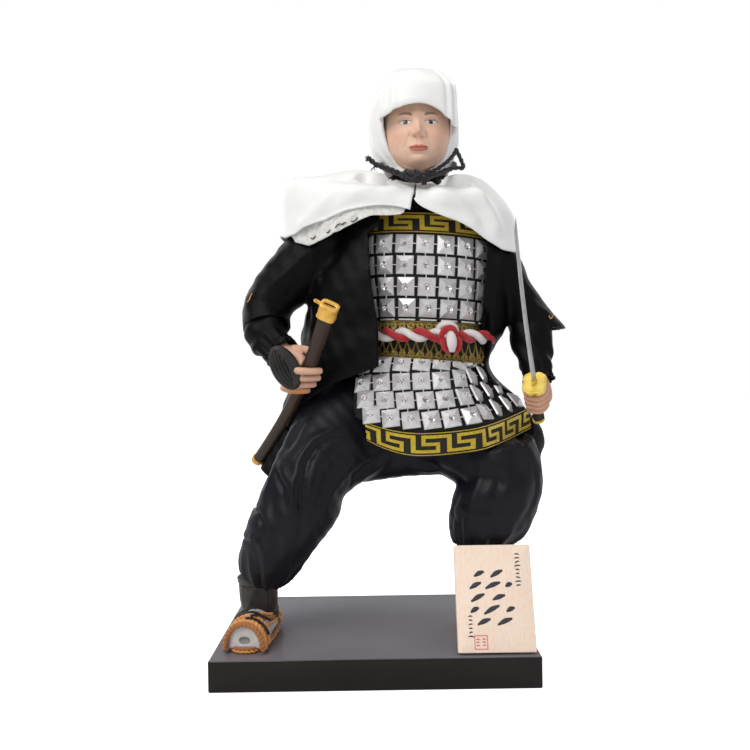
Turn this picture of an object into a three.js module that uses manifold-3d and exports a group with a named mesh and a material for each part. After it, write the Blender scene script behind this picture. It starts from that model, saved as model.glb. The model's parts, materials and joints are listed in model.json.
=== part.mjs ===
// A Japanese display doll: a warrior in a white cowl and shoulder cape, a black open jacket,
// studded armour with brocade borders, a twisted rope belt, black trousers, shin guards and straw
// sandals. One hand holds the scabbard, the other the drawn sword. The figure stands on a black
// lacquered plinth, and a wooden name board leans against the shin.
// Millimetres, +Z up, +X to the figure's left hand, the figure faces -Y.
// Origin: the middle of the plinth's underside.
import * as THREE from 'three';
import { mergeVertices } from 'three/addons/utils/BufferGeometryUtils.js';
import Module from 'manifold-3d';

const wasm = await Module();
wasm.setup();

// ---------------------------------------------------------------- driving sizes
const PLINTH = { w: 165, d: 110, h: 16, edge: 0.9 };
const TOP = PLINTH.h;                       // height of the surface that the figure stands on
const GAP = 0.3;                            // air between pieces that touch
const BOARD = { w: 39.4, l: 53, t: 4, lean: 16.8, x: 61.6, y: -53.6, corner: 1.2 };
const STUD = { size: 9.5, pitch: 10.8, rise: 2.6, flat: 0.3 };
const ARMOUR = { thick: 1.9, slope: 0.06, breastTop: 233.6, breastRows: 4, breastCols: 7, side: 8 };
const TRIM = { w: 11.4, thick: 2.4 };
const BAND = { top: 187.5, bottom: 166.4, thick: 1.6 };
const ROPE = { r: 3.7, z: 177.2, slope: 0.09, strand: 1.9 };
const CORD = { r: 1.35 };
const SKIRT = { thick: 2.0 };
const CAPE = { thick: 1.5 };
const JACKET = { thick: 2.2, frontL: 4.5, frontR: 66 };
const FOOT = { w: 9.4, h: 12.2, strap: 1.9, sole: 1.1 };
const SWORD = { len: 103.8, w: 4.6, t: 1.3, guardW: 13, guardH: 16.6, guardT: 2, grip: 27, gripR: 3.1, pommel: 2.6 };
const SHEATH = { len: 127.8, a0: 4.05, b0: 3.3, a1: 3.15, b1: 2.7, collar: 10, cap: 4.2, slotW: 5.6, slotT: 1.8, bore: 108 };
const HEAD = { x: 27.8, y: 0, z: 297, w: 19.2, d: 20, h: 24.5 };
const COWL = { w: 25.2, d: 25.5 };

// ---------------------------------------------------------------- stations
// A body row is a closed outline at one height, given by its left, right, front and back extent.
// o.xf, o.xb: where the front and back points lie. o.yl, o.yr: where the side points lie.
// o.dz: extra heights of the left, front, right and back points.
const row = (z, xl, xr, yf, yb, o = {}) => {
  const xm = (xl + xr) / 2, ym = (yf + yb) / 2, [dl, df, dr, db] = o.dz || [0, 0, 0, 0];
  return [[xl, o.yl ?? ym, z + dl], [o.xf ?? xm, yf, z + df], [xr, o.yr ?? ym, z + dr], [o.xb ?? xm, yb, z + db]];
};
const KIMONO = [
  row(270, 18, 40, -10, 12), row(262, 15, 45, -12, 15), row(254, 4, 59, -15, 19), row(240, -3, 66, -19, 22),
  row(215, -2, 65.5, -20, 22), row(190, 3, 62.5, -18.5, 20), row(170, 2, 63.5, -18.5, 20), row(151, -2, 66, -18, 22),
];
const HIPS = [
  row(149, -1, 65, -17, 21), row(132, -6, 76, -19, 24), row(114, -4, 82, -15, 24), row(103, 10, 66, -10, 18), row(97, 20, 52, -5, 12),
];
const APRON = [
  row(168, 0, 66, -22.5, 24, { yl: -10 }), row(158, -6, 70, -26, 26, { xf: 27, yl: -15 }), row(142, -11, 78, -32, 30, { xf: 24, yl: -20 }),
  row(128, -11, 87.5, -36.5, 33, { xf: 21, yl: -22, dz: [3, 0, 4, 0] }), row(116, -8, 95, -38.5, 34, { xf: 19, dz: [4, -2, 7, 0], yl: -22, yr: 6 }),
];
const COAT = [
  row(264, 12, 47, -17, 19), row(257, 0, 61, -22, 23), row(247, -14, 74, -27, 27), row(228, -23, 78, -29.5, 30),
  row(206, -33, 79, -30.5, 31), row(184, -40, 80.5, -31, 32, { xf: 26, yl: 10 }), row(162, -44, 71, -32.5, 34, { xf: 24, yl: 12, yr: 4 }), row(142, -51, 86, -24, 37, { yr: 8 }),
  row(122, -60, 101, -12, 40, { yl: 18, yr: 12 }), row(104, -67, 100, 2, 42, { yl: 26, yr: 21 }),
];
const CAPE_ROWS = [
  row(268, 6.5, 49.5, -20, 21, { dz: [5, -4.5, 4, 4] }), row(265, -6, 61, -24, 27, { dz: [13, -3.5, 7, 6] }), row(258, -27, 73, -28, 35, { dz: [14, -1, 0, 5], xf: 25 }),
  row(247, -46, 83, -31, 41, { dz: [18, 5, -3, 3], xf: 23 }), row(236, -50.5, 86.5, -31.5, 45, { dz: [3, 13, -11, -6], xf: 15 }),
];
// A limb station: x, y, z of the middle, half width across the view, half depth.
const LEG_R = [[10, 4, 134, 31, 19], [-16, -4, 123.5, 29, 20.5], [-33, -17, 102, 22.5, 21.5], [-47.5, -22, 75.5, 19.5, 20.5], [-58.5, -18, 54, 16, 16], [-63, -13.4, 42.6, 11.9, 12]];
const LEG_L = [[45, 2, 124, 27, 23], [65, -15, 108, 27, 21], [66, -19.5, 90, 24.5, 20], [60.5, -16.5, 73.5, 19.5, 16.5], [57.5, -14.5, 62.5, 12.6, 12.6]];
const ARM_R = [[-16, 5, 240, 17, 17], [-27, 5, 231.5, 18.5, 17.5], [-42, 5, 218, 17.5, 16.5], [-58.5, 3.5, 200, 15.5, 14.5]];
const ARM_L = [[75, 5, 225, 8.5, 14], [79, 5, 213, 12, 15.5], [85.5, 5, 201, 16.5, 16.5], [92, 5, 188.5, 20.5, 16]];
const FOREARM_R = [[-57, 4, 206, 12, 12], [-61.5, 2, 192, 13.5, 13], [-58.2, -8, 178.8, 12.5, 12], [-52.1, -15, 169.4, 8.8, 8.8], [-49.1, -18, 165, 7, 7]];
const FOREARM_L = [[91.5, 3, 192, 12, 12], [91.7, -2, 176, 12.8, 11.5], [91.6, -7.5, 165, 9.5, 9], [91.4, -11, 159, 6.6, 6.6]];
const SHIN_R = [[-64.3, -13.4, 47.5, 10.9, 10.9], [-64.1, -12.6, 36, 10.4, 10.4], [-63.6, -10.6, 24, 9.3, 9.6]];
const SHIN_L = [[57.4, -14.1, 67, 9.8, 9.8], [57.4, -12.6, 45, 9.9, 9.9], [57.6, -9.2, 24, 9.2, 9.6]];
const SOLE_R = { heel: [-62.2, 2.5], toe: [-66.9, -45.3] };
const SOLE_L = { heel: [54.8, 5], toe: [65.8, -40] };
const GUARD_AT = new THREE.Vector3(87.1, -29, 151.6), BLADE_TIP = new THREE.Vector3(65, -97.6, 225.3);
const MOUTH_AT = new THREE.Vector3(-19.9, -54, 193), SHEATH_END = new THREE.Vector3(-70.6, 25, 106.2);

// ---------------------------------------------------------------- solids from shaped grids
const V = (a) => new THREE.Vector3(a[0], a[1], a[2]);
const rad = THREE.MathUtils.degToRad, TAU = Math.PI * 2;

// A closed mesh as a solid that can be joined and cut.
function solid(geometry) {
  const g = geometry.clone();
  for (const k of ['normal', 'uv']) g.deleteAttribute(k);
  const m = mergeVertices(g, 1e-4), tri = new Uint32Array(m.index.array), pos = m.attributes.position.array;
  const keep = [];
  let six = 0;
  for (let i = 0; i < tri.length; i += 3) {
    const [a, b, c] = [tri[i], tri[i + 1], tri[i + 2]];
    if (a === b || b === c || a === c) continue;
    keep.push(a, b, c);
    const p = (j) => new THREE.Vector3(pos[3 * j], pos[3 * j + 1], pos[3 * j + 2]);
    six += p(a).dot(p(b).cross(p(c)));
  }
  if (six < 0) for (let i = 0; i < keep.length; i += 3) [keep[i + 1], keep[i + 2]] = [keep[i + 2], keep[i + 1]];
  return new wasm.Manifold(new wasm.Mesh({ numProp: 3, vertProperties: new Float32Array(pos), triVerts: new Uint32Array(keep) }));
}

// A capped tube grid, n round and m along, whose points are put in place by a function of (angle, v).
function tube(n, m, place) {
  const g = new THREE.CylinderGeometry(1, 1, 1, n, m), p = g.getAttribute('position');
  const ringMiddle = (v) => {
    const c = new THREE.Vector3();
    for (let i = 0; i < n; i++) c.add(place((i / n) * TAU, v));
    return c.divideScalar(n);
  };
  const ends = [ringMiddle(0), ringMiddle(1)];
  for (let i = 0; i < p.count; i++) {
    const v = Math.round((0.5 - p.getY(i)) * m) / m;
    const k = Math.round((Math.atan2(p.getX(i), p.getZ(i)) / TAU) * n);
    const q = Math.hypot(p.getX(i), p.getZ(i)) < 1e-6 ? ends[v < 0.5 ? 0 : 1] : place((((k % n) + n) % n) / n * TAU, v);
    p.setXYZ(i, q.x, q.y, q.z);
  }
  return solid(g);
}

const curveOf = (pts) => new THREE.CatmullRomCurve3(pts.map(V), false, 'catmullrom', 0.5);

// A garment body: rows joined by smooth curves. Angle 0 is the front, a quarter turn is +X.
function bodySurface(rows, grow = 0) {
  const side = [0, 1, 2, 3].map((s) => curveOf(rows.map((r) => r[s])));
  return (a, v) => {
    const [L, F, R, B] = side.map((c) => c.getPoint(v));
    L.x -= grow; R.x += grow; F.y -= grow; B.y += grow;
    const q = Math.floor(((a % TAU) + TAU) % TAU / (TAU / 4)) % 4, t = ((((a % TAU) + TAU) % TAU) - q * TAU / 4);
    const c = Math.cos(t), s = Math.sin(t), mix = (p, r) => p * c * c + r * s * s;
    if (q === 0) return new THREE.Vector3(F.x + (R.x - F.x) * s, R.y + (F.y - R.y) * c, mix(F.z, R.z));
    if (q === 1) return new THREE.Vector3(B.x + (R.x - B.x) * c, R.y + (B.y - R.y) * s, mix(R.z, B.z));
    if (q === 2) return new THREE.Vector3(B.x + (L.x - B.x) * s, L.y + (B.y - L.y) * c, mix(B.z, L.z));
    return new THREE.Vector3(F.x + (L.x - F.x) * c, L.y + (F.y - L.y) * s, mix(L.z, F.z));
  };
}
const body = (rows, n, m, grow = 0) => tube(n, m, bodySurface(rows, grow));

// A limb: a tube along its stations. The first half width lies across the view, the second along Y.
function limb(stations, n, m, grow = 0, wave = () => 0) {
  const mid = curveOf(stations.map((s) => s.slice(0, 3))), radii = curveOf(stations.map((s) => [s[3], s[4], 0]));
  return tube(n, m, (a, v) => {
    const c = mid.getPoint(v), r = radii.getPoint(v);
    const T = mid.getPoint(Math.min(1, v + 0.01)).sub(mid.getPoint(Math.max(0, v - 0.01))).normalize();
    const U = new THREE.Vector3().crossVectors(new THREE.Vector3(0, 1, 0), T).normalize();
    const W = new THREE.Vector3().crossVectors(T, U);
    const k = 1 + wave(a, v);
    return c.addScaledVector(U, Math.cos(a) * (r.x * k + grow)).addScaledVector(W, Math.sin(a) * (r.y * k + grow));
  });
}

// A rod along a curve with an oval section.
function rod(points, r, n, m, flat = 1, closed = false) {
  const path = new THREE.CatmullRomCurve3(points, closed, 'catmullrom', 0.5);
  const shape = new THREE.Shape();
  for (let i = 0; i <= n; i++) shape[i ? 'lineTo' : 'moveTo'](Math.cos((i / n) * TAU) * r * flat, Math.sin((i / n) * TAU) * r);
  return solid(new THREE.ExtrudeGeometry(shape, { extrudePath: path, steps: m, curveSegments: n, bevelEnabled: false }));
}

// A block with its own axes: size along x, y, z, at a place, turned so that its z points along dir.
function block(sx, sy, sz, at, dir = null, up = null) {
  const g = new THREE.BoxGeometry(sx, sy, sz);
  const m = new THREE.Matrix4();
  if (dir) {
    const z = dir.clone().normalize(), y = up.clone().addScaledVector(z, -up.dot(z)).normalize(), x = new THREE.Vector3().crossVectors(y, z);
    m.makeBasis(x, y, z);
  }
  m.setPosition(at[0] ?? at.x, at[1] ?? at.y, at[2] ?? at.z);
  return solid(g.applyMatrix4(m));
}
const joined = (list) => list.slice(1).reduce((a, b) => a.add(b), list[0]);
const biggest = (s) => s.decompose().sort((a, b) => b.volume() - a.volume())[0];
const root = new THREE.Group();
let holder = root;
const group = (name) => { holder = new THREE.Group(); holder.name = name; root.add(holder); };
// Each piece is a mesh about its own middle, put in place by its position.
function piece(name, s, colour, roughness, metalness = 0) {
  const m = biggest(s).getMesh(), n = m.numProp, v = new Float32Array(m.numVert * 3);
  for (let i = 0; i < m.numVert; i++) v.set(m.vertProperties.subarray(i * n, i * n + 3), i * 3);
  const g = new THREE.BufferGeometry().setAttribute('position', new THREE.BufferAttribute(v, 3)).setIndex(new THREE.BufferAttribute(new Uint32Array(m.triVerts), 1));
  g.computeBoundingBox();
  const middle = g.boundingBox.getCenter(new THREE.Vector3()).round();
  g.translate(-middle.x, -middle.y, -middle.z);
  g.computeVertexNormals();
  const mesh = new THREE.Mesh(g, new THREE.MeshStandardMaterial({ color: colour, roughness, metalness }));
  mesh.name = name;
  mesh.position.copy(middle);
  holder.add(mesh);
  return s;
}
const COLOUR = { lacquer: 0x1d1a1a, wood: 0xf4dcc8, skin: 0xd9a890, white: 0xf1f0ec, cord: 0x2b1b22, black: 0x17181d, silver: 0xd6d3d4, gold: 0xc79a1e, brown: 0x33231a, leather: 0x2a2422, rope: 0xc8202f, straw: 0xef9a4a, sock: 0xb5aaa8, steel: 0xa9a6a8 };

// ---------------------------------------------------------------- plinth and name board
group('base');
{
  const s = new THREE.Shape(), w = PLINTH.w / 2 - PLINTH.edge, d = PLINTH.d / 2 - PLINTH.edge;
  s.moveTo(-w, -d); s.lineTo(w, -d); s.lineTo(w, d); s.lineTo(-w, d); s.closePath();
  const g = new THREE.ExtrudeGeometry(s, { depth: PLINTH.h - 2 * PLINTH.edge, bevelThickness: PLINTH.edge, bevelSize: PLINTH.edge, bevelSegments: 2 });
  g.translate(0, 0, PLINTH.edge);
  piece('plinth', solid(g), COLOUR.lacquer, 0.15);
}
{
  const w = BOARD.w / 2, r = BOARD.corner, s = new THREE.Shape();
  s.moveTo(-w, 0); s.lineTo(w, 0); s.lineTo(w, BOARD.l - r); s.quadraticCurveTo(w, BOARD.l, w - r, BOARD.l); s.lineTo(-w + r, BOARD.l); s.quadraticCurveTo(-w, BOARD.l, -w, BOARD.l - r); s.closePath();
  const g = new THREE.ExtrudeGeometry(s, { depth: BOARD.t, bevelEnabled: false, curveSegments: 3 });
  // The board stands on its lower back edge, its face leaning away from the front.
  g.rotateX(Math.PI / 2 - rad(BOARD.lean));
  g.translate(BOARD.x, BOARD.y + BOARD.t * Math.cos(rad(BOARD.lean)), TOP + GAP + 0.02);
  piece('name_board', solid(g), COLOUR.wood, 0.6);
}

// ---------------------------------------------------------------- clothed body
group('body');
const kimono = body(KIMONO, 20, 7);
const headSolid = (g = 0) => solid(new THREE.SphereGeometry(1, 14, 8)).transform(new THREE.Matrix4().makeScale(HEAD.w + g, HEAD.d + g, HEAD.h + g).setPosition(HEAD.x, HEAD.y, HEAD.z).elements);
const neck = (g = 0) => limb([[29, 1, 285, 9, 9], [29, 1, 272, 9.2, 9.2], [29, 1, 262, 9.6, 9.6]], 16, 2, g);
piece('kimono', kimono.subtract(neck(GAP)), COLOUR.black, 0.6);

// The head is turned out of a sphere: a face with a nose, lips, a chin and hollows for the eyes.
const headPoint = (p) => {
  const front = Math.max(0, -p.y), x = p.x, z = p.z;
  const bump = (cx, cz, sx, sz, k) => k * Math.exp(-(((x - cx) / sx) ** 2) - ((z - cz) / sz) ** 2);
  const jaw = z < -0.1 ? 1 - 0.24 * (-z - 0.1) : 1;
  const relief = bump(0, -0.18, 0.1, 0.17, 0.13) + bump(0, 0.16, 0.34, 0.1, 0.03) + bump(0, -0.5, 0.2, 0.07, 0.035) + bump(0, -0.8, 0.2, 0.12, 0.06)
    - bump(0.36, 0.05, 0.17, 0.09, 0.045) - bump(-0.36, 0.05, 0.17, 0.09, 0.045);
  return new THREE.Vector3(x * jaw * HEAD.w, (p.y - relief * front) * HEAD.d, z * HEAD.h).add(new THREE.Vector3(HEAD.x, HEAD.y, HEAD.z));
};
const headShape = (() => {
  const g = new THREE.SphereGeometry(1, 12, 10).rotateX(Math.PI / 2), p = g.getAttribute('position');
  for (let i = 0; i < p.count; i++) {
    const q = headPoint(new THREE.Vector3(p.getX(i), p.getY(i), p.getZ(i)));
    p.setXYZ(i, q.x, q.y, q.z);
  }
  return solid(g);
})();
const headAll = headShape.add(neck());
piece('head', headAll, COLOUR.skin, 0.45);

// The cowl: a hood over the head with an opening for the face, down to the cord round the neck.
const HOOD = [
  row(334, 22, 33, -5, 8), row(331.5, 11, 44, -16, 17), row(324, 4, 50.5, -22.5, 22), row(311, 2.6, 52.6, -24, 25), row(298, 2.2, 53, -22, 26),
  row(286, 3.5, 51.5, -19.5, 25), row(276, 9.5, 46, -17, 22), row(270.6, 12.5, 44, -16.5, 19),
];
const faceHole = solid(new THREE.CylinderGeometry(1, 1, 1, 14, 1)).transform(new THREE.Matrix4().makeScale(17.6, 40, 20.5).setPosition(HEAD.x, -22, 288.6).elements);
const hood = body(HOOD, 12, 7);
const headClear = solid(new THREE.SphereGeometry(1, 14, 8)).transform(new THREE.Matrix4().makeScale(HEAD.w + 1.6, HEAD.d + 1.6, HEAD.h + 1.2).setPosition(HEAD.x, HEAD.y - 0.6, HEAD.z).elements);
const bandOut = body([row(333.6, 16, 39, -13, 4), row(330, 8, 47, -22, 8), row(320, 4, 51, -26, 8), row(306, 2.6, 52.4, -26.4, 8, { dz: [-9, -2, -13, 0] })], 14, 4);
const cowlBand = bandOut.intersect(block(60, 24, 60, [HEAD.x, -17, 316]));
piece('cowl', hood.subtract(faceHole).subtract(headClear).subtract(neck(GAP)).subtract(body(KIMONO, 20, 7, GAP)), COLOUR.white, 0.55);
piece('cowl_band', cowlBand.subtract(body(HOOD, 12, 7)).subtract(headClear), COLOUR.white, 0.5);

// ---------------------------------------------------------------- armour
group('armour');
const slopeZ = (x) => -ARMOUR.slope * (x - 33);
// Space between two sloping planes, in front of y = back.
function slab(zLow, zHigh, back, slope = ARMOUR.slope) {
  const s = new THREE.Shape();
  s.moveTo(-60, zLow + 93 * slope); s.lineTo(130, zLow - 97 * slope); s.lineTo(130, zHigh - 97 * slope); s.lineTo(-60, zHigh + 93 * slope); s.closePath();
  return solid(new THREE.ExtrudeGeometry(s, { depth: 90, bevelEnabled: false }).rotateX(Math.PI / 2).translate(0, back, 0));
}
// A surface function read from its own flat facets, n round and m along.
const faceted = (f, n, m) => (a, v) => {
  const x = (((a % TAU) + TAU) % TAU) / TAU * n, y = Math.min(m - 1e-6, Math.max(0, v * m)), i = Math.floor(x), j = Math.floor(y), s = x - i, t = y - j;
  const at = (p, q) => f((p / n) * TAU, q / m);
  return at(i, j).lerp(at(i + 1, j), s).lerp(at(i, j + 1).lerp(at(i + 1, j + 1), s), t);
};
// The row of a body surface that lies on a sloping line, as a function of the angle.
const rowAt = (surface, z) => (a) => {
  let lo = 0, hi = 1;
  for (let i = 0; i < 26; i++) { const m = (lo + hi) / 2, p = surface(a, m); if (p.z > z(p.x)) lo = m; else hi = m; }
  return surface(a, lo);
};
// The angle at a distance round from the front, along one row.
function angleAt(line, round) {
  let a = 0, p = line(0);
  const step = Math.sign(round) * 0.04;
  for (let left = Math.abs(round); left > 0;) {
    const q = line(a + step), d = q.distanceTo(p);
    if (d >= left) return a + step * (left / d);
    left -= d; a += step; p = q;
  }
  return a;
}
// A thick sheet over a grid of points: at(c, r) gives the place on the middle face and its normal.
// Each cell can rise to a point in its middle, as a square stud does.
function sheet(cols, rows, at, out, back, rise = 0) {
  const pos = [], tri = [], id = (f, c, r) => f * (cols + 1) * (rows + 1) + r * (cols + 1) + c;
  for (const off of [out, back]) for (let r = 0; r <= rows; r++) for (let c = 0; c <= cols; c++) {
    const { p, n } = at(c, r);
    pos.push(...p.clone().addScaledVector(n, off).toArray());
  }
  const quad = (a, b, c, d) => tri.push(a, b, c, a, c, d);
  for (let r = 0; r < rows; r++) for (let c = 0; c < cols; c++) {
    const q = [id(0, c, r), id(0, c, r + 1), id(0, c + 1, r + 1), id(0, c + 1, r)];
    if (rise) {
      const { p, n } = at(c + 0.5, r + 0.5), top = pos.length / 3;
      pos.push(...p.clone().addScaledVector(n, out + rise).toArray());
      for (let k = 0; k < 4; k++) tri.push(q[k], q[(k + 1) % 4], top);
    } else quad(...q);
    quad(id(1, c, r), id(1, c + 1, r), id(1, c + 1, r + 1), id(1, c, r + 1));
  }
  for (let r = 0; r < rows; r++) { quad(id(0, 0, r), id(1, 0, r), id(1, 0, r + 1), id(0, 0, r + 1)); quad(id(0, cols, r), id(0, cols, r + 1), id(1, cols, r + 1), id(1, cols, r)); }
  for (let c = 0; c < cols; c++) { quad(id(0, c, 0), id(0, c + 1, 0), id(1, c + 1, 0), id(1, c, 0)); quad(id(0, c, rows), id(1, c, rows), id(1, c + 1, rows), id(0, c + 1, rows)); }
  const g = new THREE.BufferGeometry().setAttribute('position', new THREE.Float32BufferAttribute(pos, 3));
  g.setIndex(tri);
  return solid(g);
}
// Place and outward normal on a surface, from one row and a row a little above it.
function placed(line, upper, a) {
  const e = line(a + 0.03).sub(line(a - 0.03)), d = upper(a).sub(line(a));
  return { p: line(a), n: new THREE.Vector3().crossVectors(e, d).normalize() };
}
const chest = faceted(bodySurface(KIMONO), 20, 7), chestRow = (z, slope = ARMOUR.slope) => rowAt(chest, (x) => z - slope * (x - 33));
const breastBottom = ARMOUR.breastTop - ARMOUR.breastRows * STUD.pitch;
const onChest = (z, round, slope) => { const l = chestRow(z, slope); return placed(l, chestRow(z + 2, slope), angleAt(l, round)); };
piece('breastplate', sheet(ARMOUR.breastCols, ARMOUR.breastRows, (c, r) => onChest(ARMOUR.breastTop - r * STUD.pitch, (c - ARMOUR.breastCols / 2) * STUD.pitch + 0.6), 2.7, 1.45, STUD.rise), COLOUR.silver, 0.3, 0.6);
piece('breast_border', sheet(8, 2, (c, r) => onChest(ARMOUR.breastTop + GAP + (1 - r / 2) * TRIM.w, (c - 4) * 9.5), TRIM.thick + 0.6, 1.4), COLOUR.gold, 0.4, 0.5);
piece('waist_band', sheet(9, 1, (c, r) => (r ? onChest(BAND.bottom, (c - 4.5) * 9.2, ROPE.slope) : onChest(breastBottom - GAP, (c - 4.5) * 9.2)), BAND.thick + 0.9, 1.2), COLOUR.gold, 0.5, 0.4);

// The rope belt lies on the waist band all the way round, with a tied knot beside the middle.
const beltLine = [], beltRow = rowAt(bodySurface(KIMONO, BAND.thick + 1.5 + ROPE.r + GAP), (x) => ROPE.z - ROPE.slope * (x - 33));
for (let i = 0; i < 20; i++) beltLine.push(beltRow((i / 20) * TAU));
const knotAt = beltRow(angleAt(beltRow, 12));
const knot = [
  solid(new THREE.SphereGeometry(1, 8, 6)).transform(new THREE.Matrix4().makeScale(6.2, 4.6, 6.4).setPosition(knotAt.x, knotAt.y - 2, knotAt.z + 0.5).elements),
  rod([V([-4, 0, 2]), V([-3.5, -1.5, 7]), V([0.5, -2, 8]), V([3, -1.5, 4])].map((p) => p.add(knotAt)), 2.2, 5, 4),
  rod([V([1, -2.5, 2]), V([-2, -4, -4]), V([0, -4.2, -8])].map((p) => p.add(knotAt)), 2.4, 5, 3),
];
const beltAt = (g) => rod(beltLine, ROPE.r + g, 5, 18, 1, true);
piece('rope_belt', joined([beltAt(0), ...knot]), COLOUR.rope, 0.6);

// The studded apron flares from the waist over the thighs; its columns lean with the left knee.
const skirt = bodySurface(APRON), HEM = 0.79, STEP = 0.19;
const skirtAt = (v, round) => {
  const l = (a) => skirt(a, v), a = angleAt(l, round);
  return placed(l, (b) => skirt(b, v - 0.02), a);
};
const APRON_ROWS = 4, APRON_COLS = 10, apronLeft = (v) => -35 + 5 * v;
piece('apron', sheet(APRON_COLS, APRON_ROWS, (c, r) => { const v = HEM - (APRON_ROWS - r) * STEP; return skirtAt(v, apronLeft(v) + c * STUD.pitch * (0.9 + 0.12 * v)); }, 0.6, -0.8, STUD.rise)
  .subtract(slab(BAND.bottom - GAP, 220, 60, ROPE.slope)).subtract(body(KIMONO, 20, 7, GAP)), COLOUR.silver, 0.3, 0.6);
piece('apron_border', sheet(12, 1, (c, r) => { const v = HEM + 0.008 + r * 0.195; return skirtAt(v, apronLeft(v) + 0.8 + c * STUD.pitch * 0.84); }, 0.8, -0.8), COLOUR.gold, 0.4, 0.5);

// ---------------------------------------------------------------- trousers, shins, feet
group('legs');
const shinR = limb(SHIN_R, 12, 3), shinL = limb(SHIN_L, 12, 3);
// Cloth gathers at the cuff and folds at the knee.
const fold = (k, ph) => (a, v) => 0.03 * Math.sin(k * a + ph + 5 * v) * Math.sin(Math.PI * Math.min(1, v * 1.1));
const trousers = joined([body(HIPS, 14, 3), limb(LEG_R, 12, 6, 0, fold(5, 0.4)), limb(LEG_L, 12, 5, 0, fold(5, 2))]);
// The cloth lies behind the apron and under the waist.
const underApron = body(APRON, 16, 4, -2.2).add(block(400, 400, 84, [0, 0, 71])).add(block(400, 400, 200, [-210, 0, 200])).add(block(400, 300, 200, [0, 152, 200]));
const waistCut = block(400, 400, 60, [0, 0, 157.5 + 30]).add(block(400, 400, 60, [197, 0, 150.5 + 30]));
const trouserSolid = trousers.intersect(underApron).subtract(waistCut).subtract(body(KIMONO, 20, 7, GAP)).subtract(limb(SHIN_R, 12, 3, GAP)).subtract(limb(SHIN_L, 12, 3, GAP));
piece('trousers', trouserSolid, COLOUR.black, 0.5);
piece('right_shin_guard', shinR, COLOUR.leather, 0.35);
piece('left_shin_guard', shinL, COLOUR.leather, 0.35);

// A foot: a D-shaped section, flat below, from the toe to the heel.
function footSolid(at, w, h, zLow, t0, t1, n = 10) {
  const heel = new THREE.Vector3(at.heel[0], at.heel[1], 0), toe = new THREE.Vector3(at.toe[0], at.toe[1], 0);
  const dir = toe.clone().sub(heel), across = new THREE.Vector3(-dir.y, dir.x, 0).normalize();
  return tube(n, 4, (a, v) => {
    const t = t0 + (t1 - t0) * v, c = toe.clone().lerp(heel, t);
    const round = Math.sqrt(Math.max(0.05, 1 - Math.max(0, (t - 0.78) / 0.26) ** 2)) * (0.93 + 0.07 * Math.sin(Math.PI * Math.min(1, t * 1.8)));
    const up = Math.max(0, Math.cos(a)), tall = h * (1 + 0.12 * Math.sin(Math.PI * Math.min(1, t * 1.2)));
    return c.addScaledVector(across, Math.sin(a) * w * round * (Math.cos(a) < 0 ? 1 : 1)).setZ(zLow + up * tall * (0.85 + 0.15 * round));
  });
}
for (const [name, at, shin] of [['right', SOLE_R, SHIN_R], ['left', SOLE_L, SHIN_L]]) {
  const guard = limb(shin, 12, 3, GAP);
  const foot = footSolid(at, FOOT.w, FOOT.h, TOP + GAP + FOOT.sole, 0.012, 0.97);
  piece(name + '_foot', foot.subtract(guard), COLOUR.sock, 0.5);
  const outer = footSolid(at, FOOT.w + FOOT.strap + 0.6, FOOT.h + FOOT.strap + FOOT.sole, TOP + GAP, 0.03, 1.02);
  const inner = footSolid(at, FOOT.w + 2 * GAP, FOOT.h + 2 * GAP, TOP + GAP + FOOT.sole - 0.3, -0.1, 0.98);
  // an opening over the instep, as a straw sandal has
  const instep = limb([[at.toe[0] * 0.52 + at.heel[0] * 0.48 - 3, at.toe[1] * 0.55 + at.heel[1] * 0.45, 34, 4.2, 6.2], [at.toe[0] * 0.52 + at.heel[0] * 0.48 - 3, at.toe[1] * 0.55 + at.heel[1] * 0.45, 26, 4, 6]], 10, 1);
  piece(name + '_sandal', outer.subtract(inner).subtract(guard).subtract(instep), COLOUR.straw, 0.7);
}

// ---------------------------------------------------------------- jacket with short sleeves
group('jacket');
const coatOut = body(COAT, 18, 7), coatIn = body(COAT, 18, 7, -JACKET.thick)
  .add(body([row(110, -60, 96, 2, 38), row(98, -62, 96, 6, 38)], 16, 1));
// The front stands open between its two edges, and below a slanting hem only the back hangs on.
const frontOpen = (() => {
  const s = new THREE.Shape();
  s.moveTo(JACKET.frontL + 8, 275); s.lineTo(JACKET.frontL - 5, 244); s.lineTo(JACKET.frontL - 1, 162); s.lineTo(-46, 139); s.lineTo(-72, 118); s.lineTo(-90, 60); s.lineTo(140, 60); s.lineTo(140, 142);
  s.lineTo(JACKET.frontR + 1, 172); s.lineTo(JACKET.frontR + 2, 232); s.lineTo(JACKET.frontR - 8, 275); s.closePath();
  return solid(new THREE.ExtrudeGeometry(s, { depth: 60, bevelEnabled: false }).rotateX(Math.PI / 2).translate(0, 1, 0));
})();
const SHEATH_A = () => [...MOUTH_AT.toArray(), 5.2, 4.6], SHEATH_B = () => [...SHEATH_END.toArray(), 4.2, 3.8];
const coatShell = coatOut.subtract(coatIn).subtract(frontOpen);
const sleeveR = limb(ARM_R, 10, 3, 0, fold(4, 1)), sleeveL = limb(ARM_L, 10, 3, 0, fold(4, 0));
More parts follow.
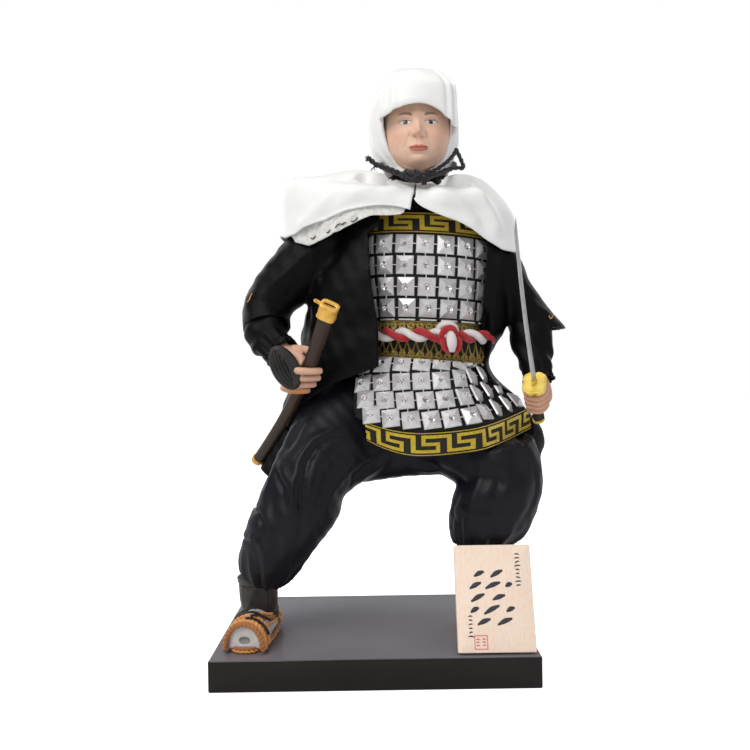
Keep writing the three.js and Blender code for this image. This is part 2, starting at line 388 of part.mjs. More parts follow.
// The left sleeve's lower end runs out to a point.
const tipL = tube(12, 3, (a, v) => new THREE.Vector3(90 + 21.5 * v + 0 * a, 5, 190 - 6 * v).add(new THREE.Vector3(Math.cos(a) * 0.6, Math.sin(a) * 1, Math.cos(a) * 1).multiplyScalar(13 * (1 - v) + 0.7)));
const chestRoom = body(KIMONO, 14, 5, 5.6).intersect(slab(120, 252, ARMOUR.side + GAP, ROPE.slope));
const skirtRoom = body(APRON, 22, 6, GAP + 3.4).intersect(block(400, 75, 90, [0, -25, 132]));
const legRoom = joined([limb(LEG_R, 10, 4, 2.6), limb(LEG_L, 10, 3, 2.8), body(HIPS, 12, 3, 1.4)]);
const coatClean = joined([coatShell, sleeveR, sleeveL, tipL]).subtract(chestRoom.add(beltAt(GAP))).subtract(skirtRoom).subtract(legRoom);
const forearmR = limb(FOREARM_R, 12, 5, 0, fold(5, 0)), forearmL = limb(FOREARM_L, 12, 4, 0, fold(5, 1));
piece('jacket', coatClean.subtract(limb([SHEATH_A(), SHEATH_B()], 10, 1)), COLOUR.black, 0.5);
const armRoomR = limb(ARM_R, 10, 3, GAP + 0.7), armRoomL = limb(ARM_L, 10, 3, GAP + 0.9).add(tipL);
piece('right_sleeve', forearmR.subtract(armRoomR).subtract(coatClean), COLOUR.black, 0.5);
piece('left_sleeve', forearmL.subtract(armRoomL).subtract(coatClean), COLOUR.black, 0.5);

// ---------------------------------------------------------------- cape and neck cord
group('cape');
const capeOut = body(CAPE_ROWS, 20, 5), capeInner = body(CAPE_ROWS.map((r, i) => r.map((p) => [p[0], p[1], p[2] + (i ? -CAPE.thick : 8)])), 20, 5, -CAPE.thick * 0.7);
const capeSplit = block(1.2, 40, 60, [22.9, -32, 240]);
const neckRing = bodySurface([row(276, 8.5, 47.5, -19.5, 21), row(270, 9.5, 47, -20, 20)], CORD.r + 0.6), ringLine = [];
for (let i = 0; i < 14; i++) { const a = (i / 14) * TAU, p = neckRing(a, 0.5); p.z += 5.6 * Math.sin(a) * Math.sin(a) + 7 * Math.max(0, -Math.cos(a)) - 6.6 * Math.max(0, Math.cos(a)) + 1; p.y -= 4.2 * Math.max(0, Math.cos(a)); ringLine.push(p); }
const cordParts = (g) => joined([
  rod(ringLine, CORD.r + g, 5, 14, 1, true),
  solid(new THREE.SphereGeometry(1, 8, 6)).transform(new THREE.Matrix4().makeScale(5.6 + g, 3.2 + g, 3.4 + g).setPosition(30.5, -27.4, 265.4).elements),
  rod([V([33, -27, 266]), V([42.5, -26.5, 273]), V([50.5, -22.5, 281.5]), V([53.6, -24, 275]), V([51.5, -27.5, 270.4]), V([42, -28.4, 268]), V([34, -27.6, 265.6])], CORD.r + g, 4, 8),
  rod([V([27, -27, 266]), V([14, -25.6, 270]), V([5.5, -23, 276]), V([1, -21, 280.6])], CORD.r + g, 4, 4),
]);
piece('cape', capeOut.subtract(capeInner).subtract(capeSplit), COLOUR.white, 0.55);
piece('neck_cord', cordParts(0).subtract(body(HOOD, 12, 7, GAP)), COLOUR.cord, 0.7);

// ---------------------------------------------------------------- scabbard
group('scabbard');
const sheathDir = SHEATH_END.clone().sub(MOUTH_AT).normalize(), alongSheath = (d) => MOUTH_AT.clone().addScaledVector(sheathDir, d);
const st = (p, a, b) => [p.x, p.y, p.z, a, b];
const sheathStation = (d, extra = 0) => { const k = d / SHEATH.len; return st(alongSheath(d), SHEATH.a0 + (SHEATH.a1 - SHEATH.a0) * k + extra, SHEATH.b0 + (SHEATH.b1 - SHEATH.b0) * k + extra); };
const two = (d0, d1, e0, e1 = e0) => [sheathStation(d0, e0), sheathStation(d1, e1)];
const slot = limb([st(alongSheath(-2), SHEATH.slotW / 2, SHEATH.slotT / 2), st(alongSheath(SHEATH.bore), SHEATH.slotW / 2 - 0.4, SHEATH.slotT / 2)], 8, 1);
piece('scabbard', limb(two(SHEATH.collar + GAP, SHEATH.len - SHEATH.cap - GAP, 0), 14, 2).subtract(slot), COLOUR.brown, 0.4);
const collar = joined([limb(two(0, SHEATH.collar, 0.6, 0.5), 12, 1)]);
const lug = (() => { const s = sheathStation(3.2), c = new THREE.Vector3(s[0], s[1], s[2]), U = new THREE.Vector3().crossVectors(new THREE.Vector3(0, 1, 0), sheathDir).normalize(); const sgn = U.x > 0 ? -1 : 1; return rod([c.clone().addScaledVector(U, sgn * 3.4), c.clone().addScaledVector(U, sgn * 7.6)], 1.25, 8, 1); })();
piece('scabbard_collar', collar.add(lug).subtract(slot), COLOUR.gold, 0.3, 0.6);
piece('scabbard_cap', limb(two(SHEATH.len - SHEATH.cap, SHEATH.len, 0.6, 0.2), 14, 1), COLOUR.gold, 0.3, 0.6);

// ---------------------------------------------------------------- sword
group('sword');
const bladeDir = BLADE_TIP.clone().sub(GUARD_AT).normalize();
// The cutting edge faces forward and down, turned a little to one side.
const edgeDir = new THREE.Vector3(0, -0.7, -0.7).addScaledVector(bladeDir, -new THREE.Vector3(0, -0.7, -0.7).dot(bladeDir)).normalize().applyAxisAngle(bladeDir, rad(-32));
const flatDir = new THREE.Vector3().crossVectors(bladeDir, edgeDir);
const blade = tube(6, 12, (a, v) => {
  const k = v, taper = (1 - 0.35 * k) * (k > 0.92 ? Math.max(0.06, (1 - k) / 0.08) : 1), curve = 1.6 * Math.sin(Math.PI * k);
  return GUARD_AT.clone().addScaledVector(bladeDir, 1.4 + k * (SWORD.len - 1.4)).addScaledVector(edgeDir, curve + Math.cos(a) * SWORD.w / 2 * taper).addScaledVector(flatDir, Math.sin(a) * SWORD.t / 2 * taper);
});
piece('blade', blade, COLOUR.steel, 0.25, 0.9);
const upGuard = new THREE.Vector3(0, 0, 1);
const guardShape = (() => {
  const s = new THREE.Shape(), w = SWORD.guardW / 2, h = SWORD.guardH / 2, n = 16;
  for (let i = 0; i <= n; i++) {
    const a = (i / n) * TAU, c = Math.cos(a), d = Math.sin(a), q = 3.2;
    s[i ? 'lineTo' : 'moveTo'](Math.sign(c) * Math.abs(c) ** (2 / q) * w, Math.sign(d) * Math.abs(d) ** (2 / q) * h);
  }
  return s;
})();
const guardFrame = (() => { const z = bladeDir.clone(), y = upGuard.clone().addScaledVector(z, -upGuard.dot(z)).normalize(), x = new THREE.Vector3().crossVectors(y, z); return new THREE.Matrix4().makeBasis(x, y, z).setPosition(GUARD_AT); })();
const guard = solid(new THREE.ExtrudeGeometry(guardShape, { depth: SWORD.guardT, bevelEnabled: false }).translate(0, 0, -SWORD.guardT / 2 + 0.02).applyMatrix4(guardFrame));
piece('sword_guard', guard, COLOUR.gold, 0.35, 0.4);
const gripAt = (d) => GUARD_AT.clone().addScaledVector(bladeDir, -d);
const grip = (g = 0) => limb([st(gripAt(SWORD.guardT / 2 + GAP), SWORD.gripR + g, SWORD.gripR * 0.82 + g), st(gripAt(SWORD.grip), SWORD.gripR * 0.9 + g, SWORD.gripR * 0.74 + g)], 12, 2);
piece('sword_grip', grip(), COLOUR.brown, 0.6);
piece('sword_pommel', limb([st(gripAt(SWORD.grip + GAP), SWORD.gripR + 0.3, SWORD.gripR * 0.82 + 0.3), st(gripAt(SWORD.grip + SWORD.pommel), SWORD.gripR - 0.5, SWORD.gripR * 0.6)], 12, 1), COLOUR.gold, 0.35, 0.4);

// ---------------------------------------------------------------- hands
group('hands');
// Four fingers side by side, bent round a grip: ridged outside, flat where they press on it.
function fingers(centre, axis, towardPalm, side, finger, gripR, from, to) {
  const x = towardPalm.clone().addScaledVector(axis, -towardPalm.dot(axis)).normalize(), y = new THREE.Vector3().crossVectors(axis, x).multiplyScalar(side);
  const W = 4 * 1.8 * finger, T = 2 * finger;
  return tube(12, 5, (a, v) => {
    const k = Math.round((a / TAU) * 12) % 12, bend = rad(from + (to - from) * v);
    const w = k <= 8 ? -W / 2 + (W * k) / 8 : W / 2 - (W * (k - 8)) / 4;
    const t = (k > 8 ? 0 : k % 8 === 0 ? 0.35 : k % 2 ? 1 : 0.66) * T * (1 - 0.12 * v);
    return centre.clone().addScaledVector(axis, w).addScaledVector(x, Math.cos(bend) * (gripR + t)).addScaledVector(y, Math.sin(bend) * (gripR + t));
  });
}
{
  const grasp = fingers(alongSheath(54), sheathDir, new THREE.Vector3(-1, 0.1, 0), -1, 2.35, SHEATH.a0 + 0.2, -20, 185);
  const palm = limb([[-50.1, -19, 166.4, 6, 5.2], [-48.6, -21.5, 161, 6.6, 6], [-47.1, -22.5, 153.2, 6.2, 5.8]], 8, 2);
  const thumb = rod([V([-47.6, -17, 166]), V([-42.7, -19, 169.8]), V([-36.8, -20.5, 168.9]), V([-31.3, -22, 165.3])], 2.5, 5, 3);
  piece('right_hand', joined([palm, grasp, thumb]).subtract(limb(two(20, 100, GAP + 0.2), 8, 1)).subtract(limb(FOREARM_R, 12, 5, GAP, fold(5, 0))), COLOUR.skin, 0.45);
}
{
  const grasp = fingers(gripAt(11.5), bladeDir.clone().negate(), new THREE.Vector3(1, -0.3, 0.3), 1, 2.35, SWORD.gripR + 0.2, -25, 205);
  const palm = limb([[91.6, -12, 158.5, 5.6, 5.4], [93, -16, 153, 6.2, 6], [94, -18.5, 146, 6, 6]], 8, 2);
  const thumb = rod([V([92.5, -19, 154]), V([90, -24.5, 153.5]), V([87, -25.5, 150.5])], 2.3, 5, 3);
  const guardRoom = solid(new THREE.ExtrudeGeometry(guardShape, { depth: 8, bevelEnabled: false }).translate(0, 0, -SWORD.guardT / 2 - 0.3).applyMatrix4(guardFrame));
  piece('left_hand', joined([palm, grasp, thumb]).subtract(limb([st(gripAt(-2), SWORD.gripR + 0.5, SWORD.gripR * 0.82 + 0.5), st(gripAt(32), SWORD.gripR + 0.5, SWORD.gripR * 0.82 + 0.5)], 8, 1)).subtract(guardRoom).subtract(limb(FOREARM_L.slice(-3), 8, 2, 0.9)), COLOUR.skin, 0.45);
}
// The ribbed guard on the back of the right hand.
{
  const oval = solid(new THREE.SphereGeometry(1, 10, 6)).transform(new THREE.Matrix4().makeRotationFromEuler(new THREE.Euler(0.2, -0.62, 0)).multiply(new THREE.Matrix4().makeScale(7.6, 3.6, 12.5)).setPosition(-50.2, -27.9, 163.1).elements);
  const palmRoom = limb([[-50.1, -19, 166.4, 6.4, 5.6], [-48.6, -21.5, 161, 7, 6.4], [-47.1, -22.5, 153.2, 6.6, 6.2]], 8, 2);
  const handRoom = joined([palmRoom, limb(two(20, 100, 5.6), 14, 2), limb(FOREARM_R, 12, 5, GAP, fold(5, 0)), limb(ARM_R, 10, 3, GAP)]);
  piece('right_hand_guard', biggest(oval.subtract(handRoom)), COLOUR.leather, 0.6);
}

export default root;
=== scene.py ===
# A Japanese display doll of a warrior on a lacquered plinth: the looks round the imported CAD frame.
# Shapes are worked out in millimetres and turned to metres where a mesh is made.
import bpy, bmesh, json, math
import numpy as np
from mathutils import Matrix, Vector
from mathutils.bvhtree import BVHTree

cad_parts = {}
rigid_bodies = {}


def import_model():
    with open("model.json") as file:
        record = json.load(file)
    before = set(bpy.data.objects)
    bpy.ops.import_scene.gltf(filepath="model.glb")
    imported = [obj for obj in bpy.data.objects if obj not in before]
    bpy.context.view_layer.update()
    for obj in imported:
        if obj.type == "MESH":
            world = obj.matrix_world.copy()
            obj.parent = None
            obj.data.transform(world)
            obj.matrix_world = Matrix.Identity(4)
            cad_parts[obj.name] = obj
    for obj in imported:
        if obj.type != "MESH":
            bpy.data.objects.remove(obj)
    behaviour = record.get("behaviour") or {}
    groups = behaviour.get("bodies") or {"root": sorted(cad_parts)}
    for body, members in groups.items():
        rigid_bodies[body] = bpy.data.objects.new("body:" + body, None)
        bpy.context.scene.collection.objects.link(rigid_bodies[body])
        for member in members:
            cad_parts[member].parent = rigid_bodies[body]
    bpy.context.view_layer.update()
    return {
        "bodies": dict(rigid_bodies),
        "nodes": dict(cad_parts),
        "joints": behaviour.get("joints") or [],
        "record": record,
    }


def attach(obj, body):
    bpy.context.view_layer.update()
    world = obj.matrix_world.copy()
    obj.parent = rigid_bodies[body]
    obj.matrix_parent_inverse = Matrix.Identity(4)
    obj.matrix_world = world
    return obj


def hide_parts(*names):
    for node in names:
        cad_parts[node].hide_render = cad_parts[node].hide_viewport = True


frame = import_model()
MM, TAU = 0.001, 2 * math.pi
sin, cos, pi = np.sin, np.cos, np.pi

# ------------------------------------------------------------------ camera, light and floor
ROLL = math.radians(0.85)
cam_data = bpy.data.cameras.new("camera")
cam = bpy.data.objects.new("camera", cam_data)
bpy.context.scene.collection.objects.link(cam)
cam_data.sensor_width, cam_data.lens = 36, 36.48
cam_data.shift_y = 2 / 750
cam_data.clip_start, cam_data.clip_end = 0.01, 20
m = Matrix.Identity(4)
for i, axis in enumerate([(math.cos(ROLL), 0, -math.sin(ROLL)), (math.sin(ROLL), 0, math.cos(ROLL)), (0, -1, 0)]):
    for j in range(3):
        m[j][i] = axis[j]
m.translation = Vector((2.1, -434.5, 156.6)) * MM
cam.matrix_world = m
bpy.context.scene.camera = cam
bpy.context.scene.view_settings.view_transform = "Standard"


def area_light(name, at, aim, size, power, colour=(1, 1, 1)):
    d = bpy.data.lights.new(name, "AREA")
    d.shape, d.size, d.size_y, d.energy, d.color = "RECTANGLE", size[0], size[1], power, colour
    o = bpy.data.objects.new(name, d)
    bpy.context.scene.collection.objects.link(o)
    o.location = at
    o.rotation_mode = "QUATERNION"
    o.rotation_quaternion = (Vector(aim) - Vector(at)).to_track_quat("-Z", "Y")


area_light("key", (-0.55, -0.75, 0.95), (0, 0, 0.15), (0.7, 0.7), 8.4, (1, 0.985, 0.96))
area_light("fill", (0.85, -0.65, 0.45), (0, 0, 0.15), (0.6, 0.9), 1.3, (0.97, 0.985, 1))
area_light("top", (0, 0.1, 1.25), (0, 0, 0.1), (0.8, 0.8), 3.2)
area_light("back_left", (-0.7, 0.8, 0.6), (0, 0, 0.15), (0.5, 0.8), 2.6)
area_light("back_right", (0.8, 0.75, 0.6), (0, 0, 0.15), (0.5, 0.8), 1.7)
world = bpy.data.worlds.new("studio")
bpy.context.scene.world = world
world.use_nodes = True
_w = world.node_tree
_sky = _w.nodes["Background"]
_sky.inputs[0].default_value = (0.95, 0.97, 1, 1)
_sky.inputs[1].default_value = 0.36
_white = _w.nodes.new("ShaderNodeBackground")
_white.inputs[0].default_value, _white.inputs[1].default_value = (1, 1, 1, 1), 1.0
_ray, _pick = _w.nodes.new("ShaderNodeLightPath"), _w.nodes.new("ShaderNodeMixShader")
_w.links.new(_ray.outputs["Is Camera Ray"], _pick.inputs[0])
_w.links.new(_sky.outputs[0], _pick.inputs[1])
_w.links.new(_white.outputs[0], _pick.inputs[2])
_w.links.new(_pick.outputs[0], next(x for x in _w.nodes if x.type == "OUTPUT_WORLD").inputs[0])


# ------------------------------------------------------------------ materials
class Nodes:
    """A material's node tree with short calls."""

    def __init__(self, name, colour, rough=0.5, metal=0.0, **more):
        self.mat = bpy.data.materials.new(name)
        self.mat.use_nodes = True
        self.t = self.mat.node_tree
        self.b = next(n for n in self.t.nodes if n.type == "BSDF_PRINCIPLED")
        self.b.inputs["Base Color"].default_value = (*colour, 1)
        self.b.inputs["Roughness"].default_value = rough
        self.b.inputs["Metallic"].default_value = metal
        for k, v in more.items():
            self.b.inputs[k.replace("_", " ")].default_value = v
        self.space = self.add("ShaderNodeTexCoord").outputs["Object"]

    def add(self, kind, **props):
        n = self.t.nodes.new(kind)
        for k, v in props.items():
            setattr(n, k, v)
        return n

    def link(self, a, b):
        self.t.links.new(a, b)

    def scaled(self, scale, rotation=(0, 0, 0), source=None):
        """Object space in units of 1/scale millimetres."""
        n = self.add("ShaderNodeMapping")
        k = 1000 if source is None else 1
        n.inputs["Scale"].default_value = tuple(s * k for s in (scale if hasattr(scale, "__len__") else (scale,) * 3))
        n.inputs["Rotation"].default_value = rotation
        self.link(source or self.space, n.inputs["Vector"])
        return n.outputs[0]

    def uv(self, name="UVMap"):
        return self.add("ShaderNodeUVMap", uv_map=name).outputs[0]

    def noise(self, scale, detail=3, rough=0.55, vector=None):
        n = self.add("ShaderNodeTexNoise")
        n.inputs["Scale"].default_value = 1
        n.inputs["Detail"].default_value = detail
        n.inputs["Roughness"].default_value = rough
        self.link(vector or self.scaled(scale), n.inputs["Vector"])
        return n.outputs["Fac"]

    def wave(self, scale, direction="X", distortion=0.0, vector=None, kind="BANDS", profile="SIN"):
        n = self.add("ShaderNodeTexWave", wave_type=kind, wave_profile=profile)
        if kind == "BANDS":
            n.bands_direction = direction
        n.inputs["Scale"].default_value = 0.3183
        n.inputs["Distortion"].default_value = distortion
        n.inputs["Detail"].default_value = 1
        self.link(vector or self.scaled(scale), n.inputs["Vector"])
        return n.outputs["Fac"]

    def voronoi(self, scale, vector=None, feature="F1"):
        n = self.add("ShaderNodeTexVoronoi", feature=feature)
        n.inputs["Scale"].default_value = 1
        self.link(vector or self.scaled(scale), n.inputs["Vector"])
        return n.outputs["Distance"]

    def normal_z(self):
        n = self.add("ShaderNodeSeparateXYZ")
        self.link(self.add("ShaderNodeNewGeometry").outputs["Normal"], n.inputs[0])
        return n.outputs["Z"]

    def math(self, op, a, b):
        n = self.add("ShaderNodeMath", operation=op)
        for s, v in zip(n.inputs, (a, b)):
            if hasattr(v, "links"):
                self.link(v, s)
            else:
                s.default_value = v
        return n.outputs[0]

    def ramp(self, fac, stops):
        n = self.add("ShaderNodeValToRGB")
        e = n.color_ramp.elements
        while len(e) < len(stops):
            e.new(0.5)
        for x, (at, c) in zip(e, stops):
            x.position, x.color = at, (*c, 1) if len(c) == 3 else c
        self.link(fac, n.inputs[0])
        return n.outputs[0]

    def mix(self, fac, a, b):
        n = self.add("ShaderNodeMix", data_type="RGBA")
        for s, v in zip((n.inputs[0], n.inputs[6], n.inputs[7]), (fac, a, b)):
            if hasattr(v, "links"):
                self.link(v, s)
            else:
                s.default_value = (*v, 1) if hasattr(v, "__len__") else v
        return n.outputs[2]

    def spread(self, fac, lo, hi):
        n = self.add("ShaderNodeMapRange")
        n.inputs["To Min"].default_value, n.inputs["To Max"].default_value = lo, hi
        self.link(fac, n.inputs[0])
        return n.outputs[0]

    def colour(self, socket):
        self.link(socket, self.b.inputs["Base Color"])

    def rough(self, fac, lo, hi):
        self.link(self.spread(fac, lo, hi), self.b.inputs["Roughness"])

    def bump(self, height, strength, mm, after=None):
        n = self.add("ShaderNodeBump")
        n.inputs["Strength"].default_value = strength
        n.inputs["Distance"].default_value = mm * MM
        self.link(height, n.inputs["Height"])
        if after is not None:
            self.link(after, n.inputs["Normal"])
        self.link(n.outputs[0], self.b.inputs["Normal"])
        return n.outputs[0]


def cloth(name, dark, light, rough, thread=0.32, bump=0.25, sheen=0.0, tint=(1, 1, 1), spec=0.4, crinkle=0.0):
    """Woven cloth: threads both ways, soft colour changes over the piece and a sheen."""
    n = Nodes(name, light, rough, Sheen_Weight=sheen, Sheen_Roughness=0.35, Specular_IOR_Level=spec)
    n.b.inputs["Sheen Tint"].default_value = (*tint, 1)
    big = n.noise(0.045, 4)
    fine = n.noise(1.4, 2)
    n.colour(n.mix(n.math("MULTIPLY", fine, 0.3), n.ramp(big, [(0.3, dark), (0.7, light)]), dark))
    a = n.wave(TAU / thread, "DIAGONAL", 0.6)
    b = n.wave(TAU / thread, "Z", 0.6, vector=n.scaled(TAU / thread, (0.5, 0.3, 0.2)))
    weave = n.math("ADD", n.math("MULTIPLY", a, 0.5), n.math("MULTIPLY", b, 0.5))
    last = n.bump(weave, bump, thread * 0.35)
    last = n.bump(n.noise(0.35, 4), 0.35, 0.35 + crinkle, last)
    n.rough(big, rough - 0.06, rough + 0.08)
    return n.mat


M = {}
M["black_cloth"] = cloth("black_cloth", (0.0014, 0.0014, 0.0019), (0.0030, 0.0030, 0.0040), 0.42, 0.36, 0.2, 0.0, (0.5, 0.55, 0.7), 0.11)
M["black_satin"] = cloth("black_satin", (0.0036, 0.0037, 0.0058), (0.0092, 0.0095, 0.0150), 0.4, 0.26, 0.14, 0.04, (0.45, 0.5, 0.75), 0.2)
M["white_satin"] = cloth("white_satin", (0.85, 0.847, 0.825), (0.93, 0.93, 0.915), 0.42, 0.26, 0.12, 0.25, (1, 1, 1), 0.45)


def crinkled():
    """The soft, slightly crushed layer that shows under the cape's hem."""
    n = Nodes("crinkled_lining", (0.7, 0.69, 0.66), 0.45)
    v = n.voronoi(0.42, feature="DISTANCE_TO_EDGE")
    f = n.noise(0.5, 5)
    n.colour(n.ramp(f, [(0.3, (0.60, 0.59, 0.55)), (0.55, (0.72, 0.715, 0.69)), (0.8, (0.82, 0.82, 0.80))]))
    n.bump(f, 0.3, 0.4, n.bump(v, 0.2, 0.35))
    n.rough(f, 0.35, 0.55)
    return n.mat


M["lining"] = crinkled()


def lacquer():
    n = Nodes("lacquer", (0.012, 0.009, 0.009), 0.14, Coat_Weight=0.12, Coat_Roughness=0.06, Specular_IOR_Level=0.16)
    f = n.noise(0.02, 5)
    # painted reflection: the top is coloured a pale grey for the pale surroundings it mirrors, while the sides stay
    # deep black
    up = n.math("MAXIMUM", n.normal_z(), 0.0)
    sides = n.ramp(f, [(0.3, (0.009, 0.006, 0.006)), (0.75, (0.016, 0.011, 0.011))])
    top = n.ramp(f, [(0.3, (0.175, 0.162, 0.180)), (0.75, (0.212, 0.198, 0.216))])
    n.colour(n.mix(n.math("POWER", up, 3.0), sides, top))
    spots = n.ramp(n.voronoi(0.09), [(0.0, (1, 1, 1)), (0.035, (0, 0, 0))])
    n.rough(n.math("ADD", n.math("MULTIPLY", f, 0.6), n.math("MULTIPLY", spots, 0.5)), 0.07, 0.24)
    n.bump(n.noise(0.12, 2), 0.05, 0.2)
    return n.mat


M["lacquer"] = lacquer()


def board_wood():
    n = Nodes("board_wood", (0.90, 0.72, 0.58), 0.55, Specular_IOR_Level=0.3)
    v = n.scaled((1, 1, 0.035))
    long = n.noise(1, 4, vector=v)
    fine = n.noise(1, 3, vector=n.scaled((6, 6, 0.12)))
    c = n.ramp(long, [(0.25, (0.95, 0.69, 0.53)), (0.5, (0.98, 0.79, 0.64)), (0.8, (0.99, 0.84, 0.72))])
    n.colour(n.mix(n.math("MULTIPLY", fine, 0.16), c, (0.78, 0.58, 0.46)))
    n.bump(fine, 0.25, 0.12)
    n.rough(long, 0.48, 0.62)
    return n.mat


M["board_wood"] = board_wood()


def ink(name, colour, light):
    n = Nodes(name, colour, 0.6)
    f = n.noise(1.6, 4)
    n.colour(n.ramp(f, [(0.35, colour), (0.75, light)]))
    n.bump(f, 0.2, 0.05)
    return n.mat


M["ink"] = ink("ink", (0.022, 0.022, 0.028), (0.06, 0.06, 0.075))
M["seal"] = ink("seal_red", (0.62, 0.10, 0.10), (0.78, 0.28, 0.24))
M["thread"] = ink("stitch_thread", (0.5, 0.5, 0.5), (0.8, 0.8, 0.8))
M["stitch"] = ink("dark_stitch", (0.01, 0.01, 0.012), (0.03, 0.03, 0.03))


def metal(name, dark, light, rough, grain=(2, 2, 2), metallic=1.0, bump=0.15, spec=0.5):
    n = Nodes(name, light, rough, metallic, Specular_IOR_Level=spec)
    f = n.noise(0.25, 5)
    g = n.noise(1, 3, vector=n.scaled(grain))
    n.colour(n.mix(n.math("MULTIPLY", g, 0.35), n.ramp(f, [(0.3, dark), (0.7, light)]), dark))
    n.rough(f, rough - 0.06, rough + 0.1)
    n.bump(g, bump, 0.08)
    return n.mat


M["silver_studs"] = metal("silver_studs", (0.56, 0.54, 0.54), (0.80, 0.79, 0.80), 0.37, metallic=0.55, bump=0.1)
M["stud_stone"] = metal("stud_stone", (0.45, 0.42, 0.42), (0.95, 0.93, 0.93), 0.12, metallic=0.9, bump=0.05)
M["gold_fittings"] = metal("gold_fittings", (0.72, 0.36, 0.05), (0.93, 0.56, 0.12), 0.34, metallic=0.35, bump=0.2)
M["guard_gold"] = metal("guard_gold", (0.80, 0.55, 0.08), (0.95, 0.73, 0.16), 0.36, metallic=0.3, bump=0.3)
M["blade_steel"] = metal("blade_steel", (0.42, 0.41, 0.42), (0.60, 0.59, 0.60), 0.3, grain=(0.4, 0.4, 5), metallic=0.8)


def brocade(name, gold, deep, pitch=0.5):
    """Metallic thread laid on the slant."""
    n = Nodes(name, gold, 0.38, 0.55)
    uv = n.uv()
    w = n.wave(1, "DIAGONAL", 0.8, vector=n.scaled(TAU / pitch * 0.7, source=uv))
    f = n.noise(0.5, 3)
    n.colour(n.mix(n.ramp(w, [(0.25, (0, 0, 0)), (0.7, (1, 1, 1))]), deep, n.ramp(f, [(0.3, gold), (0.75, tuple(min(1, c * 1.45 + 0.02) for c in gold))])))
    n.bump(w, 0.7, 0.14, n.bump(f, 0.3, 0.2))
    n.rough(w, 0.5, 0.3)
    return n.mat


M["gold_brocade"] = brocade("gold_brocade", (1.0, 0.65, 0.07), (0.46, 0.28, 0.015))
M["waist_braid"] = brocade("waist_braid", (0.90, 0.58, 0.15), (0.06, 0.036, 0.010), 0.42)
M["ribbon_black"] = cloth("ribbon_black", (0.006, 0.005, 0.005), (0.013, 0.011, 0.010), 0.55, 0.42, 0.6, 0.0)
M["net_black"] = cloth("net_black", (0.004, 0.004, 0.005), (0.010, 0.010, 0.011), 0.7, 0.5, 0.8, 0.0)


def twisted(name, colour, light, pitch=0.55, rough=0.5):
    """Soft cord of fine threads that run round it on the slant, along its own UV map."""
    n = Nodes(name, colour, rough, Sheen_Weight=0.25, Sheen_Roughness=0.5, Specular_IOR_Level=0.35)
    w = n.wave(1, "DIAGONAL", 1.0, vector=n.scaled(TAU / pitch * 0.7, source=n.uv()))
    f = n.noise(0.8, 4)
    n.colour(n.mix(n.math("MULTIPLY", w, 0.6), colour, n.ramp(f, [(0.3, colour), (0.7, light)])))
    n.bump(w, 0.55, 0.16, n.bump(f, 0.3, 0.2))
    return n.mat


M["rope_red"] = twisted("rope_red", (0.42, 0.006, 0.012), (0.66, 0.02, 0.03))
M["rope_white"] = twisted("rope_white", (0.80, 0.74, 0.72), (0.93, 0.90, 0.88))
M["dark_cord"] = twisted("dark_cord", (0.006, 0.003, 0.005), (0.018, 0.009, 0.014), 0.6, 0.7)
M["orange_straw"] = twisted("orange_straw", (0.95, 0.37, 0.07), (1.0, 0.56, 0.18), 0.5, 0.62)
M["straw_dark"] = twisted("straw_dark", (0.42, 0.15, 0.04), (0.66, 0.30, 0.10), 0.5, 0.7)


def skin():
    """Painted doll vinyl. The mesh carries a tint for the lips, cheeks, brows and eyes, and also painted shade in the
    nostrils, beside the nose, in the lid creases, on the neck, between the fingers and under the hands, and a painted
    highlight in each eye.
    """
    n = Nodes("doll_skin", (0.80, 0.50, 0.36), 0.42, Subsurface_Weight=0.12, Specular_IOR_Level=0.35)
    n.b.inputs["Subsurface Radius"].default_value = (0.9, 0.35, 0.2)
    n.b.inputs["Subsurface Scale"].default_value = 0.0015
    a = n.add("ShaderNodeVertexColor", layer_name="tint").outputs["Color"]
    f = n.noise(0.35, 4)
    mul = n.add("ShaderNodeMix", data_type="RGBA", blend_type="MULTIPLY")
    mul.inputs[0].default_value = 1
    n.link(a, mul.inputs[6])
    n.link(n.ramp(f, [(0.3, (0.93, 0.93, 0.93)), (0.7, (1, 1, 1))]), mul.inputs[7])
    n.colour(mul.outputs[2])
    n.rough(f, 0.36, 0.5)
    n.bump(n.noise(1.2, 3), 0.06, 0.15)
    return n.mat


M["skin"] = skin()


def leather(name, dark, light, rough=0.36, scale=0.9):
    n = Nodes(name, dark, rough, Specular_IOR_Level=0.5)
    v = n.voronoi(scale, feature="DISTANCE_TO_EDGE")
    f = n.noise(0.12, 5)
    n.colour(n.ramp(f, [(0.3, dark), (0.7, light)]))
    n.rough(f, rough - 0.08, rough + 0.14)
    n.bump(v, 0.22, 0.22, n.bump(n.noise(0.5, 4), 0.3, 0.3))
    return n.mat


M["dark_leather"] = leather("dark_leather", (0.010, 0.009, 0.009), (0.030, 0.024, 0.022))
M["leather_edge"] = leather("leather_edge", (0.016, 0.010, 0.008), (0.050, 0.030, 0.022), 0.42)
M["ribbed_black"] = leather("ribbed_black", (0.008, 0.0075, 0.007), (0.024, 0.021, 0.019), 0.5, 1.6)


def brown_lacquer():
    n = Nodes("brown_lacquer", (0.03, 0.014, 0.009), 0.36, Coat_Weight=0.1, Coat_Roughness=0.25, Specular_IOR_Level=0.3)
    f = n.noise(0.08, 5)
    g = n.noise(1, 3, vector=n.scaled((1.4, 1.4, 0.15), (0.0, 0.43, 0.0)))
    n.colour(n.mix(n.math("MULTIPLY", g, 0.4), n.ramp(f, [(0.3, (0.030, 0.0155, 0.0085)), (0.7, (0.054, 0.028, 0.016))]), (0.018, 0.008, 0.005)))
    n.rough(f, 0.28, 0.44)
    n.bump(g, 0.12, 0.12)
    return n.mat


M["brown_lacquer"] = brown_lacquer()


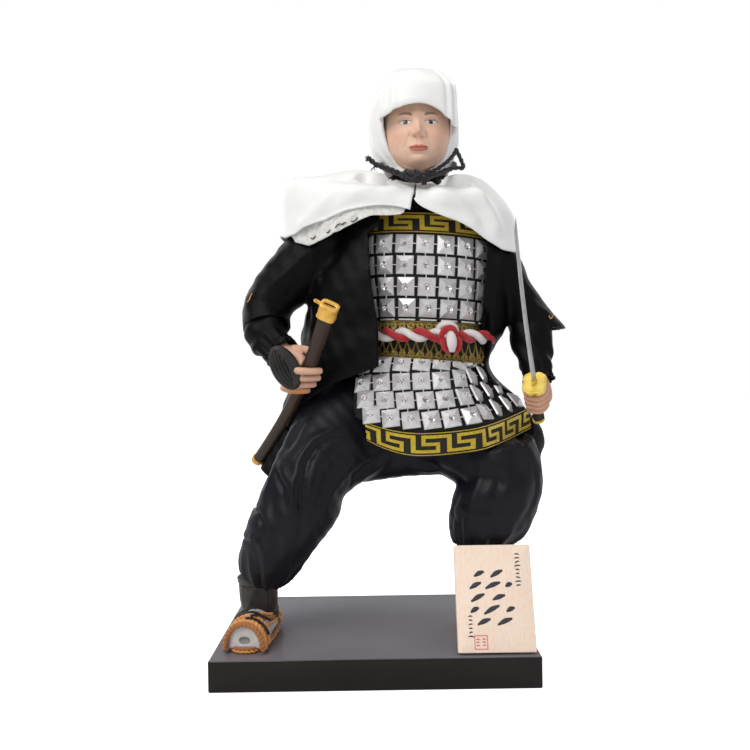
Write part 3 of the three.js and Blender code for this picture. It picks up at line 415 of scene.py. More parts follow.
def sock(name, dark, light):
    n = Nodes(name, light, 0.5, Subsurface_Weight=0.1)
    n.b.inputs["Subsurface Scale"].default_value = 0.001
    f = n.noise(0.3, 4)
    n.colour(n.ramp(f, [(0.3, dark), (0.7, light)]))
    n.bump(n.noise(1.5, 3), 0.12, 0.15)
    n.rough(f, 0.42, 0.58)
    return n.mat


M["grey_sock"] = sock("grey_sock", (0.56, 0.53, 0.51), (0.70, 0.67, 0.65))
# a darker copy of the sock colour for the oval hollow of the toe: painted shade
M["sock_painted_shade"] = sock("sock_painted_shade", (0.20, 0.185, 0.18), (0.30, 0.28, 0.27))


def grip_wrap():
    n = Nodes("grip_wrap", (0.03, 0.018, 0.012), 0.6)
    w = n.wave(1, "DIAGONAL", 0.4, vector=n.scaled(2.2, source=n.uv()))
    n.colour(n.mix(w, (0.015, 0.009, 0.007), (0.06, 0.035, 0.024)))
    n.bump(w, 0.8, 0.3)
    return n.mat


M["grip_wrap"] = grip_wrap()


def floor_look():
    n = Nodes("floor", (0.93, 0.93, 0.935), 0.6)
    f = n.noise(0.004, 2)
    n.colour(n.ramp(f, [(0.3, (0.93, 0.93, 0.935)), (0.7, (0.95, 0.95, 0.953))]))
    n.b.inputs["Emission Color"].default_value = (1, 1, 1, 1)
    # the glow only whitens the backdrop and lights nothing else
    seen = n.add("ShaderNodeLightPath").outputs["Is Camera Ray"]
    n.link(n.math("MULTIPLY", seen, 0.8), n.b.inputs["Emission Strength"])
    return n.mat


# ------------------------------------------------------------------ curves, surfaces and meshes
def catmull(points, t, closed=False):
    """A smooth curve through the points, each at an equal step of t from 0 to 1."""
    P = np.asarray(points, float)
    t = np.asarray(t, float)
    n = len(P)
    if closed:
        x = (t % 1.0) * n
        i = np.floor(x).astype(int) % n
        f = x - np.floor(x)
        p0, p1, p2, p3 = P[(i - 1) % n], P[i], P[(i + 1) % n], P[(i + 2) % n]
    else:
        x = t * (n - 1)
        i = np.clip(np.floor(x).astype(int), 0, n - 2)
        f = x - i
        E = np.concatenate([[2 * P[0] - P[1]], P, [2 * P[-1] - P[-2]]])
        p0, p1, p2, p3 = E[i], E[i + 1], E[i + 2], E[i + 3]
    if P.ndim > 1:
        f = f[..., None]
    t0, t1 = (p2 - p0) / 2, (p3 - p1) / 2
    g = np.clip(f, -0.6, 1.6)
    c = p1 + t0 * g + (-3 * p1 + 3 * p2 - 2 * t0 - t1) * g**2 + (2 * p1 - 2 * p2 + t0 + t1) * g**3
    # beyond either end the curve goes on straight
    return np.where(f > 1, p2 + t1 * (f - 1), np.where(f < 0, p1 + t0 * f, c))


def smooth(x, a, b):
    t = np.clip((np.asarray(x, float) - a) / (b - a), 0, 1)
    return t * t * (3 - 2 * t)


def hump(x, at, width):
    return np.exp(-(((x - at) / width) ** 2))


def row(z, xl, xr, yf, yb, xf=None, xb=None, yl=None, yr=None, dz=(0, 0, 0, 0)):
    xm, ym = (xl + xr) / 2, (yf + yb) / 2
    v = lambda a, b: b if a is None else a
    return [(xl, v(yl, ym), z + dz[0]), (v(xf, xm), yf, z + dz[1]), (xr, v(yr, ym), z + dz[2]), (v(xb, xm), yb, z + dz[3])]


def body(rows, grow=0.0):
    """A garment's surface: angle 0 is the front and a quarter turn is +X."""
    sides = [np.array([r[s] for r in rows], float) for s in range(4)]

    def at(a, v):
        a, v = np.broadcast_arrays(np.asarray(a, float), np.asarray(v, float))
        L, F, R, B = [catmull(s, v) for s in sides]
        L, F, R, B = L - [grow, 0, 0], F - [0, grow, 0], R + [grow, 0, 0], B + [0, grow, 0]
        w = a % TAU
        q = np.floor(w / (pi / 2)).astype(int) % 4
        t = w - q * pi / 2
        c, s = cos(t), sin(t)
        x = np.select([q == 0, q == 1, q == 2, q == 3], [F[..., 0] + (R[..., 0] - F[..., 0]) * s, B[..., 0] + (R[..., 0] - B[..., 0]) * c, B[..., 0] + (L[..., 0] - B[..., 0]) * s, F[..., 0] + (L[..., 0] - F[..., 0]) * c])
        y = np.select([q == 0, q == 1, q == 2, q == 3], [R[..., 1] + (F[..., 1] - R[..., 1]) * c, R[..., 1] + (B[..., 1] - R[..., 1]) * s, L[..., 1] + (B[..., 1] - L[..., 1]) * c, L[..., 1] + (F[..., 1] - L[..., 1]) * s])
        mix = lambda p, r: p[..., 2] * c * c + r[..., 2] * s * s
        z = np.select([q == 0, q == 1, q == 2, q == 3], [mix(F, R), mix(R, B), mix(B, L), mix(L, F)])
        return np.stack([x, y, z], -1)

    return at


def limb(stations, grow=0.0):
    st = np.array(stations, float)
    mid, rad = st[:, :3], st[:, 3:5]

    def at(a, v, extra=0.0):
        a, v = np.broadcast_arrays(np.asarray(a, float), np.asarray(v, float))
        c, r = catmull(mid, v), catmull(rad, v)
        T = catmull(mid, np.minimum(1, v + 0.01)) - catmull(mid, np.maximum(0, v - 0.01))
        T /= np.linalg.norm(T, axis=-1, keepdims=True)
        U = np.cross([0, 1, 0], T)
        U /= np.linalg.norm(U, axis=-1, keepdims=True)
        W = np.cross(T, U)
        g = (grow + extra)
        return c + U * (cos(a) * (r[..., 0] + g))[..., None] + W * (sin(a) * (r[..., 1] + g))[..., None]

    return at


def vertex_normals(P, closed):
    """Normals of a grid of points P[rows, columns]."""
    du = np.roll(P, -1, 1) - np.roll(P, 1, 1)
    if not closed:
        du[:, 0], du[:, -1] = P[:, 1] - P[:, 0], P[:, -1] - P[:, -2]
    dv = np.gradient(P, axis=0)
    n = np.cross(du, dv)
    return n / np.maximum(np.linalg.norm(n, axis=-1, keepdims=True), 1e-9)


def grid_faces(rows, cols, closed=False, start=0):
    c = np.arange(cols if closed else cols - 1)
    r = np.arange(rows - 1)[:, None]
    a = r * cols + c
    b = r * cols + (c + 1) % cols
    return (np.stack([a, b, b + cols, a + cols], -1).reshape(-1, 4) + start).tolist()


class Builder:
    """Collects parts of one piece, each with its material and UV map, in millimetres."""

    def __init__(self):
        self.v, self.f, self.m, self.uv, self.mats, self.n, self.flat = [], [], [], [], [], 0, []

    def slot(self, mat):
        mat = M[mat] if isinstance(mat, str) else mat
        if mat not in self.mats:
            self.mats.append(mat)
        return self.mats.index(mat)

    def add(self, verts, faces, mat, uv=None, flat=False):
        verts = np.asarray(verts, float).reshape(-1, 3)
        k = self.slot(mat)
        off = self.n
        self.v.append(verts)
        self.uv.append(np.zeros((len(verts), 2)) if uv is None else np.asarray(uv, float).reshape(-1, 2))
        self.f += [[i + off for i in f] for f in faces]
        self.m += [k] * len(faces)
        self.flat += [flat] * len(faces)
        self.n += len(verts)
        return off

    def grid(self, P, mat, closed=False, caps=(False, False), uv=None, flip=False, flat=False):
        rows, cols = P.shape[:2]
        faces = grid_faces(rows, cols, closed)
        V = P.reshape(-1, 3)
        if uv is None:
            u = np.concatenate([[0], np.cumsum(np.linalg.norm(np.diff(P[rows // 2], axis=0), axis=-1))])
            w = np.concatenate([[0], np.cumsum(np.linalg.norm(np.diff(P[:, 0], axis=0), axis=-1))])
            uv = np.stack(np.meshgrid(u, w), -1).reshape(-1, 2)
        for end, cap in enumerate(caps):
            if cap:
                ring = list(range(cols)) if end == 0 else list(range((rows - 1) * cols, rows * cols))
                c = V[ring].mean(0)
                V = np.vstack([V, c])
                uv = np.vstack([uv, uv[ring].mean(0)])
                k = len(V) - 1
                for i in range(cols):
                    a, b = ring[i], ring[(i + 1) % cols]
                    faces.append([b, a, k] if end == 0 else [a, b, k])
        if flip:
            faces = [f[::-1] for f in faces]
        self.add(V, faces, mat, uv, flat)

    def tube(self, path, r, mat, sides=10, closed=False, caps=True, flat=1.0, twist=0.0, up=(0, 0, 1)):
        """A round cord along a path. r is a number or one per point; flat squeezes it along the normal."""
        P = np.asarray(path, float)
        n = len(P)
        T = np.roll(P, -1, 0) - np.roll(P, 1, 0) if closed else np.gradient(P, axis=0)
        T /= np.maximum(np.linalg.norm(T, axis=1, keepdims=True), 1e-9)
        N = np.zeros_like(P)
        g = np.cross(T[0], up)
        if np.linalg.norm(g) < 1e-3:
            g = np.cross(T[0], (1, 0, 0))
        N[0] = g / np.linalg.norm(g)
        for i in range(1, n):
            w = N[i - 1] - T[i] * N[i - 1].dot(T[i])
            N[i] = w / np.linalg.norm(w)
        if closed:
            w = N[-1] - T[0] * N[-1].dot(T[0])
            w /= np.linalg.norm(w)
            ang = math.atan2(np.cross(w, N[0]).dot(T[0]), w.dot(N[0]))
            for i in range(n):
                a = ang * i / n
                N[i] = N[i] * math.cos(a) + np.cross(T[i], N[i]) * math.sin(a)
        B = np.cross(T, N)
        r = np.broadcast_to(np.asarray(r, float), (n,))
        a = np.arange(sides) / sides * TAU
        L = np.concatenate([[0], np.cumsum(np.linalg.norm(np.diff(P, axis=0), axis=1))])
        ph = a[None, :] + twist * L[:, None]
        ring = P[:, None] + (N[:, None] * cos(ph)[..., None] + B[:, None] * sin(ph)[..., None] * flat) * r[:, None, None]
        if closed:
            ring = np.concatenate([ring, ring[:1]])
            L = np.append(L, L[-1] + np.linalg.norm(P[0] - P[-1]))
            uv = np.stack(np.meshgrid(a * r.mean(), L), -1).reshape(-1, 2)
            self.grid(ring, mat, True, (False, False), uv, flip=False)
        else:
            uv = np.stack(np.meshgrid(a * r.mean(), L), -1).reshape(-1, 2)
            self.grid(ring, mat, True, (caps, caps), uv, flip=False)

    def object(self, name, node=None, slot=None, attribute=None, merge=0.0, smooth_angle=None):
        me = bpy.data.meshes.new(name)
        V = np.concatenate(self.v) * MM
        me.from_pydata(V.tolist(), [], self.f)
        for mt in self.mats:
            me.materials.append(mt)
        me.polygons.foreach_set("material_index", np.array(self.m, np.int32))
        me.polygons.foreach_set("use_smooth", ~np.array(self.flat, bool))
        uv = np.concatenate(self.uv)
        layer = me.uv_layers.new(name="UVMap")
        loops = np.zeros(len(me.loops), np.int32)
        me.loops.foreach_get("vertex_index", loops)
        layer.data.foreach_set("uv", uv[loops].astype(np.float32).ravel())
        if attribute is not None:
            c = me.color_attributes.new("tint", "FLOAT_COLOR", "POINT")
            c.data.foreach_set("color", np.hstack([attribute, np.ones((len(attribute), 1))]).astype(np.float32).ravel())
        me.update()
        bm = bmesh.new()
        bm.from_mesh(me)
        if merge:
            bmesh.ops.remove_doubles(bm, verts=bm.verts, dist=merge * MM)
        bmesh.ops.recalc_face_normals(bm, faces=bm.faces)
        bm.to_mesh(me)
        bm.free()
        o = bpy.data.objects.new(name, me)
        bpy.context.scene.collection.objects.link(o)
        finish_piece(o, node, slot)
        return o


def finish_piece(o, node=None, slot=None):
    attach(o, "root")
    if node:
        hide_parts(*([node] if isinstance(node, str) else node))


def verts_of(o):
    co = np.zeros(len(o.data.vertices) * 3)
    o.data.vertices.foreach_get("co", co)
    return co.reshape(-1, 3) / MM


def normals_of(o):
    o.data.update()
    no = np.zeros(len(o.data.vertices) * 3)
    o.data.vertices.foreach_get("normal", no)
    return no.reshape(-1, 3)


def set_verts(o, P):
    o.data.vertices.foreach_set("co", (np.asarray(P) * MM).ravel())
    o.data.update()


def apply_modifiers(o):
    dg = bpy.context.evaluated_depsgraph_get()
    me = bpy.data.meshes.new_from_object(o.evaluated_get(dg))
    old = o.data
    o.modifiers.clear()
    o.data = me
    bpy.data.meshes.remove(old)


def solid_object(name, parts, closed=True):
    """Grids of points as closed solids in one mesh, to be joined or used as a cutter."""
    b = Builder()
    for P in parts:
        b.grid(P, "black_cloth", True, (True, True))
    me = bpy.data.meshes.new(name)
    me.from_pydata((np.concatenate(b.v) * MM).tolist(), [], b.f)
    bm = bmesh.new()
    bm.from_mesh(me)
    bmesh.ops.recalc_face_normals(bm, faces=bm.faces)
    bm.to_mesh(me)
    bm.free()
    o = bpy.data.objects.new(name, me)
    bpy.context.scene.collection.objects.link(o)
    return o


def remeshed(name, parts, voxel, smoothing=6, factor=0.5):
    o = solid_object(name, parts)
    r = o.modifiers.new("r", "REMESH")
    r.mode, r.voxel_size = "VOXEL", voxel * MM
    if smoothing:
        s = o.modifiers.new("s", "SMOOTH")
        s.iterations, s.factor = smoothing, factor
    apply_modifiers(o)
    o.data.polygons.foreach_set("use_smooth", np.ones(len(o.data.polygons), bool))
    o.data.update()
    return o


def tubes(fn, n, m, v0=0.0, v1=1.0):
    """A grid of points of a surface function, m + 1 rows of n points."""
    a = np.arange(n) / n * TAU
    v = np.linspace(v0, v1, m + 1)
    return fn(a[None, :], v[:, None])


def folds(P, N, lines, scale=1.0):
    """Moves points along their normals by ridges and valleys that run along polylines.
    A line is (points, width, height): height is positive for a ridge, and fades to nothing at its ends."""
    out = np.zeros(len(P))
    for pts, width, height in lines:
        pts = np.array(pts, float)
        best, where = np.full(len(P), 1e9), np.zeros(len(P))
        seg = np.linalg.norm(np.diff(pts, axis=0), axis=1)
        total, run = seg.sum(), 0
        for i in range(len(pts) - 1):
            a, d = pts[i], pts[i + 1] - pts[i]
            t = np.clip(((P - a) @ d) / (d @ d), 0, 1)
            dist = np.linalg.norm(P - (a + t[:, None] * d), axis=1)
            near = dist < best
            best = np.where(near, dist, best)
            where = np.where(near, (run + t * seg[i]) / total, where)
            run += seg[i]
        fade = smooth(where, 0, 0.22) * smooth(1 - where, 0, 0.22)
        out += height * np.exp(-((best / width) ** 2)) * fade
    return P + N * (out * scale)[:, None]


def tree_of(o):
    dg = bpy.context.evaluated_depsgraph_get()
    bm = bmesh.new()
    bm.from_object(o, dg)
    t = BVHTree.FromBMesh(bm)
    bm.free()
    return t


def grid_tree(P, closed=False):
    return BVHTree.FromPolygons((P.reshape(-1, 3)).tolist(), grid_faces(P.shape[0], P.shape[1], closed))


def pushed_behind(P, tree, gap, zone):
    """Points in the zone that would stand in front of a surface are put behind it, seen along +Y."""
    Q = P.copy()
    for i in np.nonzero(zone)[0]:
        hit = tree.ray_cast(Vector((P[i][0], -300, P[i][2])), Vector((0, 1, 0)))[0]
        if hit is not None and P[i][1] < hit.y + gap:
            Q[i][1] = hit.y + gap
    return Q


class Chart:
    """A surface unrolled from its front: s millimetres round and t down or along its rows."""

    def __init__(self, lines, ts, reach=75):
        a = np.linspace(-pi * 0.62, pi * 0.62, 401)
        self.s = np.arange(-reach, reach + 0.01, 0.5)
        self.t = np.asarray(ts, float)
        G = []
        for t in self.t:
            P = lines(a, t)
            L = np.concatenate([[0], np.cumsum(np.linalg.norm(np.diff(P, axis=0), axis=1))])
            L -= np.interp(0, a, L)
            G.append(np.stack([np.interp(self.s, L, P[:, k]) for k in range(3)], -1))
        self.P = np.array(G)
        self.N = vertex_normals(self.P, False)
        mid = self.N[len(self.t) // 2, len(self.s) // 2]
        if mid[1] > 0:
            self.N = -self.N

    def at(self, s, t, h=0.0):
        s, t, h = np.broadcast_arrays(np.asarray(s, float), np.asarray(t, float), np.asarray(h, float))
        x = np.clip((s - self.s[0]) / 0.5, 0, len(self.s) - 1.001)
        y = np.clip(np.interp(t, self.t, np.arange(len(self.t))) if self.t[0] < self.t[-1] else np.interp(-t, -self.t, np.arange(len(self.t))), 0, len(self.t) - 1.001)
        i, j = np.floor(x).astype(int), np.floor(y).astype(int)
        fx, fy = (x - i)[..., None], (y - j)[..., None]
        def mix(G):
            return (G[j, i] * (1 - fx) + G[j, i + 1] * fx) * (1 - fy) + (G[j + 1, i] * (1 - fx) + G[j + 1, i + 1] * fx) * fy
        n = mix(self.N)
        n /= np.maximum(np.linalg.norm(n, axis=-1, keepdims=True), 1e-9)
        return mix(self.P) + n * h[..., None]

    def axes(self, s, t):
        p = self.at(s, t)
        es = self.at(s + 0.5, t) - self.at(s - 0.5, t)
        n = self.at(s, t, 1.0) - p
        es /= np.linalg.norm(es)
        n -= es * n.dot(es)
        n /= np.linalg.norm(n)
        return p, es, np.cross(n, es), n


def mm_tree(o):
    me = o.data
    V = verts_of(o)
    return BVHTree.FromPolygons(V.tolist(), [list(p.vertices) for p in me.polygons])




# ------------------------------------------------------------------ floor, plinth and name board
b = Builder()
b.add([(-3000, -1500, 0), (3000, -1500, 0), (3000, 4000, 0), (-3000, 4000, 0)], [[0, 1, 2, 3]], floor_look())
me = bpy.data.meshes.new("floor")
me.from_pydata((np.concatenate(b.v) * MM).tolist(), [], b.f)
me.materials.append(b.mats[0])
floor = bpy.data.objects.new("floor", me)
bpy.context.scene.collection.objects.link(floor)

TOP = 16.0


def rounded_box(b, size, edge, mat, place=Matrix.Identity(4), steps=3, cuts=1):
    """A box about its own middle with rounded edges, as a joined mesh."""
    bm = bmesh.new()
    bmesh.ops.create_cube(bm, size=1)
    bmesh.ops.scale(bm, vec=size, verts=bm.verts)
    bmesh.ops.bevel(bm, geom=bm.edges[:] + bm.verts[:], offset=edge, segments=steps, profile=0.5, affect="EDGES")
    bmesh.ops.transform(bm, matrix=place, verts=bm.verts)
    bm.verts.index_update()
    b.add([v.co[:] for v in bm.verts], [[v.index for v in f.verts] for f in bm.faces], mat, [(v.co.x, v.co.z) for v in bm.verts])
    bm.free()


b = Builder()
rounded_box(b, (167.2, 111.4, 16), 0.9, "lacquer", Matrix.Translation((0, 0, 8)))
o = b.object("lacquered_plinth", "plinth", "lacquer")

LEAN = math.radians(16.8)
BOARD = Matrix.Translation((61.6, -53.6 + 4 * math.cos(LEAN), TOP + 0.32)) @ Matrix.Rotation(pi / 2 - LEAN, 4, "X")
# the board's own axes: x across, y up its face, z out of the face
b = Builder()
outline, W, H, R = [], 19.7, 53.0, 1.3
for cx, cy, a0 in ((W - R, H - R, 0), (-W + R, H - R, 90), (-W + 0.4, 0.4, 180), (W - 0.4, 0.4, 270)):
    rr = R if cy > 1 else 0.4
    for k in range(6):
        a = math.radians(a0 + 18 * k)
        outline.append((cx + rr * math.cos(a), cy + rr * math.sin(a)))
outline = np.array(outline)
centre = np.array([0, H / 2])
rings = []
for z, inset in ((0, 0.35), (0.12, 0.1), (0.35, 0), (3.65, 0), (3.88, 0.1), (4, 0.35)):
    d = outline - centre
    k = 1 - inset / np.abs(d).max(1, keepdims=True)
    rings.append(np.hstack([centre + d * k, np.full((len(outline), 1), z)]))
place = np.array(BOARD)
P = np.array(rings)
P = P @ place[:3, :3].T + place[:3, 3]
b.grid(P, "board_wood", True, (True, True))
b.object("name_board_wood", "name_board", "board_wood")


def on_board(x, y, z):
    return np.stack(np.broadcast_arrays(x, y, z), -1) @ place[:3, :3].T + place[:3, 3]


def stroke(b, pts, widths, mat, high=0.16):
    """A brush stroke lying on the board: a ribbon of changing width with a soft edge."""
    n = 26
    t = np.linspace(0, 1, n)
    c = catmull(np.array(pts, float), t)
    w = np.maximum(catmull(np.array(widths, float), t), 0.05) / 2
    d = np.gradient(c, axis=0)
    d /= np.linalg.norm(d, axis=1, keepdims=True)
    side = np.stack([-d[:, 1], d[:, 0]], -1)
    rows = []
    for k, h in ((-1, -0.05), (-0.93, high * 0.8), (-0.4, high), (0.4, high), (0.93, high * 0.8), (1, -0.05)):
        q = c + side * (w * k)[:, None]
        rows.append(on_board(q[:, 0], q[:, 1], 4 + h))
    b.grid(np.array(rows).transpose(1, 0, 2), mat)


# Marks that aren't letters: a block of bold slanting dashes, two columns of small ones and a square seal.
b = Builder()
rng = np.random.default_rng(7)
for row_y, marks in ((38.4, ((-7.4, 5.2), (1.6, 6.4))), (32.6, ((-9.6, 6.0), (-0.6, 7.6), (7.6, 3.4))), (26.6, ((-8.6, 7.2), (2.2, 6.2))), (20.6, ((-10.4, 4.4), (-1.8, 8.2), (7.8, 4.2))), (14.8, ((-6.0, 6.6), (4.6, 7.4)))):
    for k, (cx, size) in enumerate(marks):
        a = math.radians(24 + rng.uniform(-5, 5))
        dx, dy = math.cos(a) * size / 2, math.sin(a) * size / 2
        stroke(b, [(cx - dx * 1.1, row_y - dy * 1.1), (cx, row_y + 0.35), (cx + dx * 1.1, row_y + dy * 1.1)], [0.9, 2.5, 1.0], "ink")
for cx, top, n, size in ((12.6, 48.0, 9, 1.7), (-12.9, 17.5, 6, 1.7)):
    for k in range(n):
        y = top - k * 1.95
        a = rng.uniform(-0.5, 0.7)
        L = size * rng.uniform(0.55, 1.0)
        stroke(b, [(cx - L * math.cos(a), y - L * math.sin(a) * 0.5), (cx, y + 0.25), (cx + L * math.cos(a), y + L * math.sin(a) * 0.5)], [0.36, 0.78, 0.34], "ink", 0.1)
b.object("board_strokes", None, "board_wood")
b = Builder()
sx, sy, q = -8.0, 5.0, 3.2
for x0, y0, x1, y1 in ((-q, -q, q, -q), (q, -q, q, q), (q, q, -q, q), (-q, q, -q, -q)):
    stroke(b, [(sx + x0, sy + y0), (sx + (x0 + x1) / 2, sy + (y0 + y1) / 2), (sx + x1, sy + y1)], [0.5, 0.42, 0.5], "seal", 0.1)
for k, (dx, dy) in enumerate(((-1.6, 1.4), (-1.6, 0), (-1.6, -1.5), (1.5, 1.5), (1.5, 0.1), (1.5, -1.4))):
    stroke(b, [(sx + dx - 0.9, sy + dy - 0.15), (sx + dx, sy + dy + 0.2), (sx + dx + 0.9, sy + dy - 0.1)], [0.35, 0.7, 0.35], "seal", 0.1)
b.object("board_seal", None, "board_wood")

# ------------------------------------------------------------------ body under the clothes
KIMONO = [row(270, 18, 40, -10, 12), row(262, 15, 45, -12, 15), row(254, 4, 59, -15, 19), row(240, -3, 66, -19, 22), row(215, -2, 65.5, -20, 22), row(190, 3, 62.5, -18.5, 20), row(170, 2, 63.5, -18.5, 20), row(151, -2, 66, -18, 22)]
HIPS = [row(149, -1, 65, -17, 21), row(132, -6, 76, -19, 24), row(114, -10, 82, -15, 24), row(105, -12, 67, -11, 18, dz=(-2, 0, 0, 0)), row(100.5, -12.6, 60, -6, 12, dz=(-5.2, 0, 0.8, 0))]
APRON = [row(168, 0, 62, -22.5, 24, yl=-10), row(158, -6, 65.5, -26, 26, xf=28, yl=-15, dz=(-1, 1, 4, 0)), row(142, -11, 74.5, -32, 30, xf=27, yl=-20, dz=(2, 0, 7, 0)), row(128, -11, 86, -36.5, 33, xf=27, yl=-22, dz=(9, 0.5, 10, 0)), row(116, -8, 94, -38.5, 34, xf=26, dz=(11, -0.4, 11.5, 0), yl=-22, yr=6)]
COAT = [row(264, 12, 47, -17, 19), row(257, 0, 61, -22, 23), row(247, -14, 74, -27, 27), row(228, -23, 78, -29.5, 30), row(206, -33, 79, -30.5, 31), row(184, -40, 77, -31, 32, xf=26, yl=10), row(162, -44, 67.5, -32.5, 34, xf=24, yl=12, yr=4), row(142, -51, 86, -24, 37, yr=8), row(122, -60, 101, -12, 40, yl=18, yr=12), row(104, -68, 100, 2, 42, yl=26, yr=21), row(90, -72, 100, 10, 44, yl=29, yr=23)]
CAPE = [row(268, 6.5, 49.5, -20, 21, xf=26, dz=(4.5, -6, 3, 4)), row(265, -8, 58.5, -24, 27, xf=25.5, dz=(9.6, -5, 5.5, 6)), row(258, -27.5, 70, -28, 35, dz=(14, -2, 6.5, 5), xf=25), row(247, -47.4, 83, -31, 41, dz=(21.6, 4, 0.5, 3), xf=24), row(236, -50.3, 85.5, -31.5, 45, dz=(8, 12, -10, -6), xf=23.5)]
HOOD = [row(331.2, 23, 30, -1.5, 7), row(329.2, 16.2, 36.4, -6.5, 13, dz=(0, -0.8, 0, 0)), row(326.4, 12.2, 41.2, -11.5, 17, dz=(0, -1, 0, 0)), row(322.4, 7.4, 45.8, -16.5, 20.5, dz=(0, -1, 0, 0)), row(317.6, 4.2, 48.8, -20.6, 23, dz=(0, -0.6, 0, 0)), row(309, 1.5, 50.6, -24, 25.5), row(298, 0.9, 51.2, -22.2, 26), row(286, 2.6, 50.4, -19.5, 25), row(276, 9.5, 46, -17, 22), row(270.6, 12.5, 44, -16.5, 19)]
LEG_R = [(10, 4, 134, 31, 19), (-16, -4, 123.5, 29, 20.5), (-34.4, -17, 102, 21.2, 21), (-39.4, -19.4, 89.5, 22.3, 21), (-47, -22, 76.5, 20, 20.5), (-57.3, -18.5, 58, 16.9, 16.5), (-61.5, -14.6, 48.6, 13.2, 13)]
LEG_L = [(45, 2, 127, 26, 22.5), (66.5, -13.5, 113, 24.5, 21), (73.8, -18.5, 99, 19.0, 20.3), (66.0, -19, 86, 23.2, 19.6), (57.4, -17, 73.5, 18.0, 16.5), (51.6, -14.8, 62.5, 9.6, 12)]
ARM_R = [(-16, 5, 240, 17, 17), (-27, 5, 231.5, 18.3, 17.5), (-42, 5, 218, 16.8, 16.5), (-57, 3.6, 201.5, 14.2, 14.5), (-59.6, 0.5, 190.5, 13.6, 14), (-58, -4.5, 181.5, 13, 13)]
ARM_L = [(75, 5, 225, 10.5, 14), (79, 5, 213, 11, 15.5), (83.5, 5, 203.5, 10.5, 16), (88.5, 5, 194, 12, 16.5), (94, 5, 184, 13.5, 16), (99, 5, 175, 16.5, 14)]
FOREARM_R = [(-56.5, 4, 204, 11.2, 12), (-59.6, 1.5, 192, 12, 12.4), (-58.6, -6, 181.5, 11.6, 11.2), (-54.0, -12.5, 175.6, 9.8, 9.4), (-47.8, -18.4, 169.8, 8.4, 8.2)]
FOREARM_L = [(91.5, 3, 192, 11, 12), (91.6, -2, 177, 12, 11.3), (92.0, -7.5, 165.5, 9.6, 9.2), (92.4, -12.0, 157.5, 8.2, 7.8), (92.5, -14.0, 153.6, 7.6, 7.2)]
SHIN_R = [(-64.3, -13.4, 47.5, 10.9, 10.9), (-64.1, -12.6, 36, 10.4, 10.4), (-63.6, -10.6, 24, 9.3, 9.6)]
SHIN_L = [(57.4, -14.1, 67, 9.8, 9.8), (57.4, -12.6, 45, 9.9, 9.9), (57.6, -9.2, 24, 9.2, 9.6)]

# the inner garment: two fronts crossed over, seen between the cape and the armour and at the sides
kim = body(KIMONO)
b = Builder()
a, v = np.arange(120) / 120 * TAU, np.linspace(0, 1, 60)
P = kim(a[None], v[:, None])
N = vertex_normals(P, True)
if (N[40, 0, 1] > 0):
    N = -N
overlap = smooth(P[..., 0] - (27 + (P[..., 2] - 250) * 0.35), -0.5, 0.5) * (P[..., 1] < 0)
P = P + N * (overlap * 0.9 + 0.25 * sin(P[..., 0] * 0.5 + P[..., 2] * 0.09) * sin(P[..., 2] * 0.21))[..., None]
b.grid(P, "black_cloth", True, (True, True))
b.object("inner_kimono", "kimono", "black_cloth")

# ------------------------------------------------------------------ studded armour
SLOPE = 0.06


def chest_line(surface):
    def line(a, z):
        lo, hi = np.zeros_like(a), np.ones_like(a)
        for _ in range(30):
            mid = (lo + hi) / 2
            p = surface(a, mid)
            above = p[:, 2] > z - SLOPE * (p[:, 0] - 33)
            lo, hi = np.where(above, mid, lo), np.where(above, hi, mid)
        return surface(a, lo)

    return line


chest = Chart(chest_line(kim), np.arange(262, 157, -1.0))
apron_round = body(APRON)


def apron(a, v, grow=0.0):
    """The apron hangs flat in front and turns back sharply where the left thigh lifts it."""
    a, v = np.broadcast_arrays(np.asarray(a, float), np.asarray(v, float))
    P = apron_round(a, v)
    F, R = apron_round(0.0, v), apron_round(pi / 2, v)
    u = np.clip((P[..., 0] - F[..., 0]) / (R[..., 0] - F[..., 0]), 0, 1)
    flat, flank, k = 1 - 0.10 * u * u, (1 - u) / 0.53 * 0.97, 0.09
    h = np.clip(0.5 + 0.5 * (flank - flat) / k, 0, 1)
    c = flank * (1 - h) + flat * h - k * h * (1 - h)
    y = R[..., 1] + (F[..., 1] - R[..., 1]) * np.maximum(c, 0)
    w = smooth(u, 0.02, 0.2) * (cos(a) > 0) * (sin(a) > 0) * smooth(v, 0.0, 0.25)
    P = P.copy()
    P[..., 1] = P[..., 1] * (1 - w) + y * w - grow
    # shallow waves down the cloth
    P[..., 1] += smooth(v, 0.2, 0.9) * 0.8 * sin(P[..., 0] * 0.16 + 0.6) * (cos(a) > 0)
    return P


skirt = Chart(lambda a, v: apron(a, np.full_like(a, v)), np.linspace(0.0, 1.02, 70), 95)
# millimetres up the front of the apron from the top of its border, as a share of the whole
_v = np.linspace(0, 1.02, 400)
_l = apron(np.zeros(400), _v)
_len = np.concatenate([[0], np.cumsum(np.linalg.norm(np.diff(_l, axis=0), axis=1))])
HEM_V = 0.80
_hem = np.interp(HEM_V, _v, _len) - 1.7
up = lambda t: np.interp(_hem - np.asarray(t, float), _len, _v)
PITCH = 10.8
apron_left = lambda t: np.interp(t, [-12, 0, 6, 17, 29, 40], [-31.0, -32.0, -33.4, -36.2, -38.6, -39.6])


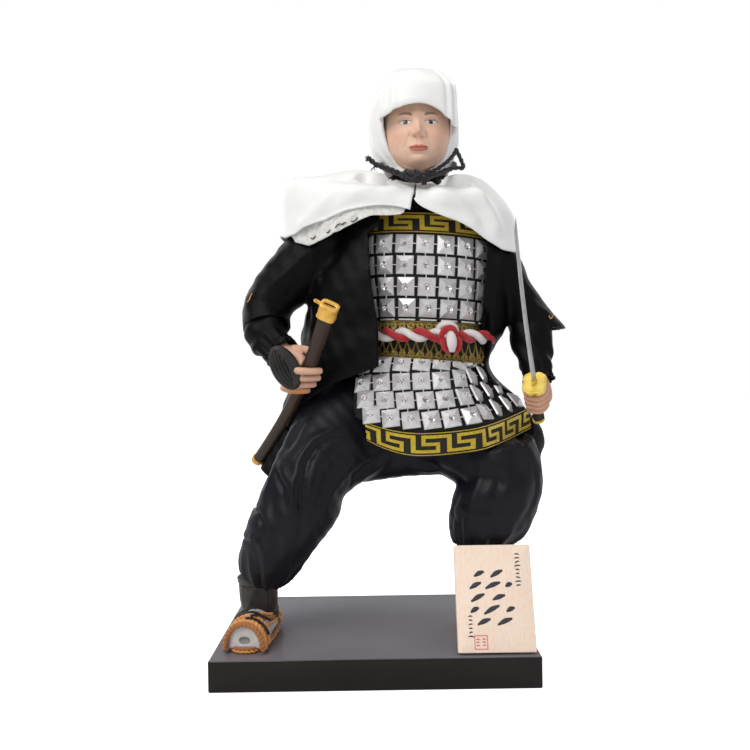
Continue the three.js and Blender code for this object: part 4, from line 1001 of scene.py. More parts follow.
def stud(b, frame, size=9.2, rise=2.6, seed=0):
    """A pressed square stud: a low pyramid with a round set stone sunk in its tip."""
    p, ex, ey, n = frame
    h = size / 2
    k = np.arange(16)
    a = k * TAU / 16 + pi / 4
    c, s = np.cos(a), np.sin(a)
    sq = np.maximum(np.abs(c), np.abs(s))
    square = np.stack([c / sq, s / sq], -1)
    circle = np.stack([c, s], -1)
    top = lambda xy: 0.75 + rise * (1 - np.maximum(np.abs(xy[:, 0]), np.abs(xy[:, 1])) / h)
    levels = []
    for xy, z in ((square * h, np.full(16, -0.5)), (square * h, np.full(16, 0.5)), (square * (h - 0.28), np.full(16, 0.78)), (circle * 1.95, None), (circle * 1.68, "rim"), (circle * 1.25, 1.75), (circle * 0.6, 1.35)):
        if z is None:
            z = top(xy)
        elif isinstance(z, str):
            z = top(circle * 1.95) - 0.25
        else:
            z = np.broadcast_to(z, 16)
        levels.append(np.column_stack([xy, z]))
    L = np.array(levels)
    V = p + L[..., :1] * ex + L[..., 1:2] * ey + L[..., 2:] * n
    uv = L[..., :2]
    b.grid(V[:5], "silver_studs", True, uv=uv[:5].reshape(-1, 2), flat=True)
    tip = p + n * 2.15
    ring = V[4:]
    verts = np.vstack([ring.reshape(-1, 3), tip])
    faces = grid_faces(3, 16, True) + [[32 + i, 32 + (i + 1) % 16, 48] for i in range(16)]
    b.add(verts, faces, "stud_stone", flat=True)


def link(b, p, q, n):
    """The pale thread that shows between two studs."""
    p, q = np.array(p), np.array(q)
    m = (p + q) / 2 + n * 0.1
    b.tube(np.array([p, m, q]), 0.3, "thread", 6)


def net(b, chart, s0, s1, t0, t1, cols, rows, off, back, mat="net_black"):
    """The cloth under the studs, with its edge turned back."""
    s, t = np.linspace(s0, s1, cols), np.linspace(t0, t1, rows)
    S, T = np.meshgrid(s, t)
    if callable(off):
        off = off(S, T)
    out = chart.at(S, T, off)
    inn = chart.at(S, T, back)
    ring = [out, inn[::-1]]
    P = np.concatenate([out, inn[::-1], out[:1]])
    b.grid(P, mat, uv=np.stack([np.concatenate([S, S[::-1], S[:1]]), np.concatenate([T, T[::-1], T[:1]])], -1).reshape(-1, 2))
    for side in (0, -1):
        b.add(np.concatenate([out[:, side], inn[:, side]]), [[i, i + 1, rows + i + 1, rows + i] for i in range(rows - 1)], mat)


b = Builder()
net(b, chest, -38.5, 48.0, 234.3, 186.6, 100, 50, 2.0, 1.5)
WIDE, HIGH = 10.95, 11.5
for r in range(4):
    for c in range(-5, 4):
        s, t = (c + 0.5) * WIDE + 4.3, 228.2 - r * HIGH
        if s < -38.5 or s > 44:
            continue
        f = chest.axes(s, t)
        stud(b, (f[0] + f[3] * 2.0, f[1], f[2] * 1.05, f[3]), size=9.6, seed=r * 20 + c)
        if s + WIDE < 44:
            _, ex, ey, n = chest.axes(s + WIDE / 2, t)
            m = chest.at(s + WIDE / 2, t, 2.6)
            link(b, m - ex * 1.1, m + ex * 1.1, n)
        _, ex, ey, n = chest.axes(s, t - HIGH / 2)
        m = chest.at(s, t - HIGH / 2, 2.6)
        if r < 3:
            link(b, m - ey * 1.0, m + ey * 1.0, n)
        else:
            # the pale lip below the last row: an edge under the studs, given a flat pale colour as a painted highlight
            # for the glints of the silver there
            bar = np.array([m - ey * 0.9 + ex * x for x in np.linspace(-4.6, 4.6, 8)])
            b.tube(bar + n * 0.1, 0.5, "thread", 8)
b.object("breast_studs", "breastplate", "silver_studs")

b = Builder()
net(b, skirt, -38, 91, up(40), up(0), 140, 50, 0.25, -0.7)
ROW = 10.9
for r in range(4):
    t = 0.7 + ROW * (r + 0.5)
    v = float(up(t))
    for c in range(11):
        s = float(apron_left(t)) + (c + 0.5) * 10.7 + 0.3
        f = skirt.axes(s, v)
        # behind the jacket there are none
        if f[0][1] > -2 and f[0][2] > 145:
            continue
        # every stud lies a little differently, as the cloth bends
        wob = np.random.default_rng(100 + r * 12 + c).normal(0, 0.04, 2)
        n = f[3] + f[1] * wob[0] + f[2] * wob[1]
        # where the skirt wraps round the side its studs stand on edge
        if c > 5:
            turn = (0.22, 0.42, 0.48, 0.42, 0.3)[c - 6] + np.random.default_rng(50 + r * 12 + c).normal(0, 0.1)
            n = n * math.cos(turn) + f[1] * math.sin(turn)
            f = (f[0] + f[3] * 0.3, f[1], f[2], f[3])
        n /= np.linalg.norm(n)
        # the columns lean with the cloth
        d = skirt.at(s + float(apron_left(t + 3) - apron_left(t)), float(up(t + 3))) - f[0]
        ey = d - n * d.dot(n)
        ey /= np.linalg.norm(ey)
        ex = np.cross(ey, n)
        ex = ex * 0.5 + (f[1] - n * f[1].dot(n)) * 0.5
        ex /= np.linalg.norm(ex)
        f = (f[0] + n * 0.35, ex, np.cross(n, ex), n)
        stud(b, f, size=9.5, seed=300 + r * 20 + c)
        if c < 10:
            m = skirt.at(s + 5.35, v, 0.9)
            _, ex, ey, n = skirt.axes(s + 5.35, v)
            link(b, m - ex * 1.1, m + ex * 1.1, n)
        if r < 3:
            w = float(up(t + ROW / 2))
            s2 = s + float(apron_left(t + ROW / 2) - apron_left(t))
            m = skirt.at(s2, w, 0.9)
            _, ex, ey, n = skirt.axes(s2, w)
            link(b, m - ey * 1.2, m + ey * 1.2, n)
o = b.object("apron_studs", "apron", "silver_studs")
bm = bmesh.new()
bm.from_mesh(o.data)
normal = Vector((0.085, 0, 1)).normalized()
cut = bmesh.ops.bisect_plane(bm, geom=bm.verts[:] + bm.edges[:] + bm.faces[:], plane_co=Vector((33, 0, 165.5)) * MM, plane_no=normal, clear_outer=True)
bm.to_mesh(o.data)
bm.free()


def key_cell(s, t, width, unit=18.9, line=0.55):
    """True where the gold thread of the running key pattern lies: s along, t up from the lower edge."""
    e = (t < 0.35 + line) & (t > 0.35) | (t > width - 0.35 - line) & (t < width - 0.35)
    lo, hi = 1.6, width - 1.6
    h, x = (t - lo) / (hi - lo), (s % unit) / unit
    bar_v, bar_h = 2.5 / unit, 1.75 / (hi - lo)
    near = lambda a, c, w: np.abs(a - c) < w / 2
    y0, y1, y2 = bar_h / 2, 0.5, 1 - bar_h / 2
    g = near(x, bar_v / 2, bar_v) & (h > 0) & (h < 1)
    g |= near(h, y0, bar_h) & (x > 0) & (x < 0.79)
    g |= near(x, 0.79 - 0.055, 0.115) & (h > 0) & (h < y1 + bar_h / 2)
    g |= near(h, y1, bar_h) & (x > 0.29) & (x < 0.79)
    g |= near(x, 0.29 + 0.055, 0.115) & (h > y1 - bar_h / 2) & (h < 1)
    g |= near(h, y2, bar_h) & ((x > 0.29) | (x < bar_v))
    return e | g & (h > 0) & (h < 1)


def ribbon(b, place, length, width, cell, base, raised, thick, gold, black, ds=0.42, dt=0.42):
    """A woven ribbon. cell says where the raised gold lies; place(s, t, h) puts a point on the body."""
    nc, nr = int(length / ds), int(width / dt)
    s, t = np.linspace(0, length, nc + 1), np.linspace(0, width, nr + 1)
    sc, tc = (s[:-1] + s[1:]) / 2, (t[:-1] + t[1:]) / 2
    C = cell(*np.meshgrid(sc, tc))
    S, T = np.meshgrid(s, t)
    lowP, topP, backP = place(S, T, base), place(S, T, base + raised), place(S, T, base - thick)
    for up, P, mat in ((True, topP, gold), (False, lowP, black)):
        idx = np.arange((nr + 1) * (nc + 1)).reshape(nr + 1, nc + 1)
        want = C == up
        q = np.stack([idx[:-1, :-1][want], idx[:-1, 1:][want], idx[1:, 1:][want], idx[1:, :-1][want]], -1)
        b.add(P.reshape(-1, 3), q.tolist(), mat, np.stack([S, T], -1).reshape(-1, 2))
    # the little walls at the edges of the raised thread
    E = np.pad(C, 1).astype(int)
    V, F = [], []
    for i in range(nr + 1):
        for j in range(nc):
            if E[i, j + 1] != E[i + 1, j + 1] and 0 < i < nr:
                k = len(V)
                V += [lowP[i, j], lowP[i, j + 1], topP[i, j + 1], topP[i, j]]
                F.append([k, k + 1, k + 2, k + 3])
    for i in range(nr):
        for j in range(nc + 1):
            if E[i + 1, j] != E[i + 1, j + 1] and 0 < j < nc:
                k = len(V)
                V += [lowP[i, j], lowP[i + 1, j], topP[i + 1, j], topP[i, j]]
                F.append([k, k + 1, k + 2, k + 3])
    if V:
        b.add(V, F, gold)
    # back and edges
    keep = lambda n: np.unique(np.append(np.arange(0, n, 6), n))
    b.grid(backP[keep(nr)][:, keep(nc)], black)
    for A, B in ((lowP[0], backP[0]), (lowP[-1], backP[-1]), (lowP[:, 0], backP[:, 0]), (lowP[:, -1], backP[:, -1])):
        n = len(A)
        b.add(np.concatenate([A, B]), [[i, i + 1, n + i + 1, n + i] for i in range(n - 1)], black)


b = Builder()
ribbon(b, lambda s, t, h: chest.at(s - 38, 233.9 + t, h), 76, 11.2, lambda s, t: key_cell(s + 3.5, t, 11.2), 2.55, 0.38, 0.9, "gold_brocade", "ribbon_black")
b.object("breast_border_ribbon", "breast_border", "gold_brocade")

b = Builder()
width = 12.6
ribbon(b, lambda s, t, h: skirt.at(apron_left(t - width - 0.4) + s, up(t - width - 0.4), h), 117, width, lambda s, t: key_cell(s + 12.5, t, width), 0.45, 0.38, 1.0, "gold_brocade", "ribbon_black")
b.object("apron_border_ribbon", "apron_border", "gold_brocade")


def braid_height(s, t, w):
    """A chain of arcs between corded edges, 0 to 1."""
    edge = np.maximum(np.maximum(hump(t, 0.9, 0.42), hump(t, 2.3, 0.38)), np.maximum(hump(t, w - 0.9, 0.42), hump(t, w - 2.3, 0.38)))
    mid, amp, per = w / 2, w / 2 - 4.6, 9.6
    y1, y2 = mid + amp * sin(s * TAU / per), mid - amp * sin(s * TAU / per)
    over = cos(s * TAU / per) > 0
    a, c = hump(t, y1, 1.0), hump(t, y2, 1.0)
    x = (s % per) / per * 2 % 1 - 0.5
    arcs = np.maximum(hump(np.hypot(x * 4.8, t - 3.4), 1.3, 0.62), hump(np.hypot(x * 4.8, t - (w - 3.4)), 1.3, 0.62)) * (np.abs(t - w / 2) > w / 2 - 5.2)
    return np.maximum(np.maximum(edge, arcs * 0.8), np.maximum(a * (1 - 0.3 * over), c * (0.7 + 0.3 * over)))


b = Builder()
bw = 23.4
S, T = np.meshgrid(np.linspace(0, 82.8, 241), np.linspace(0, bw, 67))
Hh = braid_height(S, T, bw)
def band_place(S, T, h):
    """The band's rows slope more at the bottom, with the belt."""
    z = 164.8 + T * (186.8 - 164.8) / bw
    extra = -0.025 * (1 - T / bw)
    p = chest.at(S - 41.4, z, h)
    q = chest.at(S - 41.4, z + extra * (p[..., 0] - 33), h)
    return q
P = band_place(S, T, 1.75 + 0.75 * Hh)
faces = np.array(grid_faces(*P.shape[:2]))
level = Hh.reshape(-1)[faces].mean(1)
uv = np.stack([S, T], -1).reshape(-1, 2)
b.add(P.reshape(-1, 3), faces[level > 0.2].tolist(), "waist_braid", uv)
b.add(P.reshape(-1, 3), faces[level <= 0.2].tolist(), "ribbon_black", uv)
back = band_place(S[::6, ::6], T[::6, ::6], 0.6)
b.grid(back, "ribbon_black")
edge = lambda A, B: b.add(np.concatenate([A, B]), [[i, i + 1, len(A) + i + 1, len(A) + i] for i in range(len(A) - 1)], "ribbon_black")
for sl in ((0, slice(None)), (-1, slice(None)), (slice(None), 0), (slice(None), -1)):
    edge(P[sl], band_place(S, T, 0.6)[sl])
b.object("waist_braid_band", "waist_band", "waist_braid", merge=0.001)


# ------------------------------------------------------------------ white cowl
EYE_X = 27.8
WINDOW = np.array([(269.5, 0.4), (270.6, 3.4), (273.2, 8.0), (277, 11.6), (283, 14.9), (290, 17.2), (298, 18.6), (306, 18.8), (316, 15), (326, 8), (334, 1)])
hood = body(HOOD)


def edge_angle(v):
    """Half angles of the face opening, left and right of the front, at each row."""
    F, R, L = hood(0.0, v), hood(pi / 2, v), hood(3 * pi / 2, v)
    w = np.interp(F[..., 2], WINDOW[:, 0], WINDOW[:, 1])
    right = np.arcsin(np.clip((EYE_X + w - F[..., 0]) / (R[..., 0] - F[..., 0]), 0.0, 0.97))
    left = np.arcsin(np.clip((F[..., 0] - EYE_X + w) / (F[..., 0] - L[..., 0]), 0.0, 0.97))
    return left, right


v = np.linspace(0, 1, 86)
el, er = edge_angle(v)
u = np.linspace(0, 1, 160)
A = er[:, None] + u[None] * (TAU - er - el)[:, None]
P = hood(A, v[:, None])
N = vertex_normals(P, False)
if N[40, 80, 1] < 0:
    N = -N
# near the opening the cloth turns in to the cheeks, over a soft rolled edge
arc = np.concatenate([np.zeros((len(v), 1)), np.cumsum(np.linalg.norm(np.diff(P, axis=1), axis=-1), axis=1)], 1)
d = np.minimum(arc, arc[:, -1:] - arc)
low = smooth(305 - P[..., 2], 0, 10)
P[..., 1] += 5.2 * (1 - np.clip(d / 8.5, 0, 1)) ** 2 * low
roll = np.exp(-((d - 1.2) / 1.1) ** 2) * low
near_neck = smooth(291 - P[..., 2], 0, 17)
ang = A
pleat = sin(ang * 15 + 0.9 * sin(ang * 3)) * 0.75 + sin(ang * 27 + 1) * 0.3
side_fold = sin(ang * 6.0 + (P[..., 2] - 300) * 0.05) * 0.4 * smooth(326 - P[..., 2], 0, 14)
P = P + N * (roll * 0.55 + near_neck * pleat + side_fold)[..., None]
P = folds(P.reshape(-1, 3), N.reshape(-1, 3), [
    ([(8, -16, 322), (5, -14, 305), (6, -14, 288), (11, -15, 276)], 1.6, -0.9),
    ([(5, -8, 318), (3, -6, 300), (5, -6, 284), (9, -9, 275)], 2.2, 0.9),
    ([(49, -13, 320), (51, -10, 304), (50, -10, 288), (45, -13, 276)], 1.6, -0.8),
    ([(51.5, -4, 318), (53, -2, 300), (51, -2, 284), (47, -6, 276)], 2.2, 0.8),
    ([(20, 22, 326), (16, 26, 308), (18, 25, 290), (20, 22, 278)], 3, 1.0),
    ([(38, 22, 326), (41, 26, 308), (38, 25, 290), (36, 22, 278)], 3, 1.0),
    ([(28, 24, 322), (28, 27, 306), (28, 26, 290), (28, 23, 278)], 2.4, -0.8),
], 1.0).reshape(P.shape)
b = Builder()
b.grid(P, "white_satin")
crown = P[0].mean(0)
k = len(P[0])
b.add(np.vstack([P[0], crown + [0, 0, 0.6]]), [[i, i + 1, k] for i in range(k - 1)] + [[k - 1, 0, k]], "white_satin")
cowl = b.object("cowl_cloth", "cowl", "white_satin", merge=0.01)
s = cowl.modifiers.new("s", "SOLIDIFY")
s.thickness, s.offset = 0.8 * MM, -1
apply_modifiers(cowl)

BAND = [row(331.9, 22.5, 31, -1, 6), row(330.0, 15.4, 37.2, -8, 8, dz=(0, -0.6, 0, 0)), row(327.4, 11.4, 42.2, -13, 8, dz=(0, -0.8, 0, 0)), row(323.6, 7.6, 46.6, -17.8, 8, dz=(0, -0.8, 0, 0)), row(318.8, 4.6, 50.0, -21.8, 8), row(313.5, 3.2, 51.9, -24.9, 8), row(304, 2.6, 52.4, -26.6, 8, dz=(-9.5, -0.6, -16, 0))]
bnd = body(BAND, 0.7)
b = Builder()
v, u = np.linspace(0, 1, 66), np.linspace(0, 1, 116)
aL, aR = -1.06, 1.13
A = aL + (aR - aL) * u
P = bnd(np.broadcast_to(A, (66, 116)), v[:, None])
N = vertex_normals(P, False)
if N[44, 58, 1] > 0:
    N = -N
# its ends are folded under, and soft creases run down from the crown
e = np.minimum(u, 1 - u)[None]
down = smooth(v, 0.1, 0.5)[:, None]
relief = 0.45 * np.exp(-((e - 0.045) / 0.025) ** 2) - 0.3 * np.exp(-((e - 0.1) / 0.025) ** 2) - 1.5 * (1 - np.clip(e / 0.022, 0, 1)) ** 2
for at, width, high in ((0.17, 0.035, -0.75), (0.235, 0.04, 0.35), (0.30, 0.03, -0.22), (0.80, 0.03, -0.55), (0.86, 0.03, 0.4), (0.91, 0.022, -0.5), (0.55, 0.1, 0.25)):
    relief = relief + high * np.exp(-(((u[None] - at + 0.02 * (v[:, None] - 0.5)) / width) ** 2)) * down
relief = relief + 0.4 * np.exp(-((v - 0.975) / 0.018) ** 2)[:, None] - 0.15 * np.exp(-((v - 0.93) / 0.012) ** 2)[:, None]
P = P + N * relief[..., None]
P[..., 1] += 1.3 * smooth(v, 0.94, 1.0)[:, None]
# its side edges lie against the hood
tree = mm_tree(cowl)
k = 1 - smooth(np.minimum(u, 1 - u), 0.0, 0.06)
for j in np.nonzero(k > 0)[0]:
    for i in range(len(P)):
        at, out, _, _ = tree.find_nearest(Vector(P[i, j]))
        P[i, j] = P[i, j] * (1 - k[j]) + (np.array(at) + np.array(out) * 1.2) * k[j]
b.grid(P, "white_satin")
band = b.object("cowl_band_cloth", "cowl_band", "white_satin")
s = band.modifiers.new("s", "SOLIDIFY")
s.thickness, s.offset = 1.1 * MM, -1
apply_modifiers(band)

# ------------------------------------------------------------------ shoulder cape and its lining
cape = body(CAPE)
# The hem as it is seen from the front, at the depth of the chest: left of the split, right of it, and the layer under it.
HEM_LEFT = np.array([(-46, 231.8), (-44.7, 231.2), (-38.6, 233.7), (-28.2, 238.7), (-16.9, 243.7), (-12.5, 245.8), (-4.7, 247.4), (5.6, 248.6), (14.3, 248), (22, 245.8)])
HEM_RIGHT = np.array([(24.2, 252), (26, 249.4), (28.1, 247.4), (36.6, 243.4), (47.8, 239.3), (56.4, 234), (63.2, 228.7), (70.9, 223.4), (78.6, 221.6), (84, 223)])
UNDER = np.array([(-46, 236), (-43.2, 233.2), (-40.4, 229.0), (-32.7, 227.2), (-21.4, 232.6), (-8.3, 239.3), (1.2, 243.5), (7.3, 243.1), (15.9, 243.3), (22, 244.5)])
CHEST = 403.5


def hem_rows(target, angles, lo=0.25, hi=1.9):
    """The share of the way down at which each angle's line reaches the hem's height."""
    vs = np.linspace(lo, hi, 500)
    p = cape(np.asarray(angles)[:, None], vs[None])
    gap = p[..., 2] - target(p)
    first = np.argmax(gap < 0, axis=1)
    first = np.where((gap < 0).any(1), np.maximum(first, 1), len(vs) - 1)
    k = np.arange(len(angles))
    g0, g1 = gap[k, first - 1], gap[k, first]
    out = vs[first - 1] + (vs[1] - vs[0]) * np.clip(g0 / np.maximum(g0 - g1, 1e-6), 0, 1)
    w = np.hanning(7)
    w /= w.sum()
    pad = np.concatenate([2 * out[0] - out[3:0:-1], out, 2 * out[-1] - out[-2:-5:-1]])
    return np.convolve(pad, w, "valid")


def hem_height(p, left, right=0.0):
    far = (p[..., 1] + 434.5) / CHEST
    x = 2.1 + (p[..., 0] - 2.1) / far
    front = np.where(p[..., 0] < 24.0, np.interp(x, left[:, 0], left[:, 1]), np.interp(x, HEM_RIGHT[:, 0], HEM_RIGHT[:, 1]) + right)
    front = 156.6 + (front - 156.6) * far
    back = 231 + 2.0 * sin(p[..., 0] * 0.13) + 5 * smooth(-p[..., 0], 10, 45)
    k = smooth(p[..., 1], 3, 20)
    return front * (1 - k) + back * k


def cape_sheet(target, grow, cols=300, rows=72):
    a = 0.012 + np.linspace(0, 1, cols) * (TAU - 0.024)
    ve = hem_rows(target, a)
    v = np.linspace(0, 1, rows)[:, None] * ve[None]
    P = cape(np.broadcast_to(a, v.shape), v)
    N = vertex_normals(P, False)
    if N[rows // 2, cols // 2, 1] < 0:
        N = -N
    return P + N * grow, N, a, np.linspace(0, 1, rows)


P, N, a, v = cape_sheet(lambda p: hem_height(p, HEM_LEFT), 0.0, 300, 62)


def on_front(pts):
    """Points of the front of the cape, given by x and z alone."""
    flat, out = P[N[..., 1] < 0.1], []
    for x, z in pts:
        k = np.argmin((flat[:, 0] - x) ** 2 + (flat[:, 2] - z) ** 2)
        out.append((x, flat[k, 1], z))
    return out


def waves(A, V):
    """The soft waves in which the cape hangs, fuller at the back."""
    return (1.3 * sin(A * 7 + 1.2 * sin(A * 2 + 0.5)) + 0.7 * sin(A * 13 + 2)) * smooth(V, 0.35, 1) * (0.12 + 1.15 * smooth(-cos(A), -0.15, 0.5))


A, V = np.meshgrid(a, v)
back_side = smooth(-cos(A), -0.15, 0.5)
drape = waves(A, V)
gather = 0.7 * sin(A * 34 + 2 * sin(A * 5)) * (1 - smooth(V, 0.0, 0.28)) * (0.08 + 0.92 * back_side)
P = P + N * (drape + gather)[..., None]
P = folds(P.reshape(-1, 3), N.reshape(-1, 3), [(on_front(line), width, high) for line, width, high in (
    # hollows under the cord on both sides, with a rounded ridge below each
    ([(16, 265.2), (8.5, 265.4), (1, 266.8), (-7, 269.6)], 5.0, -5.0),
    ([(34, 264.6), (42, 263.6), (50, 262.2), (58, 261.4)], 4.2, -4.4),
    ([(21, 257.5), (10, 255), (-4, 256), (-18, 260)], 4.6, 2.9),
    ([(29, 257), (40, 252.5), (54, 251.5), (66, 253)], 4.6, 2.9),
        ([(40, 267), (50, 266), (60, 264.5)], 3.0, 1.2),
    # long soft folds to the arms
    ([(-12, 263), (-26, 250), (-40, 236)], 4.6, 3.0),
    ([(-20, 267), (-34, 257), (-45, 244)], 6.0, -0.9),
    ([(6, 256), (-10, 251), (-26, 242)], 4.5, 1.3),
    ([(2, 252), (-13, 248), (-28, 241)], 3.2, -1.4),
    ([(50, 262), (64, 248), (73, 232)], 4.4, 2.8),
    ([(58, 263), (72, 250), (81, 234)], 5.5, -0.8),
    ([(34, 256), (48, 248), (62, 236)], 4.2, 1.4),
    ([(30, 254), (40, 246), (52, 240)], 2.6, -0.7),
    ([(40, 258), (56, 246), (68, 230)], 3.2, -0.6),
)], 1.0).reshape(P.shape)
hem_line = P[-1].copy()
# a turned hem: the last millimetres thicken and lift a little
b = Builder()
P[-1] += N[-1] * 0.5
b.grid(P, "white_satin", flip=True)
cape_cloth = b.object("cape_cloth", "cape", "white_satin")
s = cape_cloth.modifiers.new("s", "SOLIDIFY")
s.thickness, s.offset = 0.9 * MM, -1
apply_modifiers(cape_cloth)

under, UN, ua, uv_ = cape_sheet(lambda p: hem_height(p, UNDER, 4.0) + 3.0 * smooth(p[..., 1], 0, 12), -1.7, 300, 62)
# only the part near the hem is lined, so that nothing shows through the hollows above
under, UN, uv_ = under[30:], UN[30:], uv_[30:]
A, V = np.meshgrid(ua, uv_)
rng = np.random.default_rng(3)
crush = np.zeros(under.shape[:2])
for _ in range(60):
    ph, ka, kz = rng.uniform(0, TAU), rng.uniform(18, 90), rng.uniform(-0.9, 0.9)
    crush += sin(A * ka + under[..., 2] * kz + ph)
crush *= 0.05 * smooth(V, 0.6, 0.92) * smooth(4 - under[..., 0], 0, 12) * smooth(12 - under[..., 1], 0, 6)
under = under + UN * (crush + waves(A, V) - 0.5 * smooth(-cos(A), -0.15, 0.5))[..., None]
b = Builder()
b.grid(under, "lining", flip=True)
# short dark stitches where the lining shows
low = under[int(len(under) * 0.87)]
for x, L, bend in ((-9.0, 4.2, 0.9), (-13.5, 2.2, -0.5), (-18.5, 4.8, -1.0), (-23.0, 2.6, 0.7), (-31.5, 3.4, 0.8)):
    seen = np.nonzero(low[:, 1] < 6)[0]
    i = seen[np.argmin(np.abs(low[seen, 0] - x))]
    j = int(len(under) * 0.9)
    p = under[j, i] + UN[j, i] * 0.35
    t = under[j, i + 3] - under[j, i]
    t /= np.linalg.norm(t)
    pts = [p, p + t * L * 0.35 + [0, -0.3, -bend], p + t * L * 0.7 + [0, -0.3, -bend * 0.7], p + t * L + [0, -0.1, bend * 0.4]]
    b.tube(catmull(np.array(pts), np.linspace(0, 1, 14)), 0.2, "stitch", 6)
lining = b.object("cape_lining", None, "white_satin")
s = lining.modifiers.new("s", "SOLIDIFY")
s.thickness, s.offset = 0.5 * MM, -1
apply_modifiers(lining)

# ------------------------------------------------------------------ neck cord
nr = body([row(276, 8.5, 47.5, -19.5, 21), row(270, 9.5, 47, -20, 20)], 1.35 + 0.6)
a = np.arange(160) / 160 * TAU
ring = nr(a, np.full(160, 0.5))
ring[:, 2] += 4.4 * sin(a) ** 2 + 7 * np.maximum(0, -cos(a)) - 9.6 * np.maximum(0, cos(a)) + 0.4
ring[:, 1] += 3.0 * np.maximum(0, -cos(a)) - 4.6 * np.maximum(0, cos(a))
rng = np.random.default_rng(11)
b = Builder()


def soft_cord(pts, r, n=70, closed=False, ends=True):
    t = np.linspace(0, 1, n, endpoint=not closed)
    path = catmull(np.array(pts, float), t, closed)
    rr = r * (1 + 0.07 * sin(np.arange(n) * 0.9) + 0.05 * rng.normal(size=n))
    if ends and not closed:
        rr = rr * np.clip(np.minimum(np.arange(n), np.arange(n)[::-1]) / 2 + 0.45, 0, 1)
    # two soft strands laid round each other
    T = np.gradient(path, axis=0)
    T /= np.linalg.norm(T, axis=1, keepdims=True)
    U = np.cross(T, (0.1, 1, 0.2))
    U /= np.linalg.norm(U, axis=1, keepdims=True)
    W = np.cross(T, U)
    L = np.concatenate([[0], np.cumsum(np.linalg.norm(np.diff(path, axis=0), axis=1))])
    for k in (0, 1):
        ph = L * TAU / 6.5 + k * pi
        off = (U * cos(ph)[:, None] + W * sin(ph)[:, None]) * (r * 0.42)
        b.tube(path + off, rr * 0.72, "dark_cord", 10, closed, ends)


soft_cord(ring[::8], 1.3, 200, True)
# the left end, the bow's loop on the right and the broad flat knot between them
soft_cord([(25, -28.5, 263.6), (18, -27.6, 265.0), (11, -25.8, 268.6), (5.4, -23.6, 271.0), (2.8, -22.2, 273.2), (0.4, -21.4, 275.6)], 1.3, 60)
soft_cord([(29, -28.6, 264.6), (36, -27.8, 267.0), (42, -26, 271.2), (46.3, -23.6, 276.0), (47.9, -22.4, 279.0), (49.6, -23.4, 275.2), (51.2, -25, 270.2), (51.0, -26, 268.2), (47.6, -27.2, 268.0), (41.5, -28.8, 266.6), (34.5, -29.2, 263.6)], 1.06, 110)
soft_cord([(17.6, -27.6, 264.6), (22, -29.2, 261.8), (26.4, -30.2, 260.8), (30.6, -29.8, 261.6), (34.4, -28.4, 264.4)], 1.45, 40)
soft_cord([(19.4, -28.0, 266.2), (23.6, -29.8, 263.8), (27.8, -30.8, 262.2), (31.4, -30.4, 260.6)], 1.5, 30)
soft_cord([(33.8, -28.4, 266.2), (30.2, -30.2, 264.2), (27.0, -31.0, 262.4), (22.8, -30.0, 260.8)], 1.45, 30)
soft_cord([(24.4, -29.4, 266.2), (27.6, -31.2, 264.0), (29.4, -31.2, 260.8), (29.8, -29.8, 258.6)], 1.4, 30)
for k in range(26):
    d = rng.normal(0, 1, 3) * [0.5, 0.5, 0.4] + [-1, 0.15, 0.9 if k % 3 else -0.3]
    d /= np.linalg.norm(d)
    p0 = np.array([0.6, -21.4, 275.4]) + rng.normal(0, 0.5, 3)
    L = rng.uniform(0.8, 2.0)
    b.tube(catmull(np.array([p0, p0 + d * L * 0.5 + rng.normal(0, 0.2, 3), p0 + d * L]), np.linspace(0, 1, 6)), 0.2, "dark_cord", 5)
for k in range(8):
    p0 = np.array([4.2, -23, 271.0]) + rng.normal(0, 0.4, 3)
    d = np.array([-0.5, -0.1, -1]) + rng.normal(0, 0.35, 3)
    b.tube(np.array([p0, p0 + d * 1.0, p0 + d * 2.0]), 0.16, "dark_cord", 5)
b.object("neck_cord_soft", "neck_cord", "dark_cord")

# ------------------------------------------------------------------ twisted belt rope
def level_line(surface, z, slope, a):
    lo, hi = np.zeros_like(a), np.ones_like(a)
    for _ in range(30):
        mid = (lo + hi) / 2
        p = surface(a, mid)
        above = p[:, 2] > z - slope * (p[:, 0] - 33)
        lo, hi = np.where(above, mid, lo), np.where(above, hi, mid)
    return surface(a, lo)


a = np.arange(500) / 500 * TAU
path = level_line(body(KIMONO, 7.1), 178.7, 0.038, a)
# it lies on the armour in front and close to the inner garment behind
k = smooth(np.minimum(a, TAU - a), 1.15, 1.75)[:, None]
path = path * (1 - k) + level_line(body(KIMONO, 3.3), 178.7, 0.038, a) * k
L = np.concatenate([[0], np.cumsum(np.linalg.norm(np.diff(path, axis=0), axis=1))])
total = L[-1] + np.linalg.norm(path[0] - path[-1])
path = np.stack([np.interp(np.arange(500) / 500 * total, np.append(L, total), np.append(path[:, k], path[0, k])) for k in range(3)], -1)
T = np.roll(path, -1, 0) - np.roll(path, 1, 0)
T /= np.linalg.norm(T, axis=1, keepdims=True)
U = np.cross(T, (0, 0, 1))
U /= np.linalg.norm(U, axis=1, keepdims=True)
W = np.cross(T, U)
turns = round(total / 18.5)
b = Builder()
for k, mat in ((0, "rope_red"), (1, "rope_white")):
    ph = np.arange(500) / 500 * TAU * turns + k * pi + 0.6
    off = (U * cos(ph)[:, None] * 1.75 + W * sin(ph)[:, None] * 1.95)
    b.tube(path + off, 2.02, mat, 14, True, twist=0.25)
front = int(np.argmin(np.abs(path[:, 0] - 45) + 100 * (path[:, 1] > 0)))
K = path[front]


def bit(pts, r, mat, n=26):
    P = catmull(np.array(pts, float), np.linspace(0, 1, n)) + K
    r = catmull(np.array(r, float), np.linspace(0, 1, n)) if hasattr(r, "__len__") else r
    b.tube(P, r, mat, 14)


